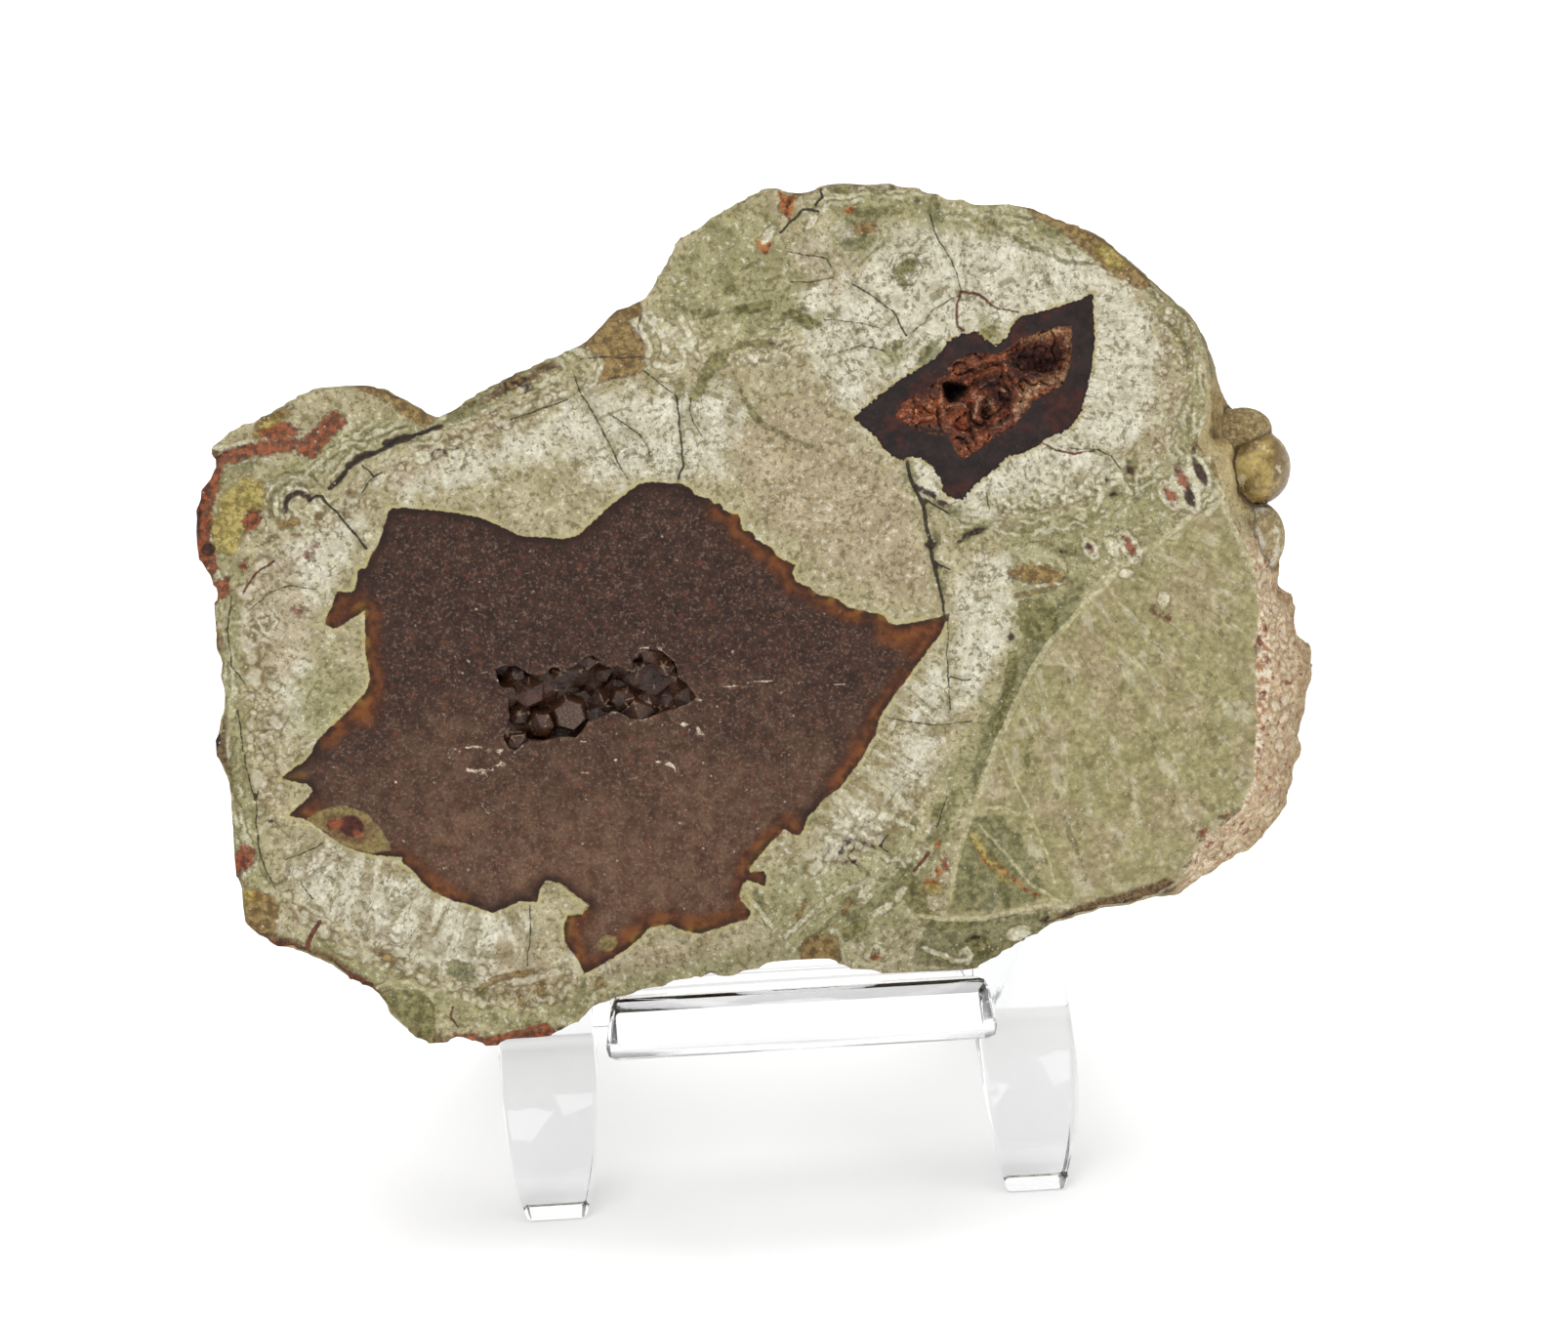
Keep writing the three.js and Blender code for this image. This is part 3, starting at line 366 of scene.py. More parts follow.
# Patches of colour on the cut face, each list under the name of its attribute.
PATCHES = {
    "pale": [
        area((2, 58), (8, 60), (18, 59), (26, 57), (31, 51), (31, 44), (26, 39), (16, 36), (12, 38),
             (9, 42), (6, 45), (3, 50)),
        area((-16.5, 47), (-13, 48), (-7.5, 47), (-6.4, 47), (-3, 47.4), (-2, 44), (-5, 40.5), (-9, 41),
             (-13, 40), (-17, 44)),
        area((-40, 12), (-36, 12.5), (-30, 9.6), (-24, 6.4), (-21, 6), (-20.6, 2), (-26, 1), (-33, 4), (-38, 8)),
        area((-43, 33), (-38, 37.5), (-33, 39), (-33, 36), (-36, 32.5), (-39, 29), (-42, 28)),
        stroke(2.4, (-29, 41.4), (-22, 43), (-16, 45)),
        spot(12, 22, 1.6, 3.4, -25), spot(10.5, 17, 1.4, 2.6, -40), spot(4.6, 11.6, 1.6, 3, -50),
        area((13.9, 30), (15.6, 33), (18.4, 33.4), (18.8, 30), (18.4, 26.6), (16.6, 23.6), (14.6, 20.6),
             (13.6, 21.4),
             (13.7, 25)),
        stroke(1, (18.8, 32.9), (21, 33.4), (23, 32.6)), spot(2, 8.6, 3, 1.4, 30), spot(8.6, 8.4, 2.4, 1.6, 20),
        spot(-16, 2.4, 2, 1), spot(-38.6, 26, 1.6, 4),
    ],
    "pinkish": [
        area((0, 46), (6, 43.6), (10, 39), (12.2, 33), (12.4, 30), (8, 30.5), (2, 35), (-2, 39), (-3, 43)),
        area((-42.6, 35), (-38, 36), (-37, 31), (-38.5, 26.5), (-42.6, 27)),
        area((-24, 4.2), (-20.6, 4.4), (-18.4, 0.4), (-23.4, -0.8)),
        spot(-28.5, 42.4, 2.4, 1, 25), spot(22, 22, 3.2, 4.4, -30), spot(27, 28, 3, 1.8, -30),
        spot(20, 15, 1.8, 4, 15), spot(3, 43.6, 2, 3), spot(-10.5, 2.4, 4.5, 1, 10),
        spot(10.6, 46.8, 2, 1), spot(4.6, 56.8, 3, 1.8), spot(7.2, 5.6, 1.6, 1.2, 20),
    ],
    "olive": [
        area((-9.4, 54.4), (-5.4, 60), (0, 62.8), (1.4, 60), (3, 56), (2.6, 52), (0, 51), (-4, 53), (-8, 53)),
        stroke(2.6, (-40, 41), (-35, 44), (-28, 46.2), (-21, 49), (-16, 50.6)),
        stroke(2.2, (-43.5, 43), (-43, 30), (-43.4, 20), (-42.6, 9)),
        stroke(2.4, (6, 61.8), (14, 60.6), (21, 59.4), (26, 57.4)),
        stroke(1.6, (31, 53.4), (33.8, 49.6), (34, 44.6), (32.8, 41)),
        area((13.6, 37), (18, 35.6), (25, 37.2), (30, 39.4), (34, 40.6), (34.6, 37), (29, 33.4), (24.6, 29.4),
             (20, 25.4), (17, 19), (14.6, 13), (11.6, 8), (11, 14), (15, 20), (18.4, 26), (19.2, 33), (14.4, 34.6)),
        stroke(2.6, (-38, 4.6), (-33, 2.6), (-29, 0), (-22, -2.2), (-17, -1)),
        spot(-36, 24.4, 2.4, 3.4, -20), stroke(0.9, (-15, 0), (-8, 1.2), (-3, 2), (0, 2.4)),
        spot(17.5, 50.7, 1.3, 1.0),
        area((-3.4, 7), (0, 9.6), (4, 9), (9, 13), (11, 11), (11.4, 6), (9, 3.6), (4, 2), (0, 2)),
        spot(8.4, 58.6, 2.6, 1.2, 20), spot(10, 49.6, 1.4, 0.9), spot(-1, 52.4, 4, 1.2, 5),
    ],
    "green": [
        area((20.4, 27), (22.4, 29.4), (24.6, 30.6), (23.4, 27.8), (21.6, 25.7), (19.8, 23), (17.9, 20),
             (16, 16.4), (15, 14), (14.4, 14.6), (15.6, 18.4), (17.3, 22), (19, 25)),
        area((9.4, 0.6), (10.4, 3.4), (14, 3.7), (18, 4.1), (20.8, 4.4), (21.4, 3.4), (18, 1.4), (15, 0)),
        spot(-1, 53.7, 1.7, 0.45, 6), spot(3, 52.5, 1.3, 0.6, -22), spot(-4.6, 53.4, 0.8, 0.3, 10),
        spot(15.8, 35.2, 1.2, 0.4, 15), spot(27.3, 37.6, 0.7, 0.4, -20), spot(13.8, 37, 0.9, 0.35, -20),
        stroke(0.5, (-17.6, -0.6), (-17, 0.4), (-17, 1.2)), spot(11.2, 56.3, 0.95, 0.75, 20),
        spot(-26.6, 2.2, 1.4, 0.8, -35), spot(22.9, 33.4, 0.6, 0.3, 10),
        area((14.4, 12), (17.2, 12.4), (18.6, 10.4), (20.4, 6.2), (19.4, 5.2), (15.5, 4.5), (12.8, 4.9), (13.2, 8)),
        stroke(0.4, (9.6, 6.4), (11, 8.6), (12.6, 11.4), (13.4, 14.4)), spot(-24, 46.6, 2, 0.5, 24),
        spot(29, 37.2, 0.6, 0.3, 40), spot(1.6, 12.9, 0.9, 0.5, 20), spot(-2.7, 6.4, 0.5, 1, 10),
        stroke(0.9, (4.6, 4.6), (7.4, 6.2), (9.4, 8.6)),
        stroke(0.9, *[(u, v + 0.35) for u, v in LENS_COMB]), spot(8, 60.4, 1.6, 0.8, 10),
        spot(13.6, 60.6, 1.2, 0.7, -60),
        spot(12.8, 49.4, 1.3, 0.6, 45), spot(23, 58.6, 0.9, 0.5, -20), spot(33, 52.2, 0.9, 0.5, -50),
        spot(7.4, 58.4, 1.8, 0.5, 8),
        spot(12.1, 37.2, 0.4, 0.7, 10), spot(12.7, 34.6, 0.3, 0.9), spot(-41.4, 43.2, 1.0, 0.45, 10),
        spot(11, 40, 0.3, 0.8, 10), spot(13.2, 31, 0.25, 0.8), spot(17.6, 50.8, 0.5, 0.4),
    ],
    "moss": [
        area((-33.3, 0.8), (-31.9, 1), (-30.2, 0.8), (-28.9, -0.4), (-29, -2.9), (-29.4, -4), (-31.9, -2.8),
             (-33, -0.9)),
        area((19.2, 29.4), (21, 29.6), (22.2, 28.6), (22, 26.3), (20.6, 26), (19.3, 27)),
        stroke(0.8, (18.5, 25), (18, 22), (17, 19)), spot(23.45, 33.05, 0.4, 0.25), spot(-2.8, 55.2, 0.5, 0.3),
        stroke(0.24, (-1.6, 56.7), (-0.2, 57.5)), stroke(0.22, (1.2, 52.8), (2, 53.4), (3.3, 53.3)),
        spot(-5.6, 53.6, 0.3, 0.2),
        stroke(0.3, (13.7, 62.2), (13.9, 61)), spot(6.3, 62.8, 0.9, 0.5), spot(-28.7, 2.1, 0.2, 0.5),
        spot(-24.4, -1.6, 0.4, 0.2),
        spot(-25.1, 0.5, 0.5, 0.4), spot(-23.2, 0.2, 0.3), stroke(0.24, (19.2, 28.9), (20.6, 28.6), (21.9, 28.7)),
        spot(14.7, 1.8, 1.1, 1), stroke(0.2, (12.4, 3.9), (15, 3.7), (15.9, 4.1), (17.7, 4.1), (20, 3.9)),
        *teeth(0.28, 0.6, 0.12, 0, (10.8, 10.2), (11.4, 11.4), (12.3, 12.7)),
        stroke(0.2, (-41.9, 12.4), (-41.8, 11.1), (-41.3, 10.1), (-40.3, 10.1), (-39.9, 11.2)),
        spot(17, 6.4, 0.16, 1, 15), spot(22.6, 10.4, 0.14, 1.2, 20), spot(19.4, 16.8, 0.14, 0.9, -10),
        stroke(0.46, (-3.9, 50), (-3.2, 50.4), (-2.1, 50.7), (-0.8, 50.9), (0.2, 50.9)),
        area((-5.6, 48.2), (-4.9, 49.6), (-4.1, 50.3), (-3.1, 50.2), (-3.4, 49.2), (-4.3, 48.9), (-5, 47.9),
             (-5.3, 46.9),
             (-6.4, 46.6), (-6.5, 47.2), (-5.9, 47.4)),
        area((-7.6, 46.8), (-7.4, 48), (-6.8, 48.1), (-6.8, 47.3), (-7.3, 46.6)),
        stroke(0.14, (-2.9, 48.6), (-2.5, 47.7), (-2.1, 46.8), (-1.7, 45.6)),
        stroke(0.44, (-1.7, 45.9), (-1.4, 45.3), (-0.9, 44.7), (-0.3, 44.3)),
        stroke(0.2, (-0.2, 44.2), (0.9, 43.6), (2, 42.9), (3.3, 42.4), (3.9, 42.2)),
        spot(11.3, 56.5, 0.85, 0.45, 12), spot(10.8, 55.4, 0.7, 0.4, -60), spot(-9.8, 42.3, 0.26, 0.34),
        spot(17.7, 50.9, 0.5, 0.42, 30), spot(17.2, 50.4, 0.3, 0.24), spot(10.2, 50.2, 0.5, 0.26, 40),
        spot(12.4, 49.6, 0.8, 0.3, 40),
        spot(-1, 53.7, 1.5, 0.3, 6), spot(3, 52.5, 1.1, 0.34, -22), spot(-4.6, 53.4, 0.7, 0.2, 10),
        spot(5.3, 52.8, 0.5, 0.26, 30),
        spot(-12.3, 51.3, 0.2), spot(-8.7, 52.9, 0.7, 0.2, 30), spot(-6.9, 54.2, 0.5, 0.2, -30),
        spot(4, 55.4, 0.5, 0.2, 10),
        stroke(0.3, (8.2, 62.6), (9.6, 62.4), (11.4, 62.9)), stroke(0.24, (7.6, 60.6), (9.4, 60.9), (11, 60.6)),
        area((14.2, 4), (12.4, 3.9), (10.9, 5.2), (10.6, 6.8), (9.4, 8.4), (8.4, 7.2), (9.6, 5), (10.8, 3.4),
             (14, 3.4)),
        stroke(0.24, (0.4, 3.6), (1.8, 5), (3.2, 6.4)), stroke(0.2, (1.4, 3), (3, 4.6), (4.6, 6)),
        spot(4.8, 3.6, 1.3, 0.5, 30),
        stroke(0.22, (5.4, 8.9), (6.2, 8), (7.4, 7.6)), spot(11.9, 12.6, 0.34, 0.9, -20),
        spot(9.9, 11.9, 0.3, 0.6, -30),
        stroke(0.2, (17.6, 60), (19, 58.9), (20.4, 58), (22.2, 57), (24, 56.2), (26.6, 55.8), (29, 55)),
        spot(22.4, 54.8, 0.24, 0.4), spot(12.3, 61.7, 0.2), stroke(0.4, (33.1, 49.4), (33.5, 48.4), (33.6, 47.4)),
        stroke(0.2, (31, 51.4), (32.2, 50.6), (32.9, 49.8)), stroke(0.16, (-13.8, 52.3), (-11.4, 52.2)),
    ],
    "crust_face": [
        area((38.6, 28.4), (38.2, 25), (37.9, 18), (37.6, 14), (36.2, 11.2), (33.6, 9.6), (32, 7.6), (32.8, 5.4),
             (37, 7),
             (43, 12), (45, 20), (43, 28)),
        area((39.4, 31.6), (38.6, 28.4), (43, 28), (42, 31.6)),
    ],
    "rust": [
        area((1.2, 63.6), (2.7, 63.2), (2.6, 61.6), (2.2, 60.2), (1.5, 61.3)),
        stroke(0.4, (-0.4, 59.1), (0, 57.9), (0.6, 58.8)), spot(7, 61, 0.45, 0.3), spot(-43, 9.2, 0.9, 0.4),
        stroke(0.46, (15.1, 9.9), (15.7, 8.6), (17.2, 7.7)), stroke(0.3, (17.2, 7.7), (18.8, 6.2), (20, 5.5)),
        spot(11.3, 7.1, 0.7, 0.35, -25), spot(11.9, 8, 0.3, 0.5), spot(11.9, 10.2, 0.2, 0.5),
        spot(6.5, 1.3, 0.5, 0.28), spot(-44.6, 8, 0.4, 0.9),
    ],
    "rust_rim": [
        stroke(2.4, (23, 61), (26, 59.6), (29, 57.4), (31.4, 55), (34, 52.6), (36, 49.6), (36.6, 46)),
        stroke(1.6, (5, 64.4), (8, 64), (11.4, 63.4)),
        stroke(1.8, (-31, 49.6), (-28.6, 48.8), (-26, 47.6), (-24, 47)),
        stroke(2.4, (-44.6, 44.6), (-46, 40), (-46, 36), (-45.4, 30), (-45.4, 24), (-45, 18)),
        stroke(1.6, (-40, 47.6), (-37, 49.4)), stroke(2, (-44.4, 12), (-44.4, 7), (-41, 5), (-37, 3), (-33, 0)),
        stroke(2, (-30, -3), (-27, -5), (-22, -4.6), (-19, -3.6)),
        stroke(2, (12, 1.4), (16, 0.6), (19, 2), (24, 4), (30, 5.6)), stroke(1.6, (-22, 47), (-17, 49.6)),
    ],
    "tan": [
        stroke(1.5, (-32.2, 49.5), (-31.7, 49.3), (-29.8, 48.4), (-28.3, 47), (-27.2, 46.4)),
        stroke(0.7, (-39, 38.4), (-37.8, 38.6)), spot(-39.8, 37.3, 0.5, 0.2, 30), spot(-37.6, 37.6, 0.35, 0.2),
        spot(-36, 39, 0.35, 0.25), spot(-33.7, 38.9, 0.3, 0.2), spot(-33.2, 40.6, 0.4, 0.25, -20),
        spot(-35.6, 37.6, 0.25),
        area((-15.4, 51.6), (-13.2, 53.4), (-11.9, 54.7), (-10, 55.2), (-9.9, 53.5), (-11, 53.1),
             (-10.6, 52.6), (-9.5, 51.2), (-9.9, 50.1), (-9.7, 49.4), (-10.5, 48.9), (-13.6, 48.4),
             (-12.8, 50.2), (-14.4, 51.2)),
        area((-30.4, 49.4), (-27.4, 48), (-24.3, 48.4), (-24.6, 47.6), (-27.2, 46.6), (-29.2, 46.9),
             (-29.7, 48)),
        area((0.3, 1), (0.6, 3), (2, 3.6), (3.4, 3.2), (3.7, 1)),
        area((20.6, 61.8), (24.6, 60.4), (28, 58), (31.4, 54.8), (30, 53.7), (27.6, 55.1), (25.6, 57), (23.4, 58.9),
             (21, 60.3)),
        spot(20.7, 31.5, 2.2, 0.75, -8), stroke(0.2, (18.9, 29.9), (20.4, 30), (22, 30.3)),
        spot(8.1, 59.5, 1, 0.5, 10), area((6.6, 63.8), (9.5, 63.3), (7.5, 62.8)), spot(-32.6, 3.7, 1, 0.3, -35),
        stroke(0.45, (0.2, 5), (1.2, 6.1)), stroke(0.5, (4.6, 6.1), (4.2, 5.1)), spot(34.6, 41.2, 0.85, 0.7),
        spot(35.7, 39.5, 0.6, 1), spot(36.2, 43.4, 0.6, 0.9), spot(36.4, 45, 0.5, 0.7),
        area((-44.4, 9.5), (-41.5, 9.3), (-40.8, 8.5), (-41.2, 6), (-44.4, 6.4)),
        stroke(0.9, (5.8, 64), (8, 63.7), (11.4, 63.2)), spot(-20.2, 48.7, 0.7, 0.4, 20),
        spot(-39.2, 46.6, 1.6, 0.5, 30), stroke(0.6, (1.6, 61.4), (3, 62.6), (4, 63)),
        spot(-15.6, 0.6, 0.4), spot(-20.3, 0.4, 0.3, 0.7), spot(-22, -0.2, 0.3, 0.6), spot(19.3, 1.9, 1.2, 0.4, 30),
        stroke(0.35, (-21, 1.8), (-24, 1.4), (-25.4, 0.6)),
    ],
    "ochre": [
        area((-41.6, 42.4), (-40.2, 41.8), (-40.1, 40), (-41.6, 38.6), (-42.6, 36.4), (-44.2, 36.6),
             (-44.4, 38.4), (-43.4, 41)),
        spot(27.6, 56.4, 1.3, 0.6, -42), spot(-39.6, 46.2, 1.2, 0.5, 30), spot(-43.4, 9.2, 1, 0.5),
        stroke(0.5, (14.8, 10.8), (15.5, 9.4), (16.4, 8.2), (17.1, 7.2)), spot(11.4, 6.7, 0.7, 0.4, -10),
        spot(-45.2, 35.4, 0.5, 0.8),
    ],
    "red": [
        area((-34.1, 47.3), (-33.4, 46.1), (-35.3, 44.6), (-36, 43.6), (-37.2, 43.8), (-37.4, 45),
             (-36.2, 45.6), (-35.2, 46.5)),
        area((-40.4, 45.9), (-38, 46.5), (-37, 45.8), (-39.6, 45)),
        stroke(1.1, (-44.6, 43.2), (-42.6, 44), (-41, 44.4), (-37.8, 44.7)),
        stroke(2.2, (-44.4, 42.8), (-45.3, 40), (-45.6, 37.4), (-45.2, 35.4)), spot(-44.6, 41.6, 1.1, 0.8, 60),
        spot(-41.2, 38.9, 0.6, 0.95, -30), spot(-43.9, 33.6, 0.7, 1, -38), spot(-44.8, 30, 0.35, 1.4),
        spot(31.6, 37.3, 0.35, 0.8, 32), spot(32.6, 38.6, 0.35, 0.9, 25), spot(28.25, 33.3, 0.34, 1.05, 29),
        stroke(0.3, (29.9, 28.4), (30.2, 27.7), (31.2, 27.4)), spot(33.3, 9.9, 0.4, 0.25, 40),
        spot(38.2, 15.9, 0.25, 0.35),
        spot(38.6, 20.8, 0.3), spot(39.9, 22.8, 0.25), spot(38.9, 23.6, 0.24), spot(38.4, 25, 0.2, 0.4),
        spot(38.8, 18.2, 0.2), spot(35.4, 11.2, 0.3, 0.16), spot(32.4, 7.4, 0.4, 0.2, 30), spot(39.2, 26.2, 0.24),
        spot(-43.2, 12.3, 0.75, 1, -20),
        area((-28.2, -2.9), (-26, -2.9), (-24.6, -3.3), (-22, -2.7), (-20, -2.3), (-19.4, -3.4), (-20.4, -4.4),
             (-25, -4.8)),
        spot(25.2, 33.15, 0.36, 0.22, -55), spot(19.6, 54.2, 0.1),
        spot(-45, 23, 0.4, 0.9), spot(-37.9, 31.6, 0.4, 0.25), spot(12.4, 8.6, 0.3, 0.5),
        spot(-36.9, 35.8, 0.22, 0.36, 30),
        spot(-42, 35.4, 0.45, 0.35, 40), spot(-36.4, 36.7, 0.25, 0.2), spot(-44, 11.6, 0.4, 0.5),
    ],
    "cream": [
        stroke(0.7, (-10.8, 53.2), (-10, 52.2), (-9.4, 51.2), (-9.5, 50.5)),
        stroke(0.5, (-8.9, 53), (-8.3, 51.8), (-8, 50.5)), stroke(0.5, (-6.8, 53.2), (-6.2, 52.1), (-5.8, 51.2)),
        stroke(0.6, (-8.9, 49.7), (-7.8, 49.2), (-6.9, 49.4)),
        stroke(0.34, (-6.8, 50.8), (-6.5, 49.6)), spot(-11.9, 49.4, 0.34, 0.22), spot(-9.5, 50.6, 0.4, 0.3),
        stroke(0.34, *arc(-14.7, 50, 1.5, -75, 75)), stroke(0.3, (-8.6, 48.5), (-7.6, 48.3)),
        stroke(0.3, (-7.3, 51.6), (-7, 50.8)), spot(3.6, 50.3, 0.24, 0.34), spot(4.6, 49.8, 0.24, 0.3),
        spot(32.9, 37.7, 0.95, 2.1, 24), spot(34, 39, 0.85, 1.7, 26), spot(31.6, 37.3, 0.8, 1.4, 32),
        spot(28.25, 33.3, 0.75, 1.55, 29), spot(25.05, 33.3, 0.6, 1, 30), spot(26.8, 33.4, 0.5, 0.9, 28),
        stroke(0.44, (10.4, 1.9), (11.4, 1.4), (12.1, 1.2), (12.7, 0.8), (13.9, 0.6), (14.2, 1.1), (13.9, 1.6),
               (13.4, 1.4)),
        stroke(0.4, (-0.7, 3.5), (1.1, 4.9), (3.2, 6.6), (5.9, 7.5)), stroke(0.4, (-3.1, 6.4), (-1.7, 4.3)),
        stroke(0.4, (8.7, 12.3), (10, 11.6)), spot(5, 9.65, 0.32, 0.3),
        spot(18.1, 2.7, 1.1, 0.6, 12), spot(-36.3, 39.4, 0.75, 0.6), spot(-24.8, 43.4, 0.6, 0.5),
        spot(-19.6, 48.2, 0.5, 0.35, 20), stroke(0.5, (-44.4, 45), (-42.8, 44.6), (-40.8, 45.2)),
        spot(30.8, 29, 0.5, 0.6), spot(27.9, 31.2, 0.6, 0.4), spot(8.6, 20, 0.3, 0.6, -30),
        spot(0.4, 59.3, 1, 0.4, 50), stroke(0.5, (4.2, 60.6), (3.6, 59.8)), spot(-27.6, 43.2, 0.7, 0.5),
        spot(21.6, 30.7, 1.6, 0.25, 6), spot(7.2, 5.2, 1, 0.34, 28), spot(6, 6.9, 1.1, 0.3, 40),
        spot(8.7, 6.4, 0.8, 0.34, 60),
        *teeth(0.5, 1.0, 0.26, -70, *COLUMN_COMB), *teeth(0.62, 0.8, 0.24, -50, *RIB_COMB),
        stroke(0.45, (25.5, 36.4), (26.6, 38.4), (27.8, 38.6), (28.4, 37.6)),
        *teeth(0.64, 1.15, 0.34, 100, *LENS_COMB), *teeth(0.95, 1.7, 0.36, -62, *POCKET_COMB),
        *teeth(0.7, 0.75, 0.3, -84, *OLIVE_COMB, start=0.2), stroke(0.34, *arc(-37.8, 39.8, 1.5, 40, 210)),
        stroke(0.26, *arc(-37.8, 39.8, 2.3, 60, 205)),
    ],
    "dark": [
        spot(34.1, 39, 0.42, 1.25, 26), spot(33.2, 37, 0.42, 0.9, 18),
        spot(-44.7, 36.8, 0.6, 0.5, 30), spot(-45, 21.8, 0.4, 0.8), spot(-44.9, 34.2, 0.4, 0.6),
        stroke(0.3, (-45.1, 41), (-45.3, 39)),
        # Painted shadow at the left foot of the yellow nodule.
        spot(36.2, 37.7, 0.35), stroke(0.3, (36.3, 37.4), (36.9, 36.4), (37.6, 35.9)),
        spot(33.7, 40.8, 0.2, 0.5, -20),
        spot(36.3, 41.3, 0.4, 0.5), spot(36.5, 44.2, 0.3), spot(35.3, 42.3, 0.4, 0.2), spot(35.5, 7.6, 0.6, 0.42),
        spot(38.3, 10.6, 0.4, 0.24, 20), spot(30.3, 5.3, 0.5, 0.3, 10), spot(32.2, 6.2, 0.34, 0.2),
        spot(20.3, 3.7, 0.5, 0.24, 10), stroke(0.5, *arc(-37.5, 39.8, 1.05, 30, 195)),
        stroke(0.46, (-34.9, 41.2), (-34.3, 41.6), (-33.8, 42.2)),
        stroke(0.6, (-33.4, 42.8), (-32.6, 43.4), (-31.6, 43.7)),
        stroke(0.66, (-30.2, 44.3), (-29.4, 44.7), (-28.5, 44.8)),
        stroke(0.4, (-28, 44.9), (-26.8, 45.4), (-26, 45.5)),
        stroke(0.24, (-43.8, 43.9), (-42.2, 44.6), (-40.8, 44.9)), spot(0.4, 50.75, 0.34, 0.18, -20),
        stroke(0.12, (-10.4, 48.9), (-12, 48.8), (-13.6, 48.4)), spot(-45.6, 38.6, 0.35, 0.8),
        spot(-45.3, 33, 0.3, 0.7), stroke(0.2, (-9.9, 53.6), (-10.2, 52.4), (-9.8, 51.4)), spot(-11.8, 44.4, 0.14),
        spot(-13.6, 41, 0.16, 0.12),
        stroke(0.5, (11.3, 38.9), (12.7, 38.2)), spot(12.3, 34.3, 0.5, 0.4), spot(15.8, 35.1, 0.95, 0.28, 15),
        spot(14.7, 34.5, 0.4, 0.2, 20), spot(18.4, 26.6, 0.3, 0.4), spot(27.1, 37.5, 0.35, 0.25),
        spot(12.3, 61.5, 0.25), spot(2.1, 61.6, 0.16, 0.7, -8), spot(24.85, 33.5, 0.3, 0.32, -55),
        stroke(0.2, (-41.9, 13.5), (-42.1, 12.2), (-42, 11)), spot(-41.2, 15, 0.5, 0.18, 15),
        stroke(0.3, *arc(-26.3, 43.2, 0.5, 20, 200)), stroke(0.2, *arc(-24.9, 42.9, 0.9, 10, 170)),
        stroke(0.3, *arc(-20, 47.8, 0.85, 0, 190)), stroke(0.2, *arc(-20, 47.8, 1.4, 10, 170)),
        spot(22.9, 33.2, 0.35, 0.18), spot(28.5, 39.4, 0.3, 0.5, 40), spot(26.6, 38.6, 0.3, 0.22),
        spot(-2.9, 8.5, 0.6, 0.35, -10), spot(4.9, 9.15, 0.6, 0.2), spot(4.1, 10.1, 0.25, 0.45),
        spot(4.7, 10.85, 0.6, 0.2, 10), stroke(0.25, (5.7, 10.8), (6.8, 10.2)), stroke(0.2, (6.6, 11.5), (8, 11)),
        stroke(0.35, (13.9, 2.2), (14.6, 2.6), (15.3, 2.4)),
        spot(13.4, 37.5, 0.6, 0.25, -25), spot(-30.3, 44.5, 0.5, 0.3, 20),
    ],
    "groove": [
        stroke(0.3, *arc(-37.8, 39.8, 1.9, 45, 210)), stroke(0.26, *arc(-37.8, 39.8, 2.75, 30, 200)),
        stroke(0.22, (-36.5, 42.3), (-35.4, 43), (-34.2, 43.8), (-32.6, 44.5), (-31, 44.9), (-29.6, 45.5),
               (-27, 46)),
        stroke(0.18, (-37, 43), (-35.6, 43.9), (-33.8, 44.8), (-32, 45.3), (-30, 46)),
        stroke(0.24, (-42.8, 32.7), (-43.5, 31.6), (-43.7, 30), (-43.6, 28.4)),
        stroke(0.14, *arc(-42.1, 30.4, 1.9, 300, 420)), stroke(0.2, (-43.1, 24.2), (-43.4, 23), (-43.6, 22)),
        stroke(0.22, (-42.6, 20.8), (-42.9, 19.6), (-42.9, 18.5)),
        stroke(0.28, (-43.3, 21.7), (-43.9, 20), (-44, 18.2), (-43.7, 16.9), (-43.2, 16.3)),
        stroke(0.16, (-41.8, 22.3), (-40.6, 22.3)), stroke(0.16, (-42.1, 25.2), (-41.2, 25.2)),
        stroke(0.2, (-39.6, 37), (-38, 36.6)),
        stroke(0.2, *arc(-41.5, 34.6, 0.9, 60, 200)), stroke(0.16, *arc(-39.4, 35.6, 0.8, 30, 170)),
        stroke(0.2, *arc(-20, 47.9, 2, 10, 160)), stroke(0.18, *arc(11.2, 56.2, 1.3, 0, 360)),
        stroke(0.16, *arc(20.8, 31.7, 2.4, -30, 200)), stroke(0.16, *arc(12, 2.4, 1.7, 120, 290)),
        stroke(0.2, (-26, 45.2), (-23, 46), (-20.6, 47), (-18, 48)),
        stroke(0.16, (-24, 44.2), (-20, 45.7), (-16.6, 47.2)),
    ],
    "columns": [
        area((-40, 13), (-36, 13.6), (-30, 11), (-24, 8), (-20.6, 7), (-20.4, 2.4), (-26, 2), (-33, 4.4),
             (-38.6, 8.6)),
        area((0.4, 12.6), (10, 25), (13, 24), (12.6, 17), (8, 10), (4, 9.6)),
    ],
    "beads": [
        stroke(2.2, (-39, 35.6), (-34.4, 39), (-30.4, 41.8), (-26, 43.6), (-21, 45.6), (-16.4, 47.6)),
        stroke(3, (-41, 33), (-41.4, 28), (-41, 22), (-40.6, 17)),
        stroke(2.6, (-39, 7.6), (-34, 4.6), (-28, 1.6), (-22, 0), (-17, 0.4)),
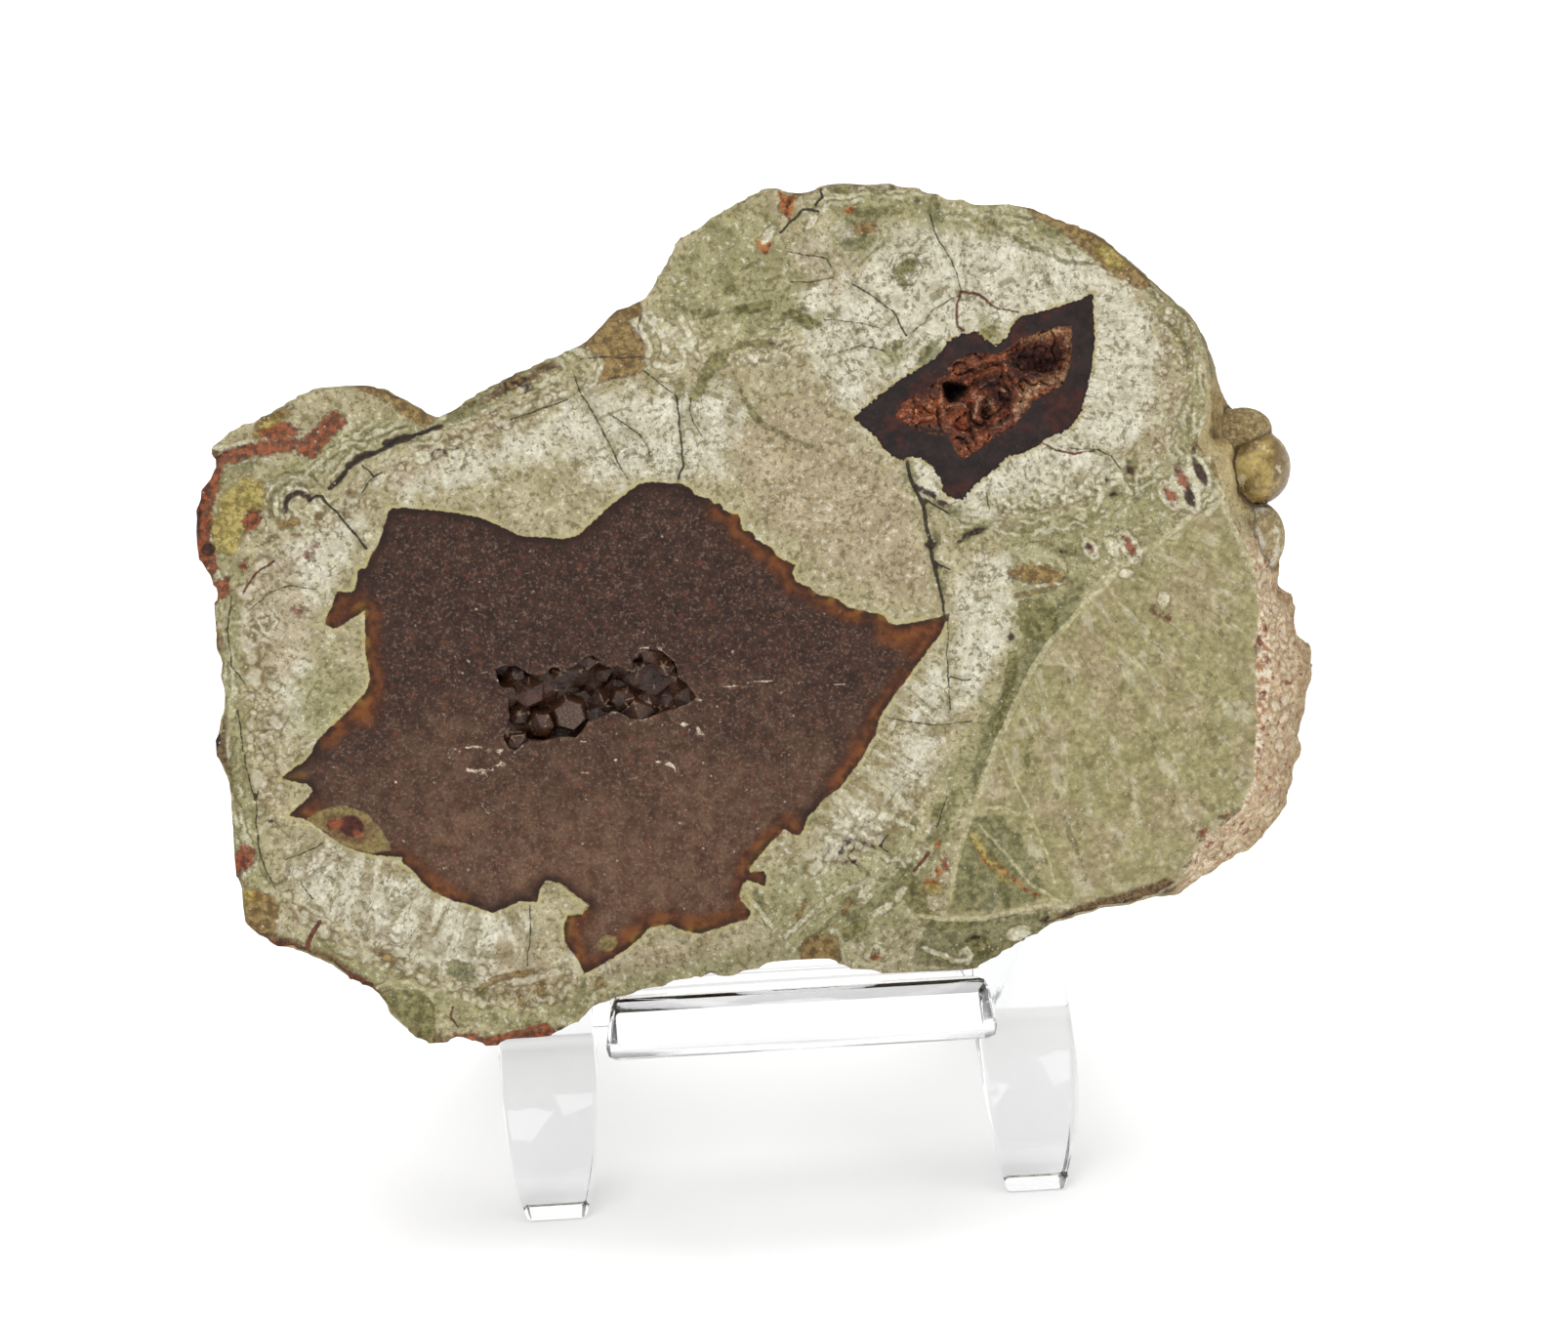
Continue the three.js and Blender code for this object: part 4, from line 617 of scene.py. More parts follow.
        stroke(3.4, (33, 50), (32.4, 46), (30.6, 42)), stroke(1.4, (16.4, 37.4), (21, 37), (26, 38.4), (29, 40)),
        stroke(2, (3, 9.6), (6, 10.6), (9, 13), (11, 16)), stroke(1.4, (-6, 50), (0, 50), (2.6, 48.4)),
        stroke(2, (16, 29), (16.6, 33), (18.6, 36)), stroke(1.6, (-35, 12.6), (-38, 11), (-40, 9)),
    ],
    "streaks": [
        area((-41, 14), (-36, 14), (-30, 11), (-24, 8), (-20, 7), (-20, 0), (-26, 0), (-33, 3), (-40, 7)),
        area((0, 12.6), (10, 25), (13, 24), (12.6, 17), (8, 10), (4, 9)),
        area((4, 57), (9, 59), (18, 58), (26, 56), (30, 51), (30.4, 44), (26, 39.6), (16, 36.4), (9, 42), (4, 46)),
        area(*FIELD), area((-16.5, 48), (-3, 48), (-2, 42), (-5, 40), (-17, 40)),
    ],
    "hairlines": [
        area((-16, 48.4), (-7.6, 47.6), (-3, 47), (-4, 40), (-16, 40)), spot(8, 50, 5, 5),
        spot(14, 55, 7, 4), spot(-36, 10, 4, 3), spot(13, 21, 2.4, 4), spot(8, 40, 5, 5), spot(4, 58, 4, 3),
    ],
    "amber": [
        stroke(3, (-33, 23.4), (-33.2, 28), (-33.2, 31)), spot(-26, 20, 2.6, 4),
        stroke(3.4, (-13.6, 3), (-11, 4.6), (-7.6, 4), (-3.4, 4.8)),
        stroke(2.6, (-2.6, 36.4), (0, 34), (2, 32), (6, 29.6)),
        stroke(2.2, (-4, 38), (-3, 36.8)), stroke(3, (9, 27.6), (11.4, 26.6), (13.4, 28.4)),
        stroke(2, (9.8, 23.6), (7.4, 20), (4.4, 15.6)), stroke(2.4, (0, 12), (-3, 9.6), (-3.6, 7)),
        stroke(3, (-17.6, 6), (-18.4, 3.6), (-16.9, 1.4)),
        stroke(2.2, (-36, 22), (-33, 25)), stroke(2, (-31, 11), (-27, 8)), stroke(2.4, (-34, 12.4), (-38, 15.2)),
        stroke(2, (-35.6, 31), (-34, 32)),
    ],
    "ochre_rim": [
        spot(3.6, 31, 1.6, 0.6, -35), stroke(1, (4.6, 30.6), (8.4, 28.9), (12.8, 28.7)),
        spot(-39.4, 18.4, 1.2, 0.6, 0),
        stroke(0.7, (-12.6, 4), (-10.6, 4.8)), stroke(0.7, (-9, 4.3), (-6.6, 4.2), (-4, 4.8)),
        stroke(0.6, (-31.8, 37), (-32.7, 34.9)), stroke(0.9, (-33, 31.4), (-33.1, 27), (-33.4, 24.4)),
        stroke(0.6, (-17.8, 6.3), (-18.3, 4.3)), stroke(0.7, (-3.2, 9.2), (-1.6, 11.2)),
    ],
    "tongue": [
        area((-20.4, 6.9), (-20.1, 8.2), (-19.5, 9.1), (-18.3, 8.7), (-17.1, 7.6), (-16.2, 6.9), (-16.8, 6.2),
             (-18, 6.2), (-18.6, 5)),
        area((-4.2, 6.8), (-3.9, 8), (-2.7, 7.8), (-2, 7), (-3.2, 5.4)),
    ],
    "eye": [
        spot(-14.9, 3.75, 0.85, 0.65, 15),
        area((-38.4, 14.9), (-37, 15.7), (-35.2, 16), (-33.4, 15.2), (-32.2, 13.6), (-31.6, 12.2), (-33.4, 12),
             (-35.4, 12.8), (-37, 14.1)),
    ],
    "eye_inner": [spot(-34.9, 14.1, 2.0, 1.1, -16)],
    "pupil": [spot(-34.7, 14.3, 1.0, 0.85, -20), spot(-36, 14.5, 0.6, 0.4)],
    "pupil_glow": [spot(-35.9, 14.5, 0.55, 0.42), spot(-34.2, 13.6, 0.5, 0.25, -40)],
    "chips": [
        stroke(0.28, (-25.4, 18.3), (-24.2, 17.95), (-23, 18.4), (-22.3, 18.6)),
        stroke(0.2, (-24.3, 18.3), (-23.7, 17.7)), stroke(0.26, (-10.3, 18.1), (-9.3, 17.9), (-8.7, 17.2)),
        stroke(0.16, (-26.6, 18.8), (-25.8, 19.9), (-24.6, 20.1), (-23.1, 19.6), (-22.2, 19.8)),
        stroke(0.16, (-24, 26.1), (-23.3, 25.9), (-22.6, 25.3)), stroke(0.14, (-25, 27), (-24.4, 26.6)),
        stroke(0.14, (-22.9, 19.7), (-22.7, 19), (-22.4, 18.5)),
        stroke(0.13, (-27, 19.1), (-26.7, 19.7), (-26.3, 20.1)),
        stroke(0.14, (-12.1, 26.2), (-11.2, 27.2), (-10.4, 27.3)),
        stroke(0.16, (-9.9, 27.3), (-9.2, 26.8), (-8.6, 26.2)),
        stroke(0.17, (-9.4, 22.4), (-8.2, 22.6), (-7.2, 23.1), (-6.2, 22.7)),
        stroke(0.14, (-14, 22.3), (-13.2, 22.1)), stroke(0.14, (-12.6, 21), (-11.8, 21.5), (-10.6, 21.6)),
        stroke(0.1, (-18, 20.3), (-16.6, 20.2), (-15, 19.7)),
        stroke(0.12, (-21.6, 19.4), (-20.8, 20)), stroke(0.16, (-7.2, 21), (-6.5, 20.1)),
        stroke(0.12, (-15.2, 26.9), (-14.9, 26.2)),
        stroke(0.1, (-6, 23.6), (-4, 23.8), (-2, 24.1), (0, 24), (2.4, 23.7), (5, 23.5)),
        stroke(0.1, (-16.6, 17.6), (-15.8, 17.5)),
        stroke(0.1, (-22.8, 15.6), (-22, 15.4)), stroke(0.1, *arc(-23.7, 15.3, 0.6, 150, 390)),
        spot(-13.6, 18.4, 0.22, 0.1, 30),
        spot(-35, 17.7, 0.12), spot(-31.4, 17.8, 0.14), spot(-21.5, 32, 0.14), spot(-24, 31, 0.14),
        stroke(0.12, (-32, 17.6), (-31.3, 17.9), (-30.9, 17.4)), spot(-5.6, 28, 0.14), spot(-8, 21, 0.3, 0.2),
        spot(-26, 30.8, 0.12),
        spot(-7, 20.2, 0.22, 0.12), spot(-2.6, 24.9, 0.16), spot(-30, 27.6, 0.16), spot(-12, 10.6, 0.12),
    ],
}

# Broad tones of the pale stone, with their strength.
BROAD_TONES = [
    ("pale", (198, 190, 162), (240, 235, 214), 0.92),
    ("pinkish", (158, 139, 106), (202, 186, 154), 0.82),
    ("olive", (137, 132, 88), (185, 178, 132), 0.86),
]

# Each patch of the pale stone: its two tones, edge softness and breakage, break scale and strength.
FACE_TONES = [
    ("green", (86, 88, 50), (146, 140, 96), 0.16, 0.6, 1.8, 0.8),
    ("moss", (84, 80, 36), (146, 138, 88), 0.07, 0.24, 2.4, 0.84),
    ("vein", (178, 169, 122), (216, 208, 170), 0.07, 0.16, 2.2, 0.68),
    ("cream", (190, 181, 142), (236, 230, 206), 0.09, 0.2, 2.4, 0.85),
    ("groove", (86, 78, 46), (122, 108, 70), 0.07, 0.16, 2.4, 0.8),
    ("tan", (104, 80, 42), (164, 136, 84), 0.08, 0.2, 2.2, 0.94),
    ("crust_face", (172, 124, 84), (240, 226, 200), 0.15, 0.5, 1.4, 0.95),
    ("rust", (112, 56, 22), (186, 116, 58), 0.08, 0.3, 2.4, 0.92),
    ("ochre", (128, 112, 50), (196, 176, 102), 0.2, 0.3, 2.0, 0.9),
    ("red", (86, 36, 18), (158, 80, 44), 0.1, 0.55, 2.4, 0.9),
    ("dark", (28, 14, 9), (66, 34, 22), 0.1, 0.16, 2.6, 0.95),
    ("rust_crack", (70, 34, 18), (112, 60, 36), 0.06, 0.16, 3.4, 0.95),
    ("crack", (26, 20, 12), (54, 42, 26), 0.05, 0.12, 3.4, 0.95),
]

# Dark edge round some of those patches.
EDGE_TONES = {"cream": (112, 98, 60), "tan": (70, 52, 26), "red": (78, 34, 20), "ochre": (112, 88, 36),
              "moss": (76, 70, 34)}

# The same for the patches that reach down the sides.
RIND_TONES = [
    ("olive", (124, 118, 76), (168, 160, 112), 0.3, 0.4, 1.6, 0.85),
    ("green", (90, 90, 54), (126, 122, 76), 0.3, 0.4, 1.6, 0.85),
    ("tan", (88, 66, 36), (148, 120, 74), 0.3, 0.4, 1.6, 0.9),
    ("ochre", (124, 108, 40), (170, 148, 72), 0.3, 0.4, 1.6, 0.85),
    ("red", (100, 44, 22), (156, 84, 50), 0.3, 0.4, 1.6, 0.85),
    ("dark", (34, 20, 14), (62, 38, 26), 0.3, 0.4, 1.6, 0.9),
]

# The same for the patches of the big agate.
AGATE_TONES = [
    ("tongue", (140, 126, 80), (192, 180, 132), 0.08, 0.2, 2.4, 0.95),
    ("eye", (112, 94, 54), (156, 138, 88), 0.1, 0.12, 1.6, 0.85),
    ("eye_inner", (84, 56, 34), (128, 98, 64), 0.2, 0.16, 1.6, 0.85),
    ("pupil", (46, 16, 12), (82, 34, 26), 0.12, 0.16, 2.0, 0.95),
    ("pupil_glow", (146, 70, 44), (172, 98, 62), 0.14, 0.2, 2.4, 0.75),
    ("chips", (132, 104, 80), (244, 232, 208), 0.05, 0.14, 3.2, 0.85),
]

# Lines that the colour bands follow, with the width of the banded strip.
BAND_LINES = [
    (3.3, [(-34.8, 41.4), (-32.6, 43.3), (-30.2, 44.4), (-27.5, 45.4), (-24, 46.4), (-20, 48), (-16.4, 49.6)]),
    (3.4, [(-36.9, 39.9), (-36.7, 39.9)]),
    (2.6, [(4, 63), (7, 63.6), (12.4, 62.8), (17.8, 61.2), (21.9, 60.5), (26.6, 58.2), (30.1, 54.9),
           (33.4, 51.7), (35, 47.8), (34.8, 44.9), (33.4, 40.9)]),
    (2.2, [(-45.9, 37), (-44.8, 32), (-44.5, 26), (-45.2, 21), (-44.3, 15), (-43.9, 9)]),
    (1.7, [(11.1, 56.2), (11.3, 56.2)]), (1.5, [(-20.1, 47.9), (-19.9, 47.9)]), (1.5, [(-25.1, 43), (-24.9, 43)]),
    (2, [(-0.5, 50.4), (2.4, 51.6)]), (1.1, [(14, 36.4), (20, 35.2), (26, 36.2), (31, 39.4)]),
    (2, [(31.6, 35.2), (34.6, 37.2)]), (1.6, [(-41.4, 38.8), (-41, 38.8)]), (1.4, [(6.2, 1.6), (6.6, 1.6)]),
    (1.8, [(-40.6, 31), (-40.4, 30.6)]), (1.6, [(-40.6, 21.4), (-40.4, 21.2)]),
]

# Rows of small ring marks: radius, spacing and the line that they follow.
BEAD_ROWS = [
    (0.36, 0.92, [(-37.5, 37.2), (-35.5, 38.6), (-33.4, 40.2), (-31, 41.8), (-28.6, 43), (-26, 44), (-23.4, 44.9),
                  (-21, 45.8), (-18.6, 46.9), (-16.6, 47.8)]),
    (0.5, 1.3, [(-40.6, 35), (-41.9, 33), (-42.2, 30), (-41.8, 27), (-42, 24), (-42, 21), (-41.6, 18),
                (-41.4, 15)]),
    (0.34, 1, [(-40.6, 27), (-40.2, 24), (-40.4, 21), (-40, 18)]),
    (0.42, 1.1, [(-41, 9.6), (-39, 7), (-36, 5), (-33.4, 3.6), (-31, 2.6), (-28.6, 1.4), (-27, 0.8)]),
    (0.34, 0.9, [(-26.6, 0.2), (-24, -0.4), (-22, -0.8), (-19.6, -0.6), (-17.4, 0.4)]),
    (0.32, 1, [(-25, 1.8), (-22.6, 1), (-20, 1), (-18, 1.8)]),
    (0.5, 1.05, [(1.6, 9.2), (3.6, 9.9), (5.4, 10.6), (7.2, 11.3), (8.6, 12.4), (9.4, 13.9)]),
    (0.26, 0.8, [(31.8, 52.6), (32.8, 50.6), (33.2, 48.6), (33.1, 46), (32.3, 43.4), (31, 41)]),
    (0.24, 0.66, [(18, 37), (20.4, 36.7), (22.6, 36.9), (24.6, 37.4), (26.4, 38.2), (28.6, 39.6)]),
    (0.2, 0.7, [(30.6, 52.2), (31.6, 50.2), (31.9, 48), (31.7, 46)]),
    (0.24, 0.8, [(-15, 47.8), (-14.6, 49), (-14, 50)]), (0.2, 0.6, [(-8.4, 49.2), (-7.8, 51), (-7.4, 53)]),
    (0.22, 0.7, [(13, 21.5), (13.6, 24), (14, 27), (14.2, 29.4)]),
]

# Places that the fine streaks fan out from, with the patch they fill.
FANS = [
    ((16, 42), FIELD),
    ((4, 47), [(-10, 53), (-5, 61), (0.6, 64), (3.6, 60), (3, 54), (-3, 52)]),
]

# Centre and half sizes of the yellow nodule and of the lumps below and above it.
NODULE = ((39.35, 38.9, -3.6), (2.7, 3, 2.6))
LOWER_LUMP = ((39.3, 33.3, -3.2), (2.05, 2.8, 2))
UPPER_LUMP = ((38.2, 42, -3.4), (2.4, 1.8, 2.1))
LUMPS = (UPPER_LUMP, LOWER_LUMP, NODULE)

# The gap round each lump: how deep and how wide it is, in millimetres.
LUMP_GAPS = ((NODULE, 1.1, 1.4), (LOWER_LUMP, 0.6, 0.8), (UPPER_LUMP, 0.4, 0.8))

# The flat-topped crystal that the cut went through, then its smaller neighbours: place, top, slope, turn,
# lean and half width of each.
LARGE_CRYSTALS = [
    (-17, 22.2, 1.2, 1.2, 0.2, (0.1, -0.1), 1.0),
    (-12.7, 23.1, -0.3, 0.8, 0.6, (-0.3, 0.2), 0.8),
    (-10.3, 25.4, -1.5, 0.3, 0.1, (0.1, -0.3), 1.9),
    (-19.3, 21.4, -0.3, 0.7, 0.4, (0.3, 0.2), 0.9),
    (-20.2, 24.3, -0.5, 0.6, 0.9, (-0.2, -0.3), 1.2),
]

# The deep pit of the lens lining.
PIT = [(13.8, 47), (14.5, 47.2), (15.4, 46.9), (15.9, 46.5), (15.6, 46), (15.1, 45.9), (14.9, 45.4), (14.4, 45.4),
       (14.1, 45.9), (14, 46.4)]

# Patches of colour on the lining, each list under the name of its attribute.
LINING_PATCHES = {
    # Pale lines and spots: partly the lining's own colour, partly painted highlights on the crests of its bowl, lump
    # and pit rim.
    "pale_lines_and_highlights": [
        stroke(0.14, *arc(*BOWL, 1.95, -45, 45)), stroke(0.1, *arc(*BOWL, 1.9, 90, 165)),
        stroke(0.16, (13.7, 46.9), (13.6, 45.8), (13.9, 44.4)), stroke(0.12, *arc(*LINING_LUMP, 1.05, 30, 165)),
        stroke(0.12, (16.2, 46.2), (16.5, 45.2), (16.2, 44.2)), stroke(0.1, (16.8, 48), (18, 48.1)),
        stroke(0.1, *arc(11.3, 44.5, 0.55, -75, 120)), stroke(0.1, *arc(12.4, 45.1, 0.4, 0, 180)),
        stroke(0.14, (22.6, 50.8), (23.8, 50.7), (23.9, 49.6)),
        stroke(0.14, (20, 45.2), (20.8, 46.1), (22.6, 46.7)),
        spot(19.6, 44.6, 0.22, 0.16), spot(21.2, 45.9, 0.2, 0.14), spot(23, 46.3, 0.26, 0.16),
        spot(15, 45.3, 0.3, 0.16), spot(16.8, 45.7, 0.3, 0.24), spot(18.6, 46.3, 0.3, 0.16, -30),
        spot(12.6, 44.4, 0.16),
    ],
    "plum_zone": [
        area((19.2, 49), (20.6, 49.6), (23.4, 50), (23.6, 48.4), (22.6, 47.2), (20.6, 46.8), (19.2, 47.2)),
        spot(18.4, 45.6, 1.2, 0.8), spot(17.4, 46.9, 1.1, 0.5),
    ],
    "tan_zone": [
        stroke(0.9, (19.9, 44.8), (20.6, 46.2), (22.2, 46.9), (23.4, 47.2)), stroke(0.7, (23.9, 48), (24, 50.8)),
        stroke(0.7, (20.4, 50.2), (23.8, 50.9)), spot(17.6, 44.9, 0.24, 0.5),
    ],
    "orange_zone": [
        spot(11.3, 44.6, 1.3, 0.8, 10), spot(15.1, 44.1, 0.9, 1, 0), spot(12.8, 45, 1.2, 0.9, 30),
        stroke(0.6, (13, 44.6), (13.8, 46.4), (15, 48)), stroke(0.5, (16, 48.4), (18.6, 48.4)),
    ],
    # Black: painted shade in the deep pit, round the hole and in the gaps along the lower rim, with a few dark spots
    # of the lining's own.
    "black_zone": [
        area(*PIT), spot(20.7, 48.8, 0.5, 0.22, 10), spot(22.5, 48.3, 0.6, 0.28, 12), spot(23.1, 47.8, 0.26, 0.2),
        spot(18.5, 47.2, 0.26), stroke(0.3, (15.8, 47.8), (17.2, 48.4), (18.8, 48.5), (19.7, 48.2)),
        stroke(0.24, (17.3, 45.7), (17, 44.8), (17.4, 44.1)), stroke(0.2, (13.4, 45), (13.3, 43.6)),
        stroke(0.26, (16, 43.5), (17.8, 43.5), (19.2, 44.1)), stroke(0.2, (19.7, 49.2), (19, 47.6), (19.6, 46.4)),
        stroke(0.2, (16, 44.6), (15.8, 43.4)), spot(14.2, 47.9, 0.3, 0.2, 40),
        stroke(0.3, (10.4, 43.9), (12.6, 43.4), (14, 43)),
    ],
}

# Their tones and edge softness.
LINING_TONES = [
    ("plum_zone", (70, 34, 28), (118, 68, 58), 0.3),
    ("tan_zone", (170, 108, 62), (226, 174, 122), 0.3),
    ("orange_zone", (172, 80, 40), (228, 134, 80), 0.5),
    # Black: painted shade in the lining's pit, hole and gaps.
    ("black_zone", (16, 9, 8), (32, 16, 10), 0.12),
]


def ramp(value, start, width):
    """How far a value is on its way from a start over a width, 0 to 1."""
    return min(max((value - start) / width, 0), 1)


def roughened(line, amount, scale, seed):
    """The same line with a small wander, for broken edges."""
    moved = []
    for u, v in line:
        wander = noise.noise_vector(Vector((u * scale, v * scale, seed)))
        moved.append((u + amount * wander.x, v + amount * wander.y))
    return np.array(moved)


def wound(outline):
    """The outline in anticlockwise order."""
    points = np.asarray(outline, float)
    following = np.roll(points, -1, 0)
    doubled = np.sum(points[:, 0] * following[:, 1] - following[:, 0] * points[:, 1])
    return points if doubled > 0 else points[::-1]


def pulled_in(outline, margin):
    """An outline moved inwards, each corner along the line between its neighbours' normals."""
    points = wound(outline)
    before = points - np.roll(points, 1, 0)
    after = np.roll(points, -1, 0) - points
    before /= np.linalg.norm(before, axis=1)[:, None]
    after /= np.linalg.norm(after, axis=1)[:, None]
    normal = np.stack([-(before + after)[:, 1], (before + after)[:, 0]], 1)
    normal /= np.maximum(np.linalg.norm(normal, axis=1), 1e-6)[:, None]
    stretch = np.maximum(0.5, np.abs(normal[:, 0] * -after[:, 1] + normal[:, 1] * after[:, 0]))
    return points + normal * (margin / stretch)[:, None]


def in_metres(points):
    """Turns places on the face, U V N in millimetres, into the frame's metres."""
    u, v, n = points[:, 0], points[:, 1], points[:, 2]
    x = FACE_FOOT[0] + u
    y = FACE_FOOT[1] + v * math.sin(LEAN) - n * math.cos(LEAN)
    z = FACE_FOOT[2] + v * math.cos(LEAN) + n * math.sin(LEAN)
    return np.stack([x, y, z], 1) * MM


def on_face(points):
    """Turns the frame's metres into places on the face."""
    x, y, z = (np.asarray(points, float) / MM - np.array(FACE_FOOT)).T
    v = y * math.sin(LEAN) + z * math.cos(LEAN)
    n = -y * math.cos(LEAN) + z * math.sin(LEAN)
    return np.stack([x, v, n], 1)


def triangles_between(points, edges):
    """Delaunay triangles over points and fixed edges, with each corner's source points."""
    found = delaunay_2d_cdt([Vector(p) for p in points], edges, [], 0, 1e-5, True)
    corners, _, faces, sources = found[0], found[1], found[2], found[3]
    return np.array([tuple(c) for c in corners]), np.array(faces), sources


def jittered_grid(outline, step, margin, seed):
    """Scattered places inside an outline, about one step apart."""
    rng = random.Random(seed)
    low, high = np.min(outline, 0), np.max(outline, 0)
    places = []
    row = 0
    v = low[1]
    while v < high[1]:
        u = low[0] + (row % 2) * step / 2
        while u < high[0]:
            places.append((u + rng.uniform(-JITTER, JITTER) * step, v + rng.uniform(-JITTER, JITTER) * step))
            u += step
        v += step * ROW_HEIGHT
        row += 1
    places = np.array(places)
    places = places[is_inside(places, outline)]
    return places[line_distance(places, outline, closed=True)[0] > margin]


def ring_edges(start, count):
    return [(start + i, start + (i + 1) % count) for i in range(count)]


def add_mesh(name, points, faces, materials, material_index=None, smooth=True):
    """An object from places in metres and faces, with its materials."""
    mesh = bpy.data.meshes.new(name)
    mesh.from_pydata([tuple(p) for p in points], [], [tuple(int(i) for i in f) for f in faces])
    mesh.validate()
    for material in materials:
        mesh.materials.append(material)
    if material_index is not None:
        mesh.polygons.foreach_set("material_index", np.asarray(material_index, np.int32))
    mesh.polygons.foreach_set("use_smooth", [smooth] * len(mesh.polygons))
    mesh.update()
    piece = bpy.data.objects.new(name, mesh)
    bpy.context.scene.collection.objects.link(piece)
    return piece


def keep_value(mesh, name, values):
    """Stores one number for each vertex under a name that materials read."""
    attribute = mesh.attributes.new(name, "FLOAT", "POINT")
    attribute.data.foreach_set("value", np.asarray(values, np.float32))


def keep_place(mesh, name, values):
    """Stores three numbers for each vertex under a name that materials read."""
    attribute = mesh.attributes.new(name, "FLOAT_VECTOR", "POINT")
    attribute.data.foreach_set("vector", np.asarray(values, np.float32).ravel())


def evaluated_arrays(piece):
    """Vertices and faces of an object with its modifiers applied."""
    graph = bpy.context.evaluated_depsgraph_get()
    final = piece.evaluated_get(graph)
    mesh = final.to_mesh()
    places = np.array([tuple(v.co) for v in mesh.vertices])
    faces = [tuple(p.vertices) for p in mesh.polygons]
    normals = np.array([tuple(v.normal) for v in mesh.vertices])
    final.to_mesh_clear()
    return places, faces, normals


def bubbly(place, size):
    """Height 0..1 of rounded beads of one size packed together."""
    distances, _ = noise.voronoi(place / size)
    return max(0.0, 1 - 1.25 * distances[0] ** 2)


def oval_depth(places, lump):
    """How far inside an egg-shaped lump places are, in millimetres."""
    centre, half = (np.array(part) for part in lump)
    return (1 - np.linalg.norm((places - centre) / half, axis=1)) * half.mean()


def swollen(places, lump):
    """Places inside a lump moved out to its surface, away from its root in the stone."""
    centre, half = (np.array(part) for part in lump)
    root = centre - np.array((LUMP_ROOT * half[0], 0, 0))
    inside = (np.linalg.norm((places - centre) / half, axis=1) < 1) & (places[:, 2] < LUMP_FRONT)
    away = (places[inside] - root) / half
    offset = (root - centre) / half
    squared = np.maximum((away ** 2).sum(1), 1e-6)
    along = away @ offset
    share = (np.sqrt(along ** 2 + squared * (1 - offset @ offset)) - along) / squared
    result = places.copy()
    result[inside] = root + away * half * share[:, None]
    return result


def round_lumps(shell, longest):
    """Cut the long edges on the lumps in half, twice, with the new corners out on the round."""
    for _ in range(2):
        places = np.array([vertex.co for vertex in shell.verts])
        near = np.max([oval_depth(places, lump) for lump in LUMPS], axis=0) > LUMP_MARGIN
        close = {vertex for vertex, is_near in zip(shell.verts, near) if is_near}
        stretched = [e for e in shell.edges if e.calc_length() > longest and close.issuperset(e.verts)]
        bmesh.ops.subdivide_edges(shell, edges=stretched, cuts=1, use_grid_fill=True)
        places = np.array([vertex.co for vertex in shell.verts])
        for lump in LUMPS:
            places = swollen(places, lump)
        for vertex, place in zip(shell.verts, places):
            vertex.co = place


def rind_dent(place):
    """How far the rind lies below its largest shape at a place, in millimetres."""
    u, v, n = place
    coarse = 0.5 + 0.5 * noise.fractal(place * 0.22, 1.0, 2.0, 3)
    fine = 0.5 + 0.5 * noise.fractal(place * 1.1, 1.0, 2.0, 3)
    bent = place + 0.9 * noise.noise_vector(place * 0.5)
    knobs = 0.26 * (1 - bubbly(bent, 2.3)) + 0.16 * (1 - bubbly(bent + Vector((4, 9, 1)), 1.0))
    dent = 0.3 * ramp(coarse, 0, 1) + 0.14 * ramp(fine, 0, 1) + knobs
    crust = ramp(u, 33, 3) * ramp(-v, -46, 2)
    dent *= 1 - 0.6 * crust
    if crust > 0:
        beads = 0.6 * bubbly(place, 1.7) + 0.4 * bubbly(place + Vector((3, 1, 7)), 0.95)
        dent += crust * 0.55 * (1 - beads)
    for lump, deepest, reach in LUMP_GAPS:
        dent += deepest * ramp(1 + oval_depth(np.array([place]), lump)[0] / reach, 0, 1)
    back = ramp(-n, 8.5, 2)
    if back > 0:
        dent += back * 0.34 * (1 - bubbly(place + Vector((11, 4, 2)), 2.6))
    return dent * ramp(-n, 0.1, 0.6)


def even_surface(node, voxel):
    """A CAD solid's surface in even cells, on the face frame: places, faces and normals."""
    places = on_face([tuple(v.co) for v in node.data.vertices])
    source = add_mesh("rind_source", places, [tuple(p.vertices) for p in node.data.polygons], [])
    welded = bmesh.new()
    welded.from_mesh(source.data)
    bmesh.ops.remove_doubles(welded, verts=welded.verts, dist=NEXT_TO)
    welded.to_mesh(source.data)
    welded.free()
    remesh = source.modifiers.new("even", "REMESH")
    remesh.mode = "VOXEL"
    remesh.voxel_size = voxel
    arrays = evaluated_arrays(source)
    bpy.data.objects.remove(source)
    return arrays


def drop_loose_parts(shell):
    """Keeps only the part of a shell that holds its rearmost corner."""
    rearmost = min(shell.verts, key=lambda vertex: vertex.co.z)
    kept = {rearmost}
    waiting = [rearmost]
    while waiting:
        for edge in waiting.pop().link_edges:
            for vertex in edge.verts:
                if vertex not in kept:
                    kept.add(vertex)
                    waiting.append(vertex)
    bmesh.ops.delete(shell, geom=[v for v in shell.verts if v not in kept], context="VERTS")
    bmesh.ops.delete(shell, geom=[e for e in shell.edges if not e.link_faces], context="EDGES")
    bmesh.ops.delete(shell, geom=[v for v in shell.verts if not v.link_faces], context="VERTS")


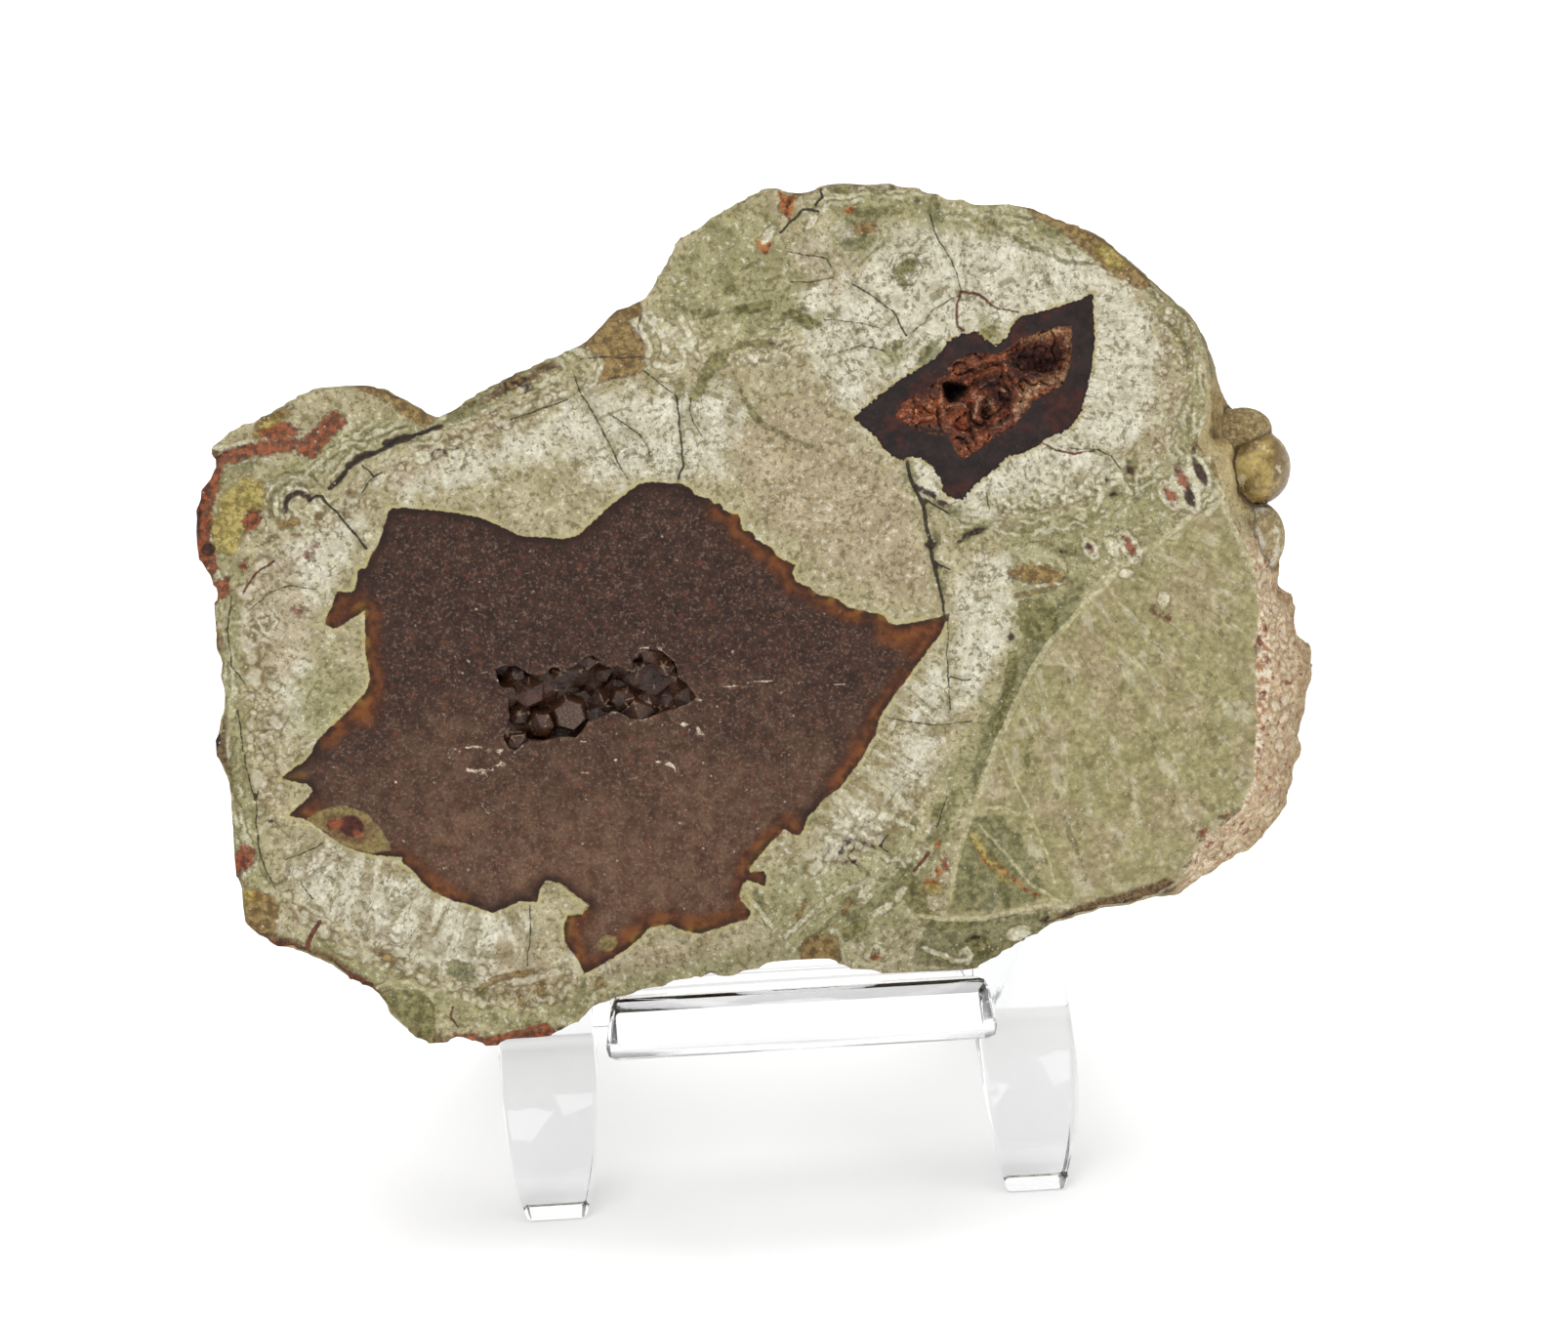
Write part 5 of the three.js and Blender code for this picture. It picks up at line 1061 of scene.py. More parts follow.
def rind_shell(voxel):
    """The rough outside of the stone with its front open."""
    places, faces, normals = even_surface(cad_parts["agate_stone"], voxel)
    dents = np.array([rind_dent(Vector(p)) for p in places])
    places = places - normals * dents[:, None]
    for lump in LUMPS:
        places = swollen(places, lump)
    shell = bmesh.new()
    depth = shell.verts.layers.float.new("dent")
    corners = [shell.verts.new(p) for p in places]
    for corner, dent in zip(corners, dents):
        corner[depth] = dent
    for face in faces:
        shell.faces.new([corners[i] for i in face])
    round_lumps(shell, LONG_EDGE * voxel)
    bmesh.ops.bisect_plane(shell, geom=shell.verts[:] + shell.edges[:] + shell.faces[:], dist=NEXT_TO,
                           plane_co=(0, 0, SKIN), plane_no=(0, 0, 1), clear_outer=True)
    bmesh.ops.triangulate(shell, faces=[f for f in shell.faces if len(f.verts) > 4])
    shell.verts.ensure_lookup_table()
    drop_loose_parts(shell)
    return shell


def front_loop(shell):
    """The shell's longest open edge in order; shorter ones are closed."""
    open_edges = {e for e in shell.edges if len(e.link_faces) == 1}
    loops = []
    while open_edges:
        edge = next(iter(sorted(open_edges, key=lambda e: e.verts[0].co.x)))
        start, here = edge.verts
        loop = [start]
        open_edges.discard(edge)
        while here is not start:
            loop.append(here)
            following = [e for e in here.link_edges if e in open_edges]
            if not following:
                break
            open_edges.discard(following[0])
            here = following[0].other_vert(here)
        loops.append(loop)
    loops.sort(key=len, reverse=True)
    for loop in loops[1:]:
        if len(loop) >= 3:
            round_hole = {e for v in loop for e in v.link_edges if len(e.link_faces) == 1}
            bmesh.ops.contextual_create(shell, geom=list(round_hole))
    return loops[0]


def rind_arrays(voxel):
    """The rind as lists: its places, its faces, the dent at each place and the ring of its open front."""
    shell = rind_shell(voxel)
    loop = front_loop(shell)
    shell.verts.index_update()
    depth = shell.verts.layers.float["dent"]
    places = [tuple(v.co) for v in shell.verts]
    dents = [v[depth] for v in shell.verts]
    ring = [v.index for v in loop]
    faces = [tuple(v.index for v in f.verts) for f in shell.faces]
    shell.free()
    return places, faces, dents, ring


def fine_line_network():
    """All thin lines on the face, cut into short steps: list of points arrays."""
    return [roughened(resampled(line, 0.3), 0.1, 1.3, number)
            for number, (_, line) in enumerate(CRACKS + RUST_CRACKS + VEINS)]


def thin_depth(points, entries, lines):
    """Half width less the distance to the nearest of some thin lines."""
    best = np.full(len(points), -3.0)
    for (width, _), line in zip(entries, lines):
        low, high = line.min(0) - 3, line.max(0) + 3
        close = np.all((points > low) & (points < high), axis=1)
        if close.any():
            best[close] = np.maximum(best[close], width / 2 - line_distance(points[close], line)[0])
    return best


def patch_depth(points, shapes):
    """How far inside the nearest patch of a list each point is."""
    best = np.full(len(points), -4.0)
    for shape in shapes:
        best = np.maximum(best, shape(points))
    return best


def fan_places(points):
    """Streak coordinates: where a streak starts and how far along it a point is."""
    to_agate, agate_foot = line_distance(points, BIG_AGATE, closed=True)
    to_lens, lens_foot = line_distance(points, LENS, closed=True)
    nearer_lens = to_lens < to_agate
    foot = np.where(nearer_lens[:, None], lens_foot, agate_foot)
    distance = np.where(nearer_lens, to_lens, to_agate)
    for centre, outline in FANS:
        inside = is_inside(points, outline)
        away = points - np.array(centre)
        radius = np.hypot(away[:, 0], away[:, 1])
        start = np.array(centre) + away / np.maximum(radius, 0.1)[:, None] * 9
        foot = np.where(inside[:, None], start, foot)
        distance = np.where(inside, radius, distance)
    return np.column_stack([foot, distance])


def band_places(points):
    """Distance to the line that the bands follow, and how strongly they show."""
    best = np.full(len(points), FAR_OFF)
    strength = np.zeros(len(points))
    for reach, line in BAND_LINES:
        distance = line_distance(points, line)[0]
        inside = np.clip(1 - distance / reach, 0, 1)
        stronger = inside > strength
        strength = np.where(stronger, inside, strength)
        best = np.where(stronger, distance, best)
    return best, strength


def bead_places(points):
    """Distance to the centre of the nearest ring mark, counted in its radius."""
    rng = random.Random(7)
    best = np.full(len(points), FAR_OFF)
    for radius, spacing, line in BEAD_ROWS:
        for u, v in resampled(line, spacing):
            centre = (u + rng.uniform(-0.34, 0.34), v + rng.uniform(-0.34, 0.34))
            size = radius * rng.uniform(0.55, 1.45)
            best = np.minimum(best, np.hypot(points[:, 0] - centre[0], points[:, 1] - centre[1]) / size)
    return best


def paint_face(mesh, places, lines, rim, dents):
    """Stores every patch, line and band of the face, and the dents of the rind, for the materials."""
    flat = places[:, :2]
    keep_value(mesh, "dent", dents)
    keep_value(mesh, "outer_rim", line_distance(flat, rim, closed=True)[0])
    keep_place(mesh, "place", places)
    keep_place(mesh, "fan", fan_places(flat))
    bands, strength = band_places(flat)
    keep_value(mesh, "band_distance", bands)
    keep_value(mesh, "band_strength", strength)
    keep_value(mesh, "bead_row", bead_places(flat))
    for name, outline in (("agate", BIG_AGATE), ("lens", LENS), ("lens_hollow", LENS_HOLLOW),
                          ("main_hollow", MAIN_HOLLOW), ("field", FIELD)):
        keep_value(mesh, name, depth_in(flat, outline))
    for name, lump in (("nodule", NODULE), ("lower_lump", LOWER_LUMP), ("upper_lump", UPPER_LUMP)):
        keep_value(mesh, name, oval_depth(places, lump))
    for name, shapes in PATCHES.items():
        keep_value(mesh, name, patch_depth(flat, shapes))
    first = 0
    for name, entries in (("crack", CRACKS), ("rust_crack", RUST_CRACKS), ("vein", VEINS)):
        keep_value(mesh, name, thin_depth(flat, entries, lines[first:first + len(entries)]))
        first += len(entries)


def hollow_rims():
    """The broken rim of each hollow, with its depth."""
    return [(roughened(resampled(wound(outline), RIM_STEP, closed=True), 0.1, 1.6, seed), depth)
            for outline, depth, seed in ((MAIN_HOLLOW, MAIN_DEPTH, 3), (LENS_HOLLOW, LENS_DEPTH, 5))]


def scattered_places(edge, hollows, lines, step):
    """Places all over the face that keep clear of its hollows and thin lines."""
    grid = jittered_grid(edge, step, 0.16, 11)
    for rim, _ in hollows:
        clear = line_distance(grid, rim, closed=True)[0] > LINE_MARGIN
        grid = grid[clear & ~is_inside(grid, rim)]
    for line in lines:
        near = np.all((grid > line.min(0) - 0.3) & (grid < line.max(0) + 0.3), axis=1)
        drop = np.zeros(len(grid), bool)
        drop[near] = line_distance(grid[near], line)[0] < LINE_MARGIN
        grid = grid[~drop]
    return grid


def face_triangles(edge, hollows, lines, step):
    """The face's corners, triangles and source points, and where each hollow's rim starts in the points."""
    points = [tuple(p) for p in edge]
    edges = ring_edges(0, len(points))
    rim_starts = []
    for rim, _ in hollows:
        rim_starts.append(len(points))
        edges += ring_edges(len(points), len(rim))
        points += [tuple(p) for p in rim]
    for line in lines:
        kept = line[is_inside(line, edge) & (line_distance(line, edge, closed=True)[0] > 0.12)]
        edges += [(len(points) + i, len(points) + i + 1) for i in range(len(kept) - 1)]
        points += [tuple(p) for p in kept]
    points += [tuple(p) for p in scattered_places(edge, hollows, lines, step)]
    corners, triangles, sources = triangles_between(points, edges)
    centres = corners[triangles].mean(1)
    wanted = is_inside(centres, edge)
    for rim, _ in hollows:
        wanted &= ~is_inside(centres, rim)
    return corners, triangles[wanted], sources, rim_starts


def join_flat(places, ring, corners, triangles, sources, n):
    """Adds flat triangles at a depth inside a ring of the mesh: their faces, and each point's vertex."""
    where, vertex_of_point = {}, {}
    for corner in sorted(set(triangles.ravel())):
        origin = [s for s in sources[corner] if s < len(ring)]
        if origin:
            where[corner] = ring[origin[0]]
        else:
            where[corner] = len(places)
            places.append((corners[corner][0], corners[corner][1], n))
        for source in sources[corner]:
            vertex_of_point[source] = where[corner]
    return [tuple(where[i] for i in triangle) for triangle in triangles], vertex_of_point


def wall_ring(places, rim, n):
    """Adds the uneven outline of a hollow's wall at a depth: its vertices."""
    ring = []
    for i, (u, v) in enumerate(rim):
        push = 0.22 * abs(noise.noise(Vector((u * 1.4, v * 1.4, n * 1.4))))
        ahead, behind = rim[(i + 1) % len(rim)], rim[i - 1]
        outward = Vector((ahead[1] - behind[1], behind[0] - ahead[0])).normalized()
        ring.append(len(places))
        places.append((u + outward.x * push, v + outward.y * push, n))
    return ring


def hollow_faces(places, rim, upper, depth):
    """The walls and the floor of a hollow below the ring of its rim."""
    faces = []
    count = len(rim)
    levels = max(2, round((depth + SKIN) / WALL_STEP))
    for level in range(1, levels + 1):
        lower = wall_ring(places, rim, SKIN + (-depth - SKIN) * level / levels)
        faces += [(upper[i], upper[(i + 1) % count], lower[(i + 1) % count], lower[i]) for i in range(count)]
        upper = lower
    floor = np.array([places[i][:2] for i in upper])
    inner = jittered_grid(floor, 0.7, 0.3, 17)
    corners, triangles, sources = triangles_between(
        [tuple(p) for p in floor] + [tuple(p) for p in inner], ring_edges(0, count))
    inside = is_inside(corners[triangles].mean(1), floor)
    return faces + join_flat(places, upper, corners, triangles[inside], sources, -depth)[0]


def build_stone(settings):
    """The whole agate: polished face, hollow walls and rough rind in one closed mesh."""
    noise.seed_set(WANDER_SEED)
    places, faces, dents, ring = rind_arrays(settings.rind_detail)
    kinds = [1] * len(faces)
    edge = np.array([places[i][:2] for i in ring])
    hollows = hollow_rims()
    lines = fine_line_network()
    corners, triangles, sources, rim_starts = face_triangles(edge, hollows, lines, settings.face_detail)
    front, vertex_of_point = join_flat(places, ring, corners, triangles, sources, SKIN)
    faces += front
    kinds += [0] * len(front)
    for (rim, depth), start in zip(hollows, rim_starts):
        upper = [vertex_of_point[start + i] for i in range(len(rim))]
        faces += hollow_faces(places, rim, upper, depth)
    kinds += [2] * (len(faces) - len(kinds))

    places = np.array(places)
    materials = [face_material(settings), rind_material(settings), face_material(settings)]
    stone = add_mesh("agate_stone_cut", in_metres(places), faces, materials, kinds)
    stone.data.set_sharp_from_angle(angle=math.radians(48))
    dents += [0.0] * (len(places) - len(dents))
    paint_face(stone.data, places, lines, edge[::4], dents)
    return stone


def relief_block(outline, height, floor, step, seed):
    """A closed block with a modelled top: places on the face frame and faces."""
    rim = resampled(wound(outline), step * 1.2, closed=True)
    inner = jittered_grid(rim, step, step * 0.5, seed)
    flat = [tuple(p) for p in rim] + [tuple(p) for p in inner]
    corners, triangles, _ = triangles_between(flat, ring_edges(0, len(rim)))
    triangles = triangles[is_inside(corners[triangles].mean(1), rim)]
    places = [(u, v, n) for (u, v), n in zip(corners, height(corners))]
    count = len(rim)
    below = len(places)
    places += [(u, v, floor) for u, v in rim]
    faces = [tuple(t) for t in triangles]
    faces += [(i, below + i, below + (i + 1) % count, (i + 1) % count) for i in range(count)]
    base, base_faces, sources = triangles_between([tuple(p) for p in rim], ring_edges(0, count))
    inside = is_inside(base[base_faces].mean(1), rim)
    for a, b, c in base_faces[inside]:
        faces.append((below + sources[c][0], below + sources[b][0], below + sources[a][0]))
    return np.array(places), faces


def crystal_list(spacing):
    """The crystals of the main hollow: place, top, slope, turn, lean and half width of each."""
    rng = random.Random(29)
    low, high = np.min(MAIN_HOLLOW, 0), np.max(MAIN_HOLLOW, 0)
    block = np.array([(low[0], low[1]), (high[0], low[1]), (high[0], high[1]), (low[0], high[1])])
    crystals = []
    for u, v in jittered_grid(block, spacing, 0.0, 31):
        rim = depth_in(np.array([(u, v)]), MAIN_HOLLOW)[0]
        top = -0.3 - 0.55 * max(rim, 0) - rng.uniform(0, 0.9)
        lean = (rng.uniform(-0.4, 0.4), rng.uniform(-0.4, 0.4))
        crystals.append((u, v, top, rng.uniform(0.5, 0.95), rng.uniform(0, math.pi / 3), lean,
                         spacing * rng.uniform(0.4, 0.85)))
    return crystals + LARGE_CRYSTALS


def crystal_relief(points, spacing):
    """Height of the crystals at each place, and how near an edge and a seam between two is."""
    best = np.full(len(points), CRYSTAL_GROUND)
    second = np.full(len(points), CRYSTAL_GROUND)
    edge = np.full(len(points), 1.0)
    angles = np.arange(6) * math.pi / 3
    for cu, cv, top, slope, turn, lean, size in crystal_list(spacing):
        du, dv = points[:, 0] - cu, points[:, 1] - cv
        c, s = math.cos(turn), math.sin(turn)
        x, y = du * c + dv * s, dv * c - du * s
        reaches = np.sort(np.outer(x, np.cos(angles)) + np.outer(y, np.sin(angles)), axis=1)
        reach, next_reach = reaches[:, -1], reaches[:, -2]
        height = top - slope * reach - CRYSTAL_SIDE * np.maximum(reach - size, 0) + lean[0] * x + lean[1] * y
        gap = np.minimum(reach - next_reach, np.abs(reach - size))
        higher = height > best
        second = np.where(higher, best, np.maximum(second, height))
        edge = np.where(higher, gap, edge)
        best = np.where(higher, height, best)
    flat = np.array([-0.16 + 0.03 * noise.noise(Vector((u, v, 4)) * 3) for u, v in points])
    edge = np.where(best > flat, np.abs(best - flat) * 0.3, edge)
    return np.minimum(best, flat), edge, best - second


def build_crystals(settings):
    """The dark crystals in the main hollow."""
    outline = pulled_in(MAIN_HOLLOW, -WALL_OVERLAP)

    def height(points):
        return crystal_relief(points, settings.crystal_size)[0]
    places, faces = relief_block(outline, height, -MAIN_DEPTH + CRUST_GAP, 0.115, 41)
    piece = add_mesh("dark_crystals", in_metres(places), faces, [crystal_material(settings)], smooth=False)
    _, edge, seam = crystal_relief(places[:, :2], settings.crystal_size)
    keep_place(piece.data, "place", places)
    keep_value(piece.data, "crystal_edge", edge)
    keep_value(piece.data, "crystal_seam", seam)
    return piece


def oval_reach(u, v, centre, half):
    """Distance from the middle of an oval, counted in its half sizes."""
    return math.hypot((u - centre[0]) / half[0], (v - centre[1]) / half[1])


def lining_ring(u, v, n, place, rough):
    """The lining's height with its round bowl, the wall round it and the cleft and knob in it."""
    ring = math.hypot(u - BOWL[0], v - BOWL[1]) + 0.35 * noise.noise(place * 1.2)
    if ring < 2.5:
        wall = math.exp(-((ring - 1.8) / 0.3) ** 2)
        n = max(n - 0.5 * (1 - ring / 2.5), -1.7 + 0.3 * rough) + 0.6 * wall * (0.6 + 0.9 * rough)
        n -= 0.6 * math.exp(-(oval_reach(u, v, (17.1, 44.8), (0.4, 0.8)) ** 2))
        n += 0.5 * math.exp(-(oval_reach(u, v, (16.8, 45.6), (0.6, 0.5)) ** 2))
    return n


def lining_height(u, v):
    """Height of the rough brown lining in the dark lens."""
    place = Vector((u, v, 0))
    at = np.array([(u, v)])
    rim = depth_in(at, LENS_HOLLOW)[0]
    rough = noise.fractal(place * 0.9, 1.0, 2.0, 4)
    beads = bubbly(place + Vector((2, 5, 0)), 1.1)
    n = -0.3 - 0.36 * min(rim, 2.2) + 0.38 * rough + 0.34 * beads
    left = ramp(-u, -14, 2.5)
    lower = ramp((u - 9.8) * 0.62 + 42.6 - v, 0, 1.2)
    n += left * (0.35 - 0.06 * rim) + lower * 0.2
    n = lining_ring(u, v, n, place, rough)
    lump = oval_reach(u, v, LINING_LUMP, (0.95, 1.1)) + 0.2 * rough
    if lump < 1.3:
        n = max(n, -0.5 - 0.9 * lump ** 2 + 0.35 * beads)
    pit = depth_in(at, PIT)[0] + 0.12 * rough
    if pit > -0.25:
        n = min(n, -1.0 - 4.5 * (pit + 0.1))
    hole = oval_reach(u, v, (21.8, 48.5), (1.8, 0.8)) + 0.3 * rough
    if hole < 1.6:
        n -= 1.1 * (1 - hole / 1.6)
    crevice = abs(noise.noise(place * 0.75 + Vector((5, 2, 1))))
    n -= 0.5 * max(0.0, 1 - crevice / 0.07)
    return min(max(n, LINING_LOWEST), LINING_HIGHEST)


def build_lining(settings):
    """The rough brown lining of the hollow in the dark lens."""
    outline = pulled_in(LENS_HOLLOW, -WALL_OVERLAP)

    def height(points):
        return np.array([lining_height(u, v) for u, v in points])
    places, faces = relief_block(outline, height, -LENS_DEPTH + CRUST_GAP, 0.14, 43)
    piece = add_mesh("lens_lining_rough", in_metres(places), faces, [lining_material(settings)])
    piece.data.set_sharp_from_angle(angle=math.radians(60))
    flat = places[:, :2]
    keep_place(piece.data, "place", places)
    keep_value(piece.data, "lens_hollow", depth_in(flat, LENS_HOLLOW))
    for name, shapes in LINING_PATCHES.items():
        keep_value(piece.data, name, patch_depth(flat, shapes))
    return piece


class Graph:
    """Adds nodes to one tree and links them. Its textures read one place unless told otherwise."""

    def __init__(self, tree):
        self.tree = tree
        self.place = None

    def node(self, kind, **settings):
        node = self.tree.nodes.new(kind)
        for name, value in settings.items():
            setattr(node, name, value)
        return node

    def feed(self, socket, value):
        if isinstance(value, bpy.types.NodeSocket):
            self.tree.links.new(value, socket)
        else:
            socket.default_value = value

    def math(self, operation, *values):
        node = self.node("ShaderNodeMath", operation=operation)
        for socket, value in zip(node.inputs, values):
            self.feed(socket, value)
        return node.outputs[0]

    def times(self, first, second):
        return self.math("MULTIPLY", first, second)

    def plus(self, first, second):
        return self.math("ADD", first, second)

    def minus(self, first, second):
        return self.math("SUBTRACT", first, second)

    def apart(self, value, centre):
        return self.math("ABSOLUTE", self.minus(value, centre))

    def fade(self, value, low, high):
        node = self.node("ShaderNodeMapRange", interpolation_type="SMOOTHSTEP")
        for socket, given in zip(node.inputs, (value, low, high, 0.0, 1.0)):
            self.feed(socket, given)
        return node.outputs[0]

    def blend(self, share, low, high, kind="MIX"):
        node = self.node("ShaderNodeMix", data_type="RGBA", blend_type=kind)
        self.feed(node.inputs[0], share)
        self.feed(node.inputs[6], low)
        self.feed(node.inputs[7], high)
        return node.outputs[2]

    def graded(self, share, low, high):
        """A colour between two swatches."""
        return self.blend(share, display_tone(*low), display_tone(*high))

    def lay(self, share, amount, colour, tint):
        """A colour with some of a tint over it; the tint is a socket or a swatch."""
        if isinstance(tint, tuple):
            tint = display_tone(*tint)
        return self.blend(self.times(share, amount), colour, tint)

    def scaled(self, factors, place=None):
        node = self.node("ShaderNodeVectorMath", operation="MULTIPLY")
        self.feed(node.inputs[0], self.place if place is None else place)
        node.inputs[1].default_value = factors
        return node.outputs[0]

    def shifted(self, amount, strength, place=None):
        away = self.node("ShaderNodeVectorMath", operation="SUBTRACT")
        self.feed(away.inputs[0], amount)
        away.inputs[1].default_value = (0.5, 0.5, 0.5)
        node = self.node("ShaderNodeVectorMath", operation="MULTIPLY_ADD")
        self.feed(node.inputs[0], away.outputs[0])
        node.inputs[1].default_value = (strength, strength, strength)
        self.feed(node.inputs[2], self.place if place is None else place)
        return node.outputs[0]

    def noise(self, scale, detail=2.0, roughness=0.5, place=None, colour=False):
        node = self.node("ShaderNodeTexNoise")
        self.feed(node.inputs["Vector"], self.place if place is None else place)
        self.feed(node.inputs["Scale"], scale)
        node.inputs["Detail"].default_value = detail
        node.inputs["Roughness"].default_value = roughness
        return node.outputs[1 if colour else 0]

    def clouds(self, low, high, scale, detail=2.0, roughness=0.5, place=None):
        """Noise cut to soft patches between two levels."""
        return self.fade(self.noise(scale, detail, roughness, place), low, high)

    def wobble(self, amount, scale, detail=2.0, roughness=0.5):
        """Noise about zero."""
        return self.times(self.minus(self.noise(scale, detail, roughness), 0.5), amount)

    def cells(self, scale, feature="F1", place=None):
        node = self.node("ShaderNodeTexVoronoi", feature=feature)
        self.feed(node.inputs["Vector"], self.place if place is None else place)
        self.feed(node.inputs["Scale"], scale)
        return node.outputs

    def axes(self):
        node = self.node("ShaderNodeSeparateXYZ")
        self.feed(node.inputs[0], self.place)
        return node.outputs

    def read(self, name, vector=False):
        node = self.node("ShaderNodeAttribute", attribute_name=name)
        return node.outputs["Vector" if vector else "Fac"]

    def group(self, tree, **values):
        node = self.node("ShaderNodeGroup", node_tree=tree)
        self.feed(node.inputs["Place"], self.place)
        for name, value in values.items():
            self.feed(node.inputs[name.replace("_", " ")], value)
        return node.outputs

    def patch(self, name, softness, breakage, scale):
        """Mask and rim of a patch that the mesh carries under a name."""
        return self.group(broken_edge_group(), Distance=self.read(name), Softness=softness, Breakage=breakage,
                          Scale=scale)

    def mask(self, name, softness, breakage, scale):
        return self.patch(name, softness, breakage, scale)["Mask"]


def new_group(name, numbers, outputs):
    """An empty shader group with a place and some numbers as its inputs."""
    tree = bpy.data.node_groups.new(name, "ShaderNodeTree")
    tree.interface.new_socket("Place", in_out="INPUT", socket_type="NodeSocketVector")
    for label, value in numbers.items():
        tree.interface.new_socket(label, in_out="INPUT", socket_type="NodeSocketFloat").default_value = value
    for label in outputs:
        kind = "NodeSocketColor" if label == "Tint" else "NodeSocketFloat"
        tree.interface.new_socket(label, in_out="OUTPUT", socket_type=kind)
    graph = Graph(tree)
    given = graph.node("NodeGroupInput").outputs
    graph.place = given["Place"]
    return tree, graph, given, graph.node("NodeGroupOutput").inputs


def broken_edge_group():
    """Turns a signed distance into a mask with a broken edge."""
    existing = bpy.data.node_groups.get("Broken edge")
    if existing:
        return existing
    tree, graph, given, result = new_group(
        "Broken edge", {"Distance": 0.0, "Softness": 0.1, "Breakage": 0.2, "Scale": 2.0}, ("Mask", "Rim"))
    softness = given["Softness"]
    pushed = graph.wobble(graph.times(given["Breakage"], 2.0), given["Scale"], 3.0, 0.6)
    moved = graph.plus(given["Distance"], pushed)
    graph.feed(result["Mask"], graph.fade(moved, graph.times(softness, -1.0), softness))
    from_edge = graph.math("ABSOLUTE", graph.plus(moved, graph.times(softness, 0.6)))
    graph.feed(result["Rim"], graph.fade(from_edge, graph.plus(softness, 0.06), 0.02))
    return tree


def grain_group():
    """Fine mineral grain: a broad mottle, soft pebbles and thin wandering seams."""
    existing = bpy.data.node_groups.get("Mineral grain")
    if existing:
        return existing
    tree, graph, given, result = new_group(
        "Mineral grain", {"Grain Scale": 1.5}, ("Mottle", "Pebble", "Seams", "Grit"))
    scale = given["Grain Scale"]
    bent = graph.shifted(graph.noise(graph.times(scale, 0.6), colour=True), 0.35)
    graph.feed(result["Mottle"], graph.clouds(0.36, 0.64, graph.times(scale, 0.35), 5.0, 0.66, bent))
    cell = graph.cells(graph.times(scale, 1.3), "SMOOTH_F1", bent)["Distance"]
    graph.feed(result["Pebble"], graph.fade(cell, 0.62, 0.12))
    wander = graph.noise(graph.times(scale, 1.1), 2.0, 0.55, bent)
    line = graph.fade(graph.apart(wander, 0.5), 0.028, 0.004)
    graph.feed(result["Seams"], graph.times(line, graph.clouds(0.44, 0.62, graph.times(scale, 0.45))))
    graph.feed(result["Grit"], graph.clouds(0.36, 0.64, graph.times(scale, 2.0), 3.0, 0.75))
    return tree


def crumb_group():
    """Rounded beads packed together, with a dark ring round each."""
    existing = bpy.data.node_groups.get("Packed beads")
    if existing:
        return existing
    tree, graph, given, result = new_group("Packed beads", {"Bead Scale": 1.1}, ("Bead", "Ring", "Tint"))
    cell = graph.cells(given["Bead Scale"], place=graph.shifted(graph.noise(1.1, colour=True), 0.9))
    distance = cell["Distance"]
    graph.feed(result["Bead"], graph.fade(distance, 0.42, 0.12))
    graph.feed(result["Ring"], graph.times(graph.fade(distance, 0.36, 0.46), graph.fade(distance, 0.66, 0.52)))
    graph.feed(result["Tint"], cell["Color"])
    return tree


def new_material(name):
    """A material, its graph and its shader; the textures read the object's own places."""
    material = bpy.data.materials.new(name)
    material.use_nodes = True
    tree = material.node_tree
    tree.nodes.clear()
    graph = Graph(tree)
    shader = graph.node("ShaderNodeBsdfPrincipled")
    output = graph.node("ShaderNodeOutputMaterial")
    tree.links.new(shader.outputs[0], output.inputs[0])
    return material, graph, shader


def new_stone_material(name):
    """The same, with textures that read the places on the face frame that the mesh carries."""
    material, graph, shader = new_material(name)
    graph.place = graph.read("place", vector=True)
    return material, graph, shader


def add_bump(graph, shader, height, distance, strength):
    bump = graph.node("ShaderNodeBump")
    bump.inputs["Strength"].default_value = strength
    bump.inputs["Distance"].default_value = distance
    graph.feed(bump.inputs["Height"], height)
    graph.feed(shader.inputs["Normal"], bump.outputs[0])


def weathered(graph, colour, grain, amount, level=1.0):
    """A colour made lighter and darker by the fine grain."""
    tone = graph.plus(graph.times(grain["Grit"], 0.6), graph.times(grain["Pebble"], 0.4))
    level = graph.plus(level - amount * 0.95, graph.times(tone, 2 * amount))
    grey = graph.node("ShaderNodeCombineColor")
    for socket in grey.inputs[:3]:
        graph.feed(socket, level)
    return graph.blend(1.0, colour, grey.outputs[0], "MULTIPLY")


def matrix_colour(graph, grain):
    """The pale stone round the agate, before its patches."""
    wander = graph.noise(1.3, 4.0, 0.6, colour=True)
    plate = graph.cells(0.9, place=graph.shifted(wander, 2.2))["Color"]
    tone = graph.plus(graph.times(grain["Mottle"], 0.55), graph.times(plate, 0.45))
    colour = graph.graded(tone, (160, 147, 108), (202, 191, 154))
    for name, low, high, share in BROAD_TONES:
        colour = graph.lay(graph.mask(name, 0.8, 2.6, 0.6), share, colour, graph.graded(tone, low, high))
    colour = graph.lay(grain["Seams"], 0.5, colour, (122, 108, 70))
    marks = graph.noise(2.3, 2.0, 0.6, graph.shifted(wander, 0.5))
    marks = graph.plus(marks, graph.times(graph.clouds(0.4, 0.62, 0.4, 3.0, 0.65), 0.07))
    colour = graph.lay(graph.fade(marks, 0.59, 0.65), 0.68, colour, (116, 106, 66))
    return graph.lay(graph.fade(marks, 0.41, 0.37), 0.5, colour, (238, 234, 216))


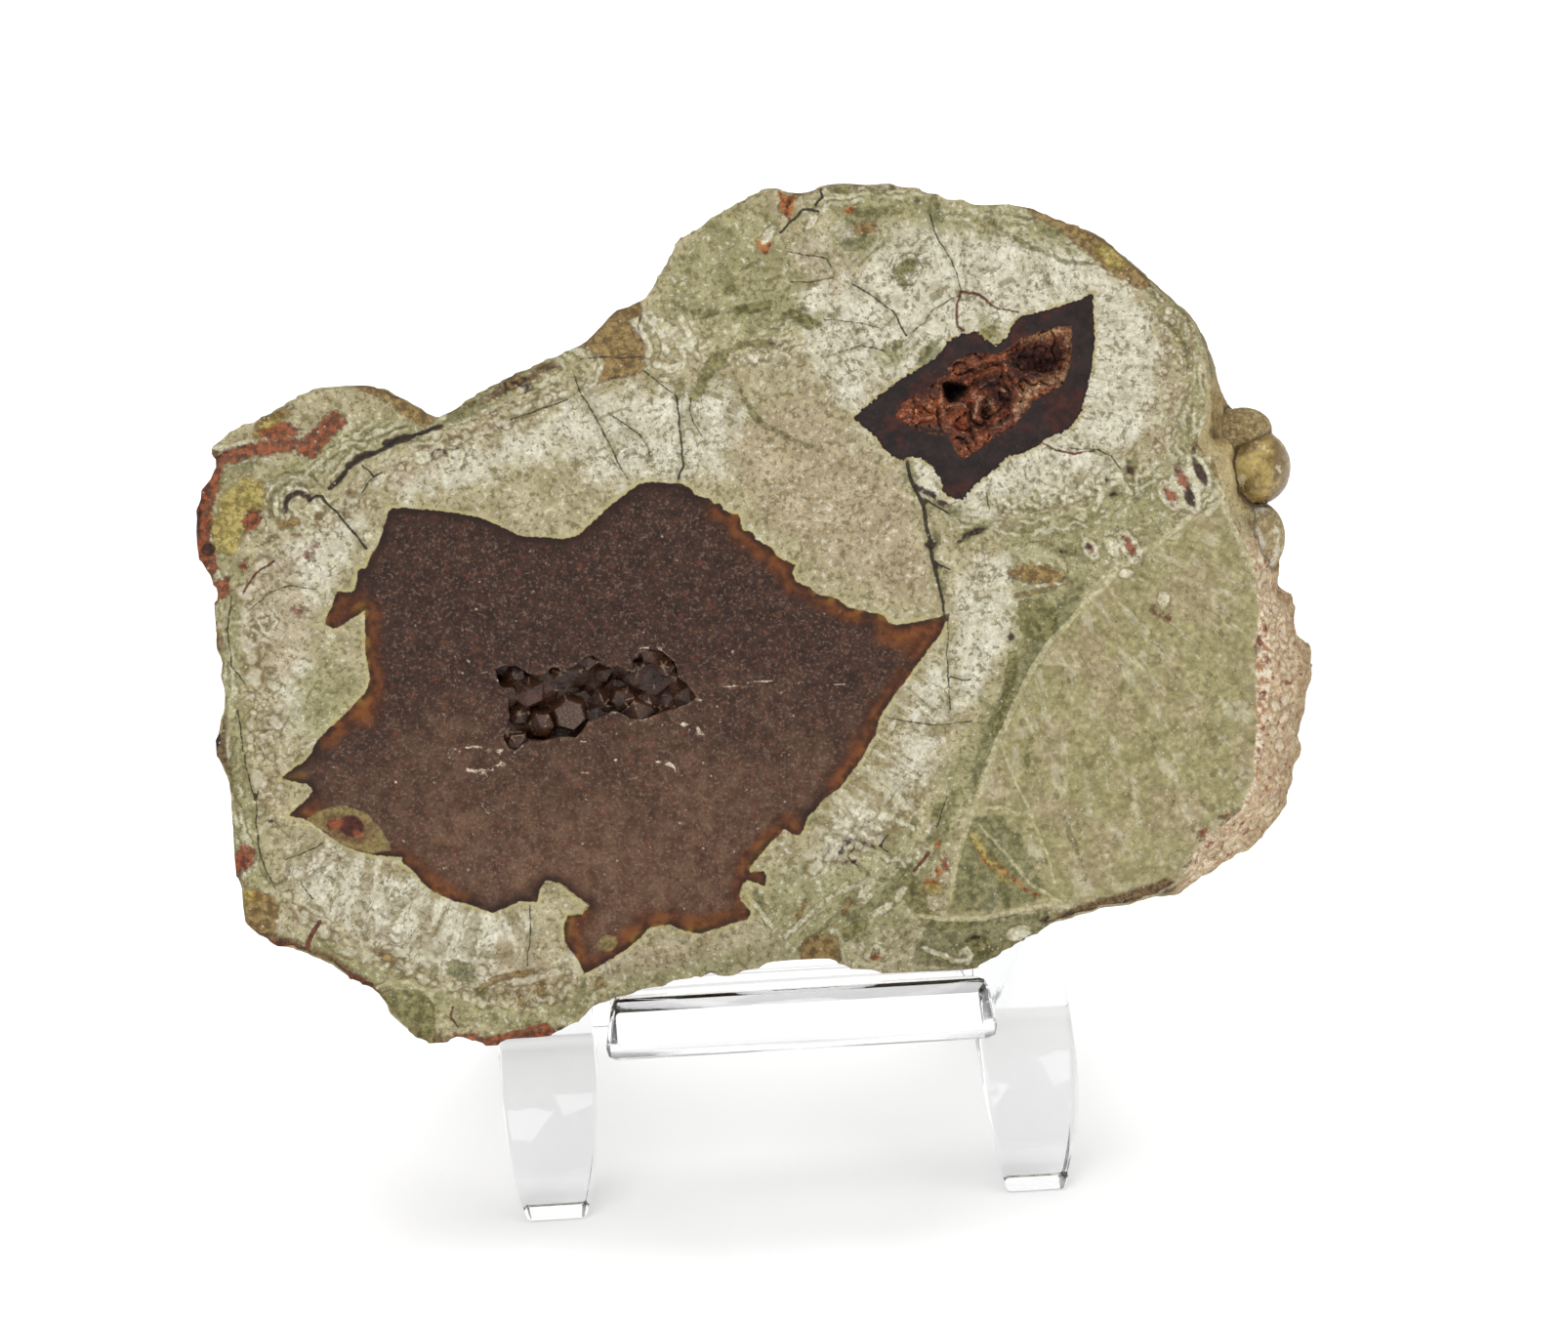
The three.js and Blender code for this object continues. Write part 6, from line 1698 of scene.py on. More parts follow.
def with_field(graph, colour, grain, fan):
    """The olive beige field on the right, with a pink mottle."""
    fine = graph.times(graph.plus(grain["Mottle"], graph.times(grain["Pebble"], 2.0)), 0.33)
    hatch = graph.clouds(0.36, 0.64, 1.5, 4.0, 0.7, graph.scaled((2.0, 2.0, 0.8), fan))
    fine = graph.plus(graph.times(fine, 0.35), graph.times(hatch, 0.65))
    tone = graph.graded(fine, (138, 131, 82), (184, 174, 128))
    pink = graph.graded(fine, (150, 132, 98), (200, 181, 150))
    tone = graph.lay(graph.clouds(0.44, 0.64, 0.22, 3.0, 0.6), 0.6, tone, pink)
    tone = graph.lay(grain["Seams"], 0.4, tone, (130, 122, 78))
    return graph.lay(graph.mask("field", 0.12, 0.16, 1.6), 0.92, colour, tone)


def with_streaks(graph, colour, fan):
    """Fine streaks, dashes and thin lines that fan out."""
    streaks = graph.mask("streaks", 1.0, 1.0, 0.4)
    threads = graph.noise(2.4, 3.0, 0.6, graph.scaled((1.0, 1.0, 0.13), fan))
    dashes = graph.noise(2.8, 2.0, 0.6, graph.scaled((1.0, 1.0, 0.34), fan))
    thin = graph.times(graph.fade(graph.apart(threads, 0.47), 0.012, 0.003), graph.clouds(0.5, 0.62, 0.9, 3.0))
    for shown, amount, tint in (
            (graph.fade(threads, 0.54, 0.62), 0.34, (224, 217, 192)),
            (graph.fade(threads, 0.43, 0.36), 0.34, (138, 127, 88)),
            (graph.fade(dashes, 0.62, 0.66), 0.6, (118, 107, 68)),
            (thin, 0.65, (106, 96, 62))):
        colour = graph.lay(graph.times(streaks, shown), amount, colour, tint)
    return colour


def with_ribs(graph, colour, fan):
    """Ribs that stand across the edge of the agate."""
    bend = graph.noise(0.9, colour=True)
    place = graph.shifted(bend, 0.9, graph.scaled((1.7, 1.7, 0.22), fan))
    ribs = graph.cells(1.0, place=place)["Distance"]
    columns = graph.mask("columns", 0.9, 1.2, 0.7)
    colour = graph.lay(graph.times(columns, graph.fade(ribs, 0.4, 0.2)), 0.3, colour, (240, 234, 212))
    gap = graph.times(graph.fade(ribs, 0.46, 0.6), graph.clouds(0.34, 0.54, 0.8))
    return graph.lay(graph.times(columns, gap), 0.5, colour, (134, 116, 76))


def with_bands(graph, colour):
    """Bands that follow the outside edge."""
    distance = graph.plus(graph.read("band_distance"), graph.wobble(2.4, 0.6, 4.0, 0.65))
    wave = graph.math("SINE", graph.times(distance, 9.2))
    banded = graph.times(graph.fade(graph.read("band_strength"), 0.05, 0.4), graph.clouds(0.42, 0.56, 0.5, 3.0))
    colour = graph.lay(graph.times(banded, graph.fade(wave, 0.4, 0.95)), 0.6, colour, (108, 102, 64))
    return graph.lay(graph.times(banded, graph.fade(wave, 0.1, -0.7)), 0.5, colour, (226, 220, 196))


def with_beads(graph, colour):
    """Packed beads, and rows of small ring marks."""
    beads = graph.group(crumb_group(), Bead_Scale=1.5)
    beaded = graph.times(graph.mask("beads", 0.6, 1.2, 0.8), graph.clouds(0.36, 0.56, 0.7))
    colour = graph.lay(graph.times(beaded, beads["Bead"]), 0.55, colour, (220, 210, 184))
    colour = graph.lay(graph.times(beaded, beads["Ring"]), 0.5, colour, (120, 94, 62))
    row = graph.plus(graph.read("bead_row"), graph.wobble(1.1, 1.6))
    colour = graph.lay(graph.fade(row, 1.0, 0.5), 0.5, colour, (222, 214, 190))
    ring = graph.times(graph.fade(row, 0.85, 1.1), graph.fade(row, 1.6, 1.25))
    return graph.lay(graph.times(ring, graph.clouds(0.4, 0.54, 0.6, 3.0)), 0.62, colour, (114, 92, 56))


def with_hairlines(graph, colour):
    """A network of hairlines, and the darker stone along the cracks."""
    bent = graph.shifted(graph.noise(0.8, 3.0, 0.6, colour=True), 2.0)
    walls = graph.cells(0.62, "DISTANCE_TO_EDGE", bent)["Distance"]
    hair = graph.times(graph.fade(walls, 0.035, 0.008), graph.clouds(0.5, 0.6, 0.7))
    colour = graph.lay(graph.times(hair, graph.mask("hairlines", 1.2, 1.4, 0.5)), 0.65, colour, (104, 90, 62))
    near_crack = graph.times(graph.fade(graph.read("crack"), -0.5, -0.05), graph.clouds(0.4, 0.6, 0.8))
    return graph.lay(near_crack, 0.5, colour, (140, 132, 88))


def with_patches(graph, colour, grain):
    """The brown skin along parts of the outside edge, then every patch of the pale stone."""
    skin = graph.fade(graph.plus(graph.read("outer_rim"), graph.wobble(1.2, 0.8, 3.0, 0.6)), 0.95, 0.6)
    skin = graph.times(skin, graph.mask("rust_rim", 0.4, 0.6, 0.8))
    colour = graph.lay(skin, 0.9, colour, graph.graded(grain["Grit"], (56, 36, 18), (120, 88, 50)))
    rim_gate = graph.clouds(0.38, 0.52, 1.1, 3.0, 0.6)
    blotch = graph.clouds(0.4, 0.6, 1.7, 4.0, 0.72)
    for name, low, high, softness, breakage, scale, share in FACE_TONES:
        found = graph.patch(name, softness, breakage, scale)
        colour = graph.lay(found["Mask"], share, colour, graph.graded(blotch, low, high))
        if name in EDGE_TONES:
            colour = graph.lay(graph.times(found["Rim"], rim_gate), 0.5, colour, EDGE_TONES[name])
    return colour


def with_pinholes(graph, colour):
    """Pinholes and pale grains."""
    pins = graph.cells(2.1)
    pin = graph.fade(pins["Distance"], 0.26, 0.12)
    kind = graph.noise(3.0, 0.0, place=pins["Position"])
    colour = graph.lay(graph.times(pin, graph.fade(kind, 0.6, 0.63)), 0.5, colour, (112, 92, 58))
    return graph.lay(graph.times(pin, graph.fade(kind, 0.4, 0.37)), 0.45, colour, (238, 230, 208))


def agate_colour(graph, grain, speck, mottled):
    """The big agate: brown, paler below, with specks, an amber rim that is partly painted glow, eyes, chips and a
    painted highlight along the main hollow's rim.
    """
    depth = graph.read("agate")
    cloud = graph.plus(graph.times(graph.axes()[1], -0.045), graph.times(graph.noise(0.16, 3.0, 0.6), 1.4))
    agate = graph.blend(graph.fade(cloud, -0.6, 0.4), graph.graded(mottled, (44, 24, 15), (66, 42, 31)),
                        graph.graded(mottled, (86, 57, 39), (112, 84, 63)))
    agate = graph.lay(graph.fade(speck, 0.52, 0.68), 0.54, agate, (150, 124, 106))
    agate = graph.lay(graph.fade(speck, 0.46, 0.32), 0.6, agate, (36, 21, 14))
    agate = graph.lay(graph.clouds(0.55, 0.68, 1.7, 3.0, 0.7), 0.45, agate, (120, 66, 44))
    flecks = graph.cells(1.6)
    size = graph.times(graph.clouds(0.5, 0.72, 2.4), 0.26)
    fleck = graph.fade(graph.minus(size, flecks["Distance"]), -0.02, 0.06)
    fleck_tone = graph.graded(graph.fade(flecks["Color"], 0.5, 0.56), (150, 92, 70), (205, 190, 174))
    agate = graph.lay(fleck, 0.5, agate, fleck_tone)
    # The amber along parts of the rim is partly the agate's own colour and partly painted glow of light through its
    # thin edge.
    amber = graph.mask("amber", 1.0, 0.8, 0.7)
    ragged = graph.plus(depth, graph.times(graph.noise(0.9, 3.0), 0.5))
    rim = graph.fade(graph.math("DIVIDE", ragged, graph.plus(1.3, graph.times(amber, 1.9))), 1.3, 0.25)
    rim_tone = graph.blend(amber, graph.graded(mottled, (32, 13, 6), (60, 29, 14)),
                           graph.graded(mottled, (80, 37, 9), (132, 74, 26)))
    agate = graph.lay(rim, 0.85, agate, rim_tone)
    agate = graph.lay(graph.mask("ochre_rim", 0.4, 0.5, 1.2), 0.75, agate, (134, 98, 36))
    line = graph.times(graph.fade(depth, 0.66, 0.14), graph.clouds(0.34, 0.52, 0.9))
    agate = graph.lay(line, 0.82, agate, (38, 18, 9))
    for name, low, high, softness, breakage, scale, share in AGATE_TONES:
        tone = graph.graded(grain["Grit"], low, high)
        agate = graph.lay(graph.mask(name, softness, breakage, scale), share, agate, tone)
    # Painted highlight along the rim of the main hollow, broken up like chips.
    mouth = graph.fade(graph.read("main_hollow"), -0.4, -0.05)
    mouth_highlight = graph.times(mouth, graph.clouds(0.53, 0.6, 1.1, 3.0, 0.65))
    return graph.lay(mouth_highlight, 0.3, agate, (150, 124, 100))


def lens_colour(graph, speck, mottled):
    """The dark lens: nearly black with warm clouds."""
    tone = graph.graded(mottled, (28, 19, 18), (46, 33, 31))
    warm = graph.graded(mottled, (44, 18, 14), (76, 34, 25))
    tone = graph.lay(graph.clouds(0.5, 0.6, 0.28, 3.0, 0.6), 0.8, tone, warm)
    tone = graph.lay(graph.fade(graph.read("lens"), 0.34, 0.04), 0.8, tone, (30, 12, 8))
    tone = graph.lay(graph.fade(speck, 0.56, 0.74), 0.35, tone, (110, 72, 56))
    return graph.lay(graph.fade(graph.read("lens_hollow"), -0.12, 0.1), 0.7, tone, (74, 38, 26))


def with_halo(graph, colour, name, start, tint):
    """A yellowish line in the pale stone along a dark part."""
    halo = graph.times(graph.fade(graph.read(name), *start), graph.clouds(0.36, 0.54, 0.5))
    return graph.lay(halo, 0.6, colour, tint)


def face_material(settings):
    """The polished face: pale stone with its patches, the big agate and the dark lens."""
    existing = bpy.data.materials.get("Polished face")
    if existing:
        return existing
    material, graph, shader = new_stone_material("Polished face")
    grain = graph.group(grain_group(), Grain_Scale=settings.grain_scale)
    fan = graph.read("fan", vector=True)
    colour = matrix_colour(graph, grain)
    colour = with_field(graph, colour, grain, fan)
    colour = with_streaks(graph, colour, fan)
    colour = with_ribs(graph, colour, fan)
    colour = with_bands(graph, colour)
    colour = with_beads(graph, colour)
    colour = with_hairlines(graph, colour)
    colour = with_patches(graph, colour, grain)
    colour = with_pinholes(graph, colour)
    colour = weathered(graph, colour, grain, 0.2, 0.93)

    speck = graph.noise(4.2, 3.0, 0.75)
    mottled = graph.clouds(0.34, 0.66, 0.8, 4.0, 0.65)
    in_agate = graph.mask("agate", 0.05, 0.16, 2.4)
    in_lens = graph.mask("lens", 0.04, 0.3, 3.2)
    colour = with_halo(graph, colour, "agate", (-0.42, -0.12), (190, 180, 124))
    colour = graph.blend(in_agate, colour, agate_colour(graph, grain, speck, mottled))
    colour = with_halo(graph, colour, "lens", (-0.36, -0.1), (176, 160, 96))
    colour = graph.blend(in_lens, colour, lens_colour(graph, speck, mottled))
    graph.feed(shader.inputs["Base Color"], colour)

    rough = graph.plus(0.42, graph.times(speck, 0.3))
    dark_part = graph.math("MAXIMUM", in_agate, in_lens)
    graph.feed(shader.inputs["Roughness"], graph.minus(rough, graph.times(dark_part, 0.08)))
    shader.inputs["Specular IOR Level"].default_value = 0.34
    relief = graph.plus(graph.times(grain["Pebble"], 0.4), graph.times(speck, 0.6))
    relief = graph.minus(relief, graph.times(graph.mask("crack", 0.08, 0.06, 3.0), 0.8))
    add_bump(graph, shader, relief, 0.00012, 0.5)
    return material


def rind_base(graph, fine, dent, patch):
    """Earthy brown and olive, with painted highlight on the heights and painted shade in the dents."""
    colour = graph.graded(fine, (112, 92, 50), (156, 138, 86))
    olive = graph.graded(fine, (132, 124, 82), (172, 164, 122))
    colour = graph.blend(graph.clouds(0.42, 0.6, 0.12, 4.0, 0.6), colour, olive)
    colour = graph.lay(graph.fade(patch, 0.6, 0.64), 0.7, colour, graph.graded(fine, (96, 48, 30), (156, 92, 62)))
    colour = graph.lay(graph.fade(patch, 0.38, 0.34), 0.6, colour, graph.graded(fine, (118, 98, 44), (164, 146, 80)))
    # Painted highlight: paler where the rind is least dented, on its heights.
    colour = graph.lay(graph.fade(dent, 0.3, 0.12), 0.55, colour, (196, 184, 148))
    # Painted shade: darker where the rind is dented deepest.
    return graph.lay(graph.fade(dent, 0.36, 0.62), 0.8, colour, (70, 52, 30))


def with_sides(graph, colour, grain, n):
    """The colours of the face reach a little way down the sides."""
    near_face = graph.fade(n, -1.6, -0.5)
    for name, low, high, softness, breakage, scale, share in RIND_TONES:
        shown = graph.times(graph.mask(name, softness, breakage, scale), near_face)
        colour = graph.lay(shown, share, colour, graph.graded(grain["Mottle"], low, high))
    return colour


def crust_share(graph, u, v, n):
    """Where the crust lies: on the right edge and at the low corner."""
    low_corner = graph.times(graph.fade(u, 30.5, 32.5), graph.fade(v, 14.0, 12.0))
    below = graph.fade(graph.plus(v, graph.times(graph.noise(0.5), 4.0)), 37.5, 34.0)
    crust = graph.times(graph.math("MAXIMUM", graph.fade(u, 33.5, 36.5), low_corner), below)
    return graph.times(crust, graph.fade(n, -9.5, -7.5))


def crust_colour(graph, fine, dent, beads, n):
    """Pink-white crust with brown gaps darkened by painted shade between its lumps, and dark red specks."""
    tone = graph.graded(fine, (206, 180, 138), (240, 222, 190))
    # The dark ring round each bead is partly the crust's brown gaps and partly painted shade between the lumps that
    # the bump raises.
    tone = graph.lay(beads["Ring"], 0.55, tone, (156, 112, 70))
    tone = graph.lay(beads["Bead"], 0.5, tone, (242, 232, 212))
    tone = graph.lay(graph.clouds(0.5, 0.6, 0.3, 3.0, 0.6), 0.5, tone, (212, 180, 142))
    tone = graph.lay(graph.fade(n, -1.4, -3.0), 0.66, tone, graph.graded(fine, (136, 108, 66), (190, 164, 118)))
    # Darker brown where the crust is dented deeper: partly its brown gaps, partly painted shade in them.
    between = graph.times(graph.fade(dent, 0.42, 0.7), graph.clouds(0.4, 0.56, 0.45, 3.0, 0.6))
    tone = graph.lay(between, 0.7, tone, graph.graded(fine, (112, 66, 38), (160, 112, 70)))
    bent = graph.shifted(graph.noise(0.9, 3.0, 0.6, colour=True), 1.4)
    walls = graph.cells(0.7, "DISTANCE_TO_EDGE", bent)["Distance"]
    veined = graph.times(graph.fade(walls, 0.2, 0.05), graph.clouds(0.5, 0.58, 0.7, 3.0))
    tone = graph.lay(veined, 0.45, tone, (148, 98, 56))
    return graph.lay(graph.clouds(0.63, 0.66, 1.5, 2.0, 0.6), 0.8, tone, (134, 62, 32))


def with_upper_crust(graph, colour, fine, dent, patch, u, v):
    """Granular olive-brown crust above and round the nodule, with painted highlight on its heights and painted shade
    in its dents.
    """
    upper = graph.times(graph.fade(u, 32.5, 34.5), graph.fade(v, 34.6, 36.4))
    upper = graph.times(upper, graph.fade(graph.plus(v, graph.times(patch, 8.0)), 52.0, 49.0))
    tone = graph.graded(fine, (122, 96, 50), (192, 168, 112))
    # Painted highlight: paler where the crust is least dented.
    tone = graph.lay(graph.fade(dent, 0.34, 0.2), 0.6, tone, (214, 196, 148))
    # Painted shade: dark where the crust is dented deepest.
    tone = graph.lay(graph.fade(dent, 0.42, 0.64), 0.85, tone, (66, 44, 22))
    return graph.lay(upper, 0.9, colour, tone)


def with_lumps(graph, colour, fine, patch):
    """The lumps above and below the nodule, and painted shadow in the gaps under the lower lump and round the
    nodule.
    """
    top = graph.fade(graph.read("upper_lump"), -0.35, -0.1)
    colour = graph.lay(top, 0.85, colour, graph.graded(fine, (128, 102, 54), (204, 184, 132)))
    lower, nodule = graph.read("lower_lump"), graph.read("nodule")
    lump = graph.fade(lower, -0.35, -0.1)
    colour = graph.lay(lump, 0.9, colour, graph.graded(fine, (158, 136, 88), (212, 196, 154)))
    colour = graph.lay(graph.times(lump, graph.fade(patch, 0.5, 0.54)), 0.7, colour, (236, 228, 208))
    # Painted shadow in the gap under the lower lump.
    under = graph.times(graph.fade(lower, -0.6, -0.2), graph.fade(lower, 0.02, -0.16))
    colour = graph.lay(under, 0.6, colour, (70, 42, 24))
    # Painted shadow in the gap round the nodule.
    shadow_round_nodule = graph.times(graph.fade(nodule, -0.7, -0.3), graph.fade(nodule, 0.0, -0.2))
    return graph.lay(shadow_round_nodule, 0.7, colour, (58, 36, 18))


def ball_colour(graph, u, v):
    """The smooth yellow nodule, with painted shade towards its top and bottom."""
    tone = graph.graded(graph.clouds(0.4, 0.6, 0.5, 4.0, 0.6), (112, 88, 38), (184, 160, 92))
    # Brown at the top: partly the nodule's own cap, partly painted shade to round it.
    tone = graph.lay(graph.fade(v, 40.4, 41.6), 0.5, tone, (120, 82, 46))
    # Painted shade: darker towards the nodule's bottom.
    tone = graph.lay(graph.fade(v, 37.4, 36.2), 0.6, tone, (112, 78, 50))
    tone = graph.lay(graph.fade(u, 39.9, 41.6), 0.6, tone, (132, 112, 88))
    return graph.lay(graph.clouds(0.6, 0.64, 0.8, 3.0, 0.6), 0.6, tone, (222, 206, 166))


def rind_material(settings):
    """The rough outside: earthy brown and olive, the crust on the right and the yellow nodule."""
    material, graph, shader = new_stone_material("Rough rind")
    grain = graph.group(grain_group(), Grain_Scale=settings.grain_scale * 0.9)
    beads = graph.group(crumb_group(), Bead_Scale=0.85)
    u, v, n = graph.axes()
    dent = graph.plus(graph.read("dent"), graph.times(graph.minus(grain["Grit"], 0.5), 0.16))
    fine = graph.times(graph.plus(grain["Grit"], grain["Mottle"]), 0.5)
    patch = graph.noise(0.2, 4.0, 0.6, graph.scaled((1.0, 1.0, 1.6)))
    colour = with_sides(graph, rind_base(graph, fine, dent, patch), grain, n)
    crust = crust_share(graph, u, v, n)
    colour = graph.lay(crust, 0.94, colour, crust_colour(graph, fine, dent, beads, n))
    colour = with_upper_crust(graph, colour, fine, dent, patch, u, v)
    colour = with_lumps(graph, colour, fine, patch)
    ball = graph.fade(graph.read("nodule"), -0.3, -0.1)
    colour = graph.blend(ball, colour, ball_colour(graph, u, v))
    seams = graph.times(grain["Seams"], graph.minus(0.6, graph.times(ball, 0.5)))
    colour = graph.blend(seams, colour, display_tone(70, 52, 30))
    graph.feed(shader.inputs["Base Color"], weathered(graph, colour, grain, 0.2))

    rough = graph.plus(0.62, graph.times(grain["Mottle"], 0.25))
    graph.feed(shader.inputs["Roughness"], graph.minus(rough, graph.times(ball, 0.6)))
    shader.inputs["Specular IOR Level"].default_value = 0.5
    height = graph.plus(graph.plus(grain["Pebble"], grain["Grit"]), graph.times(beads["Bead"], crust))
    height = graph.times(height, graph.minus(1.0, graph.times(ball, 0.85)))
    add_bump(graph, shader, height, 0.0004, 0.6)
    return material


def crystal_material(settings):
    """Dark brown glassy crystals with painted highlights on their edges and painted shade deep down and in the seams
    between them.
    """
    material, graph, shader = new_stone_material("Dark crystals")
    grain = graph.group(grain_group(), Grain_Scale=settings.grain_scale)
    n = graph.axes()[2]
    colour = graph.graded(graph.clouds(0.35, 0.65, 0.45, 3.0, 0.6), (44, 23, 14), (82, 52, 36))
    colour = graph.lay(grain["Seams"], 0.4, colour, (40, 24, 16))
    # Painted shade: darker deeper in the hollow.
    colour = graph.lay(graph.fade(n, -1.0, -2.6), 0.6, colour, (48, 27, 16))
    # Painted shade in the seams where two crystals meet.
    colour = graph.lay(graph.fade(graph.read("crystal_seam"), 0.14, 0.02), 0.55, colour, (38, 22, 14))
    # Painted highlight along the crystals' edges.
    edges = graph.times(graph.fade(graph.read("crystal_edge"), 0.08, 0.02), graph.clouds(0.54, 0.62, 0.7, 3.0, 0.7))
    colour = graph.lay(edges, 0.7, colour, (190, 160, 130))
    cut = graph.fade(n, -0.34, -0.2)
    cut_tone = graph.graded(graph.clouds(0.36, 0.66, 5.2, 3.0, 0.72), (60, 42, 33), (108, 86, 72))
    graph.feed(shader.inputs["Base Color"], graph.blend(cut, colour, cut_tone))
    graph.feed(shader.inputs["Roughness"], graph.plus(0.16, graph.times(graph.plus(grain["Grit"], cut), 0.2)))
    add_bump(graph, shader, grain["Grit"], 0.00008, 0.4)
    return material


def lining_material(settings):
    """The lens lining: red-brown with orange, tan and nearly black parts; the black in its pit and gaps, its dark
    rings and crevices are painted shade, and some pale lines are painted highlights.
    """
    material, graph, shader = new_stone_material("Lens lining")
    grain = graph.group(grain_group(), Grain_Scale=settings.grain_scale)
    beads = graph.group(crumb_group(), Bead_Scale=1.5)
    colour = graph.graded(grain["Mottle"], (104, 50, 27), (188, 102, 58))
    for name, low, high, softness in LINING_TONES:
        tone = graph.graded(grain["Mottle"], low, high)
        colour = graph.lay(graph.mask(name, softness, 0.4, 1.8), 0.85, colour, tone)
    # Painted shade: the dark ring round each bead that the bump raises.
    colour = graph.lay(beads["Ring"], 0.45, colour, (44, 18, 10))
    colour = graph.lay(grain["Seams"], 0.6, colour, (36, 16, 10))
    colour = graph.lay(graph.clouds(0.6, 0.72, 3.0, 3.0, 0.7), 0.4, colour, (212, 158, 116))
    # Pale lines and spots, partly painted highlights on crests.
    colour = graph.lay(graph.mask("pale_lines_and_highlights", 0.06, 0.24, 2.2), 0.75, colour, (226, 176, 142))
    # Painted shade in thin dark crevices.
    crevice = graph.fade(graph.apart(graph.noise(1.1, 4.0, 0.7), 0.5), 0.035, 0.006)
    colour = graph.lay(crevice, 0.75, colour, (34, 14, 10))
    graph.feed(shader.inputs["Base Color"], weathered(graph, colour, grain, 0.4))
    graph.feed(shader.inputs["Roughness"], graph.plus(0.32, graph.times(grain["Mottle"], 0.3)))
    height = graph.plus(graph.plus(grain["Pebble"], grain["Grit"]), graph.times(beads["Bead"], 0.6))
    add_bump(graph, shader, height, 0.0004, 0.8)
    return material


def clear_material():
    """Clear plastic with faint smears and scratches."""
    material, graph, shader = new_material("Clear plastic")
    graph.place = graph.node("ShaderNodeTexCoord").outputs["Object"]
    smear = graph.noise(1.0, 4.0, 0.6, graph.scaled((90, 90, 30)))
    scratch = graph.noise(1.0, 3.0, 0.7, graph.scaled((900, 900, 60)))
    # The faint grey of the base colour is painted shade: it stands in for the darker surroundings seen in the
    # plastic.
    shader.inputs["Base Color"].default_value = (0.945, 0.948, 0.955, 1)
    shader.inputs["Transmission Weight"].default_value = 1.0
    shader.inputs["IOR"].default_value = 1.49
    graph.feed(shader.inputs["Roughness"], graph.times(graph.fade(smear, 0.5, 0.8), 0.06))
    add_bump(graph, shader, graph.plus(smear, graph.times(scratch, 0.2)), 0.00006, 0.2)
    return material


def bezier(start, first, second, end, count):
    """Places along a cubic curve, without its start."""
    result = []
    for i in range(1, count + 1):
        t = i / count
        s = 1 - t
        weights = (s ** 3, 3 * s * s * t, 3 * s * t * t, t ** 3)
        result.append(tuple(sum(w * p[k] for w, p in zip(weights, (start, first, second, end))) for k in (0, 1)))
    return result


def rounded_tip(top, top_back):
    """The rounded top end of a strip, from its front corner to near its back corner."""
    peak = (top.x + 1.1, top.y + 2.6)
    end = (top_back.x + 1.6, top_back.y + 0.6)
    first = (top.x + (peak[0] - top.x) * 2 / 3, top.y + (peak[1] - top.y) * 2 / 3)
    second = (end[0] + (peak[0] - end[0]) * 2 / 3, end[1] + (peak[1] - end[1]) * 2 / 3)
    return bezier(tuple(top), first, second, end, TIP_STEPS)


def strip_outline():
    """The bent strip seen along X, as places of Y from the foot line and Z."""
    along = Vector((math.sin(LEAN), math.cos(LEAN)))
    behind = Vector((math.cos(LEAN), -math.sin(LEAN)))
    rest = Vector((0, FACE_FOOT[2])) + behind * -BACK_OF_STONE
    bend = rest + along * BACKREST_FOOT
    top = rest + along * BACKREST_TOP
    bend_back = bend + behind * (SHEET * 0.9) - along * (SHEET * 0.5)
    top_back = top + behind * SHEET
    foot = FRONT_FOOT
    outline = [(foot, 0.0)]
    outline += bezier((foot, 0), (foot - 0.2, 6), (foot + 3.4, 9.6), tuple(bend), CURVE_STEPS)
    outline.append(tuple(top))
    outline += rounded_tip(top, top_back)
    outline += [(LEG_REACH, 0.0), (LEG_REACH - SHEET * 1.15, 0.0), (top_back.x - 0.9, top_back.y - 7.5)]
    outline.append(tuple(bend_back))
    outline += bezier(tuple(bend_back), (foot + 7.2, 8), (foot + 4.4, 5), (foot + 4.2, 0), CURVE_STEPS)
    return outline


def strip_half_width(z):
    """Half width of a strip at a height: it narrows to the foot."""
    if z >= NARROW_BELOW:
        return STRIP_HALF
    t = max(z, 0) / NARROW_BELOW
    return FOOT_HALF + (STRIP_HALF - FOOT_HALF) * (1 - (1 - t) ** 1.8)


def round_edges(part, width, segments):
    """Rounds the sharp edges of a part."""
    bmesh.ops.recalc_face_normals(part, faces=part.faces)
    corners = [e for e in part.edges if e.is_manifold and e.calc_face_angle(0) > math.radians(35)]
    bmesh.ops.bevel(part, geom=corners, offset=width, segments=segments, affect="EDGES", profile=0.5,
                    clamp_overlap=True)


def strip_mesh(side, settings):
    """One bent strip of the stand."""
    outline = strip_outline()
    part = bmesh.new()
    lower, upper = [], []
    for y, z in outline:
        half = strip_half_width(z)
        lower.append(part.verts.new((side * STRIP_X - half, y, z)))
        upper.append(part.verts.new((side * STRIP_X + half, y, z)))
    part.faces.new(lower)
    part.faces.new(upper[::-1])
    for i in range(len(outline)):
        j = (i + 1) % len(outline)
        part.faces.new((lower[i], upper[i], upper[j], lower[j]))
    round_edges(part, settings.edge_radius * MM_IN_METRE, 3)
    return part


def slab_corners(half, low, high, top_half=None):
    """Corners U V of a slab, which may narrow to its top."""
    top_half = top_half or half
    return [(-half, low), (half, low), (top_half, high), (-top_half, high)]


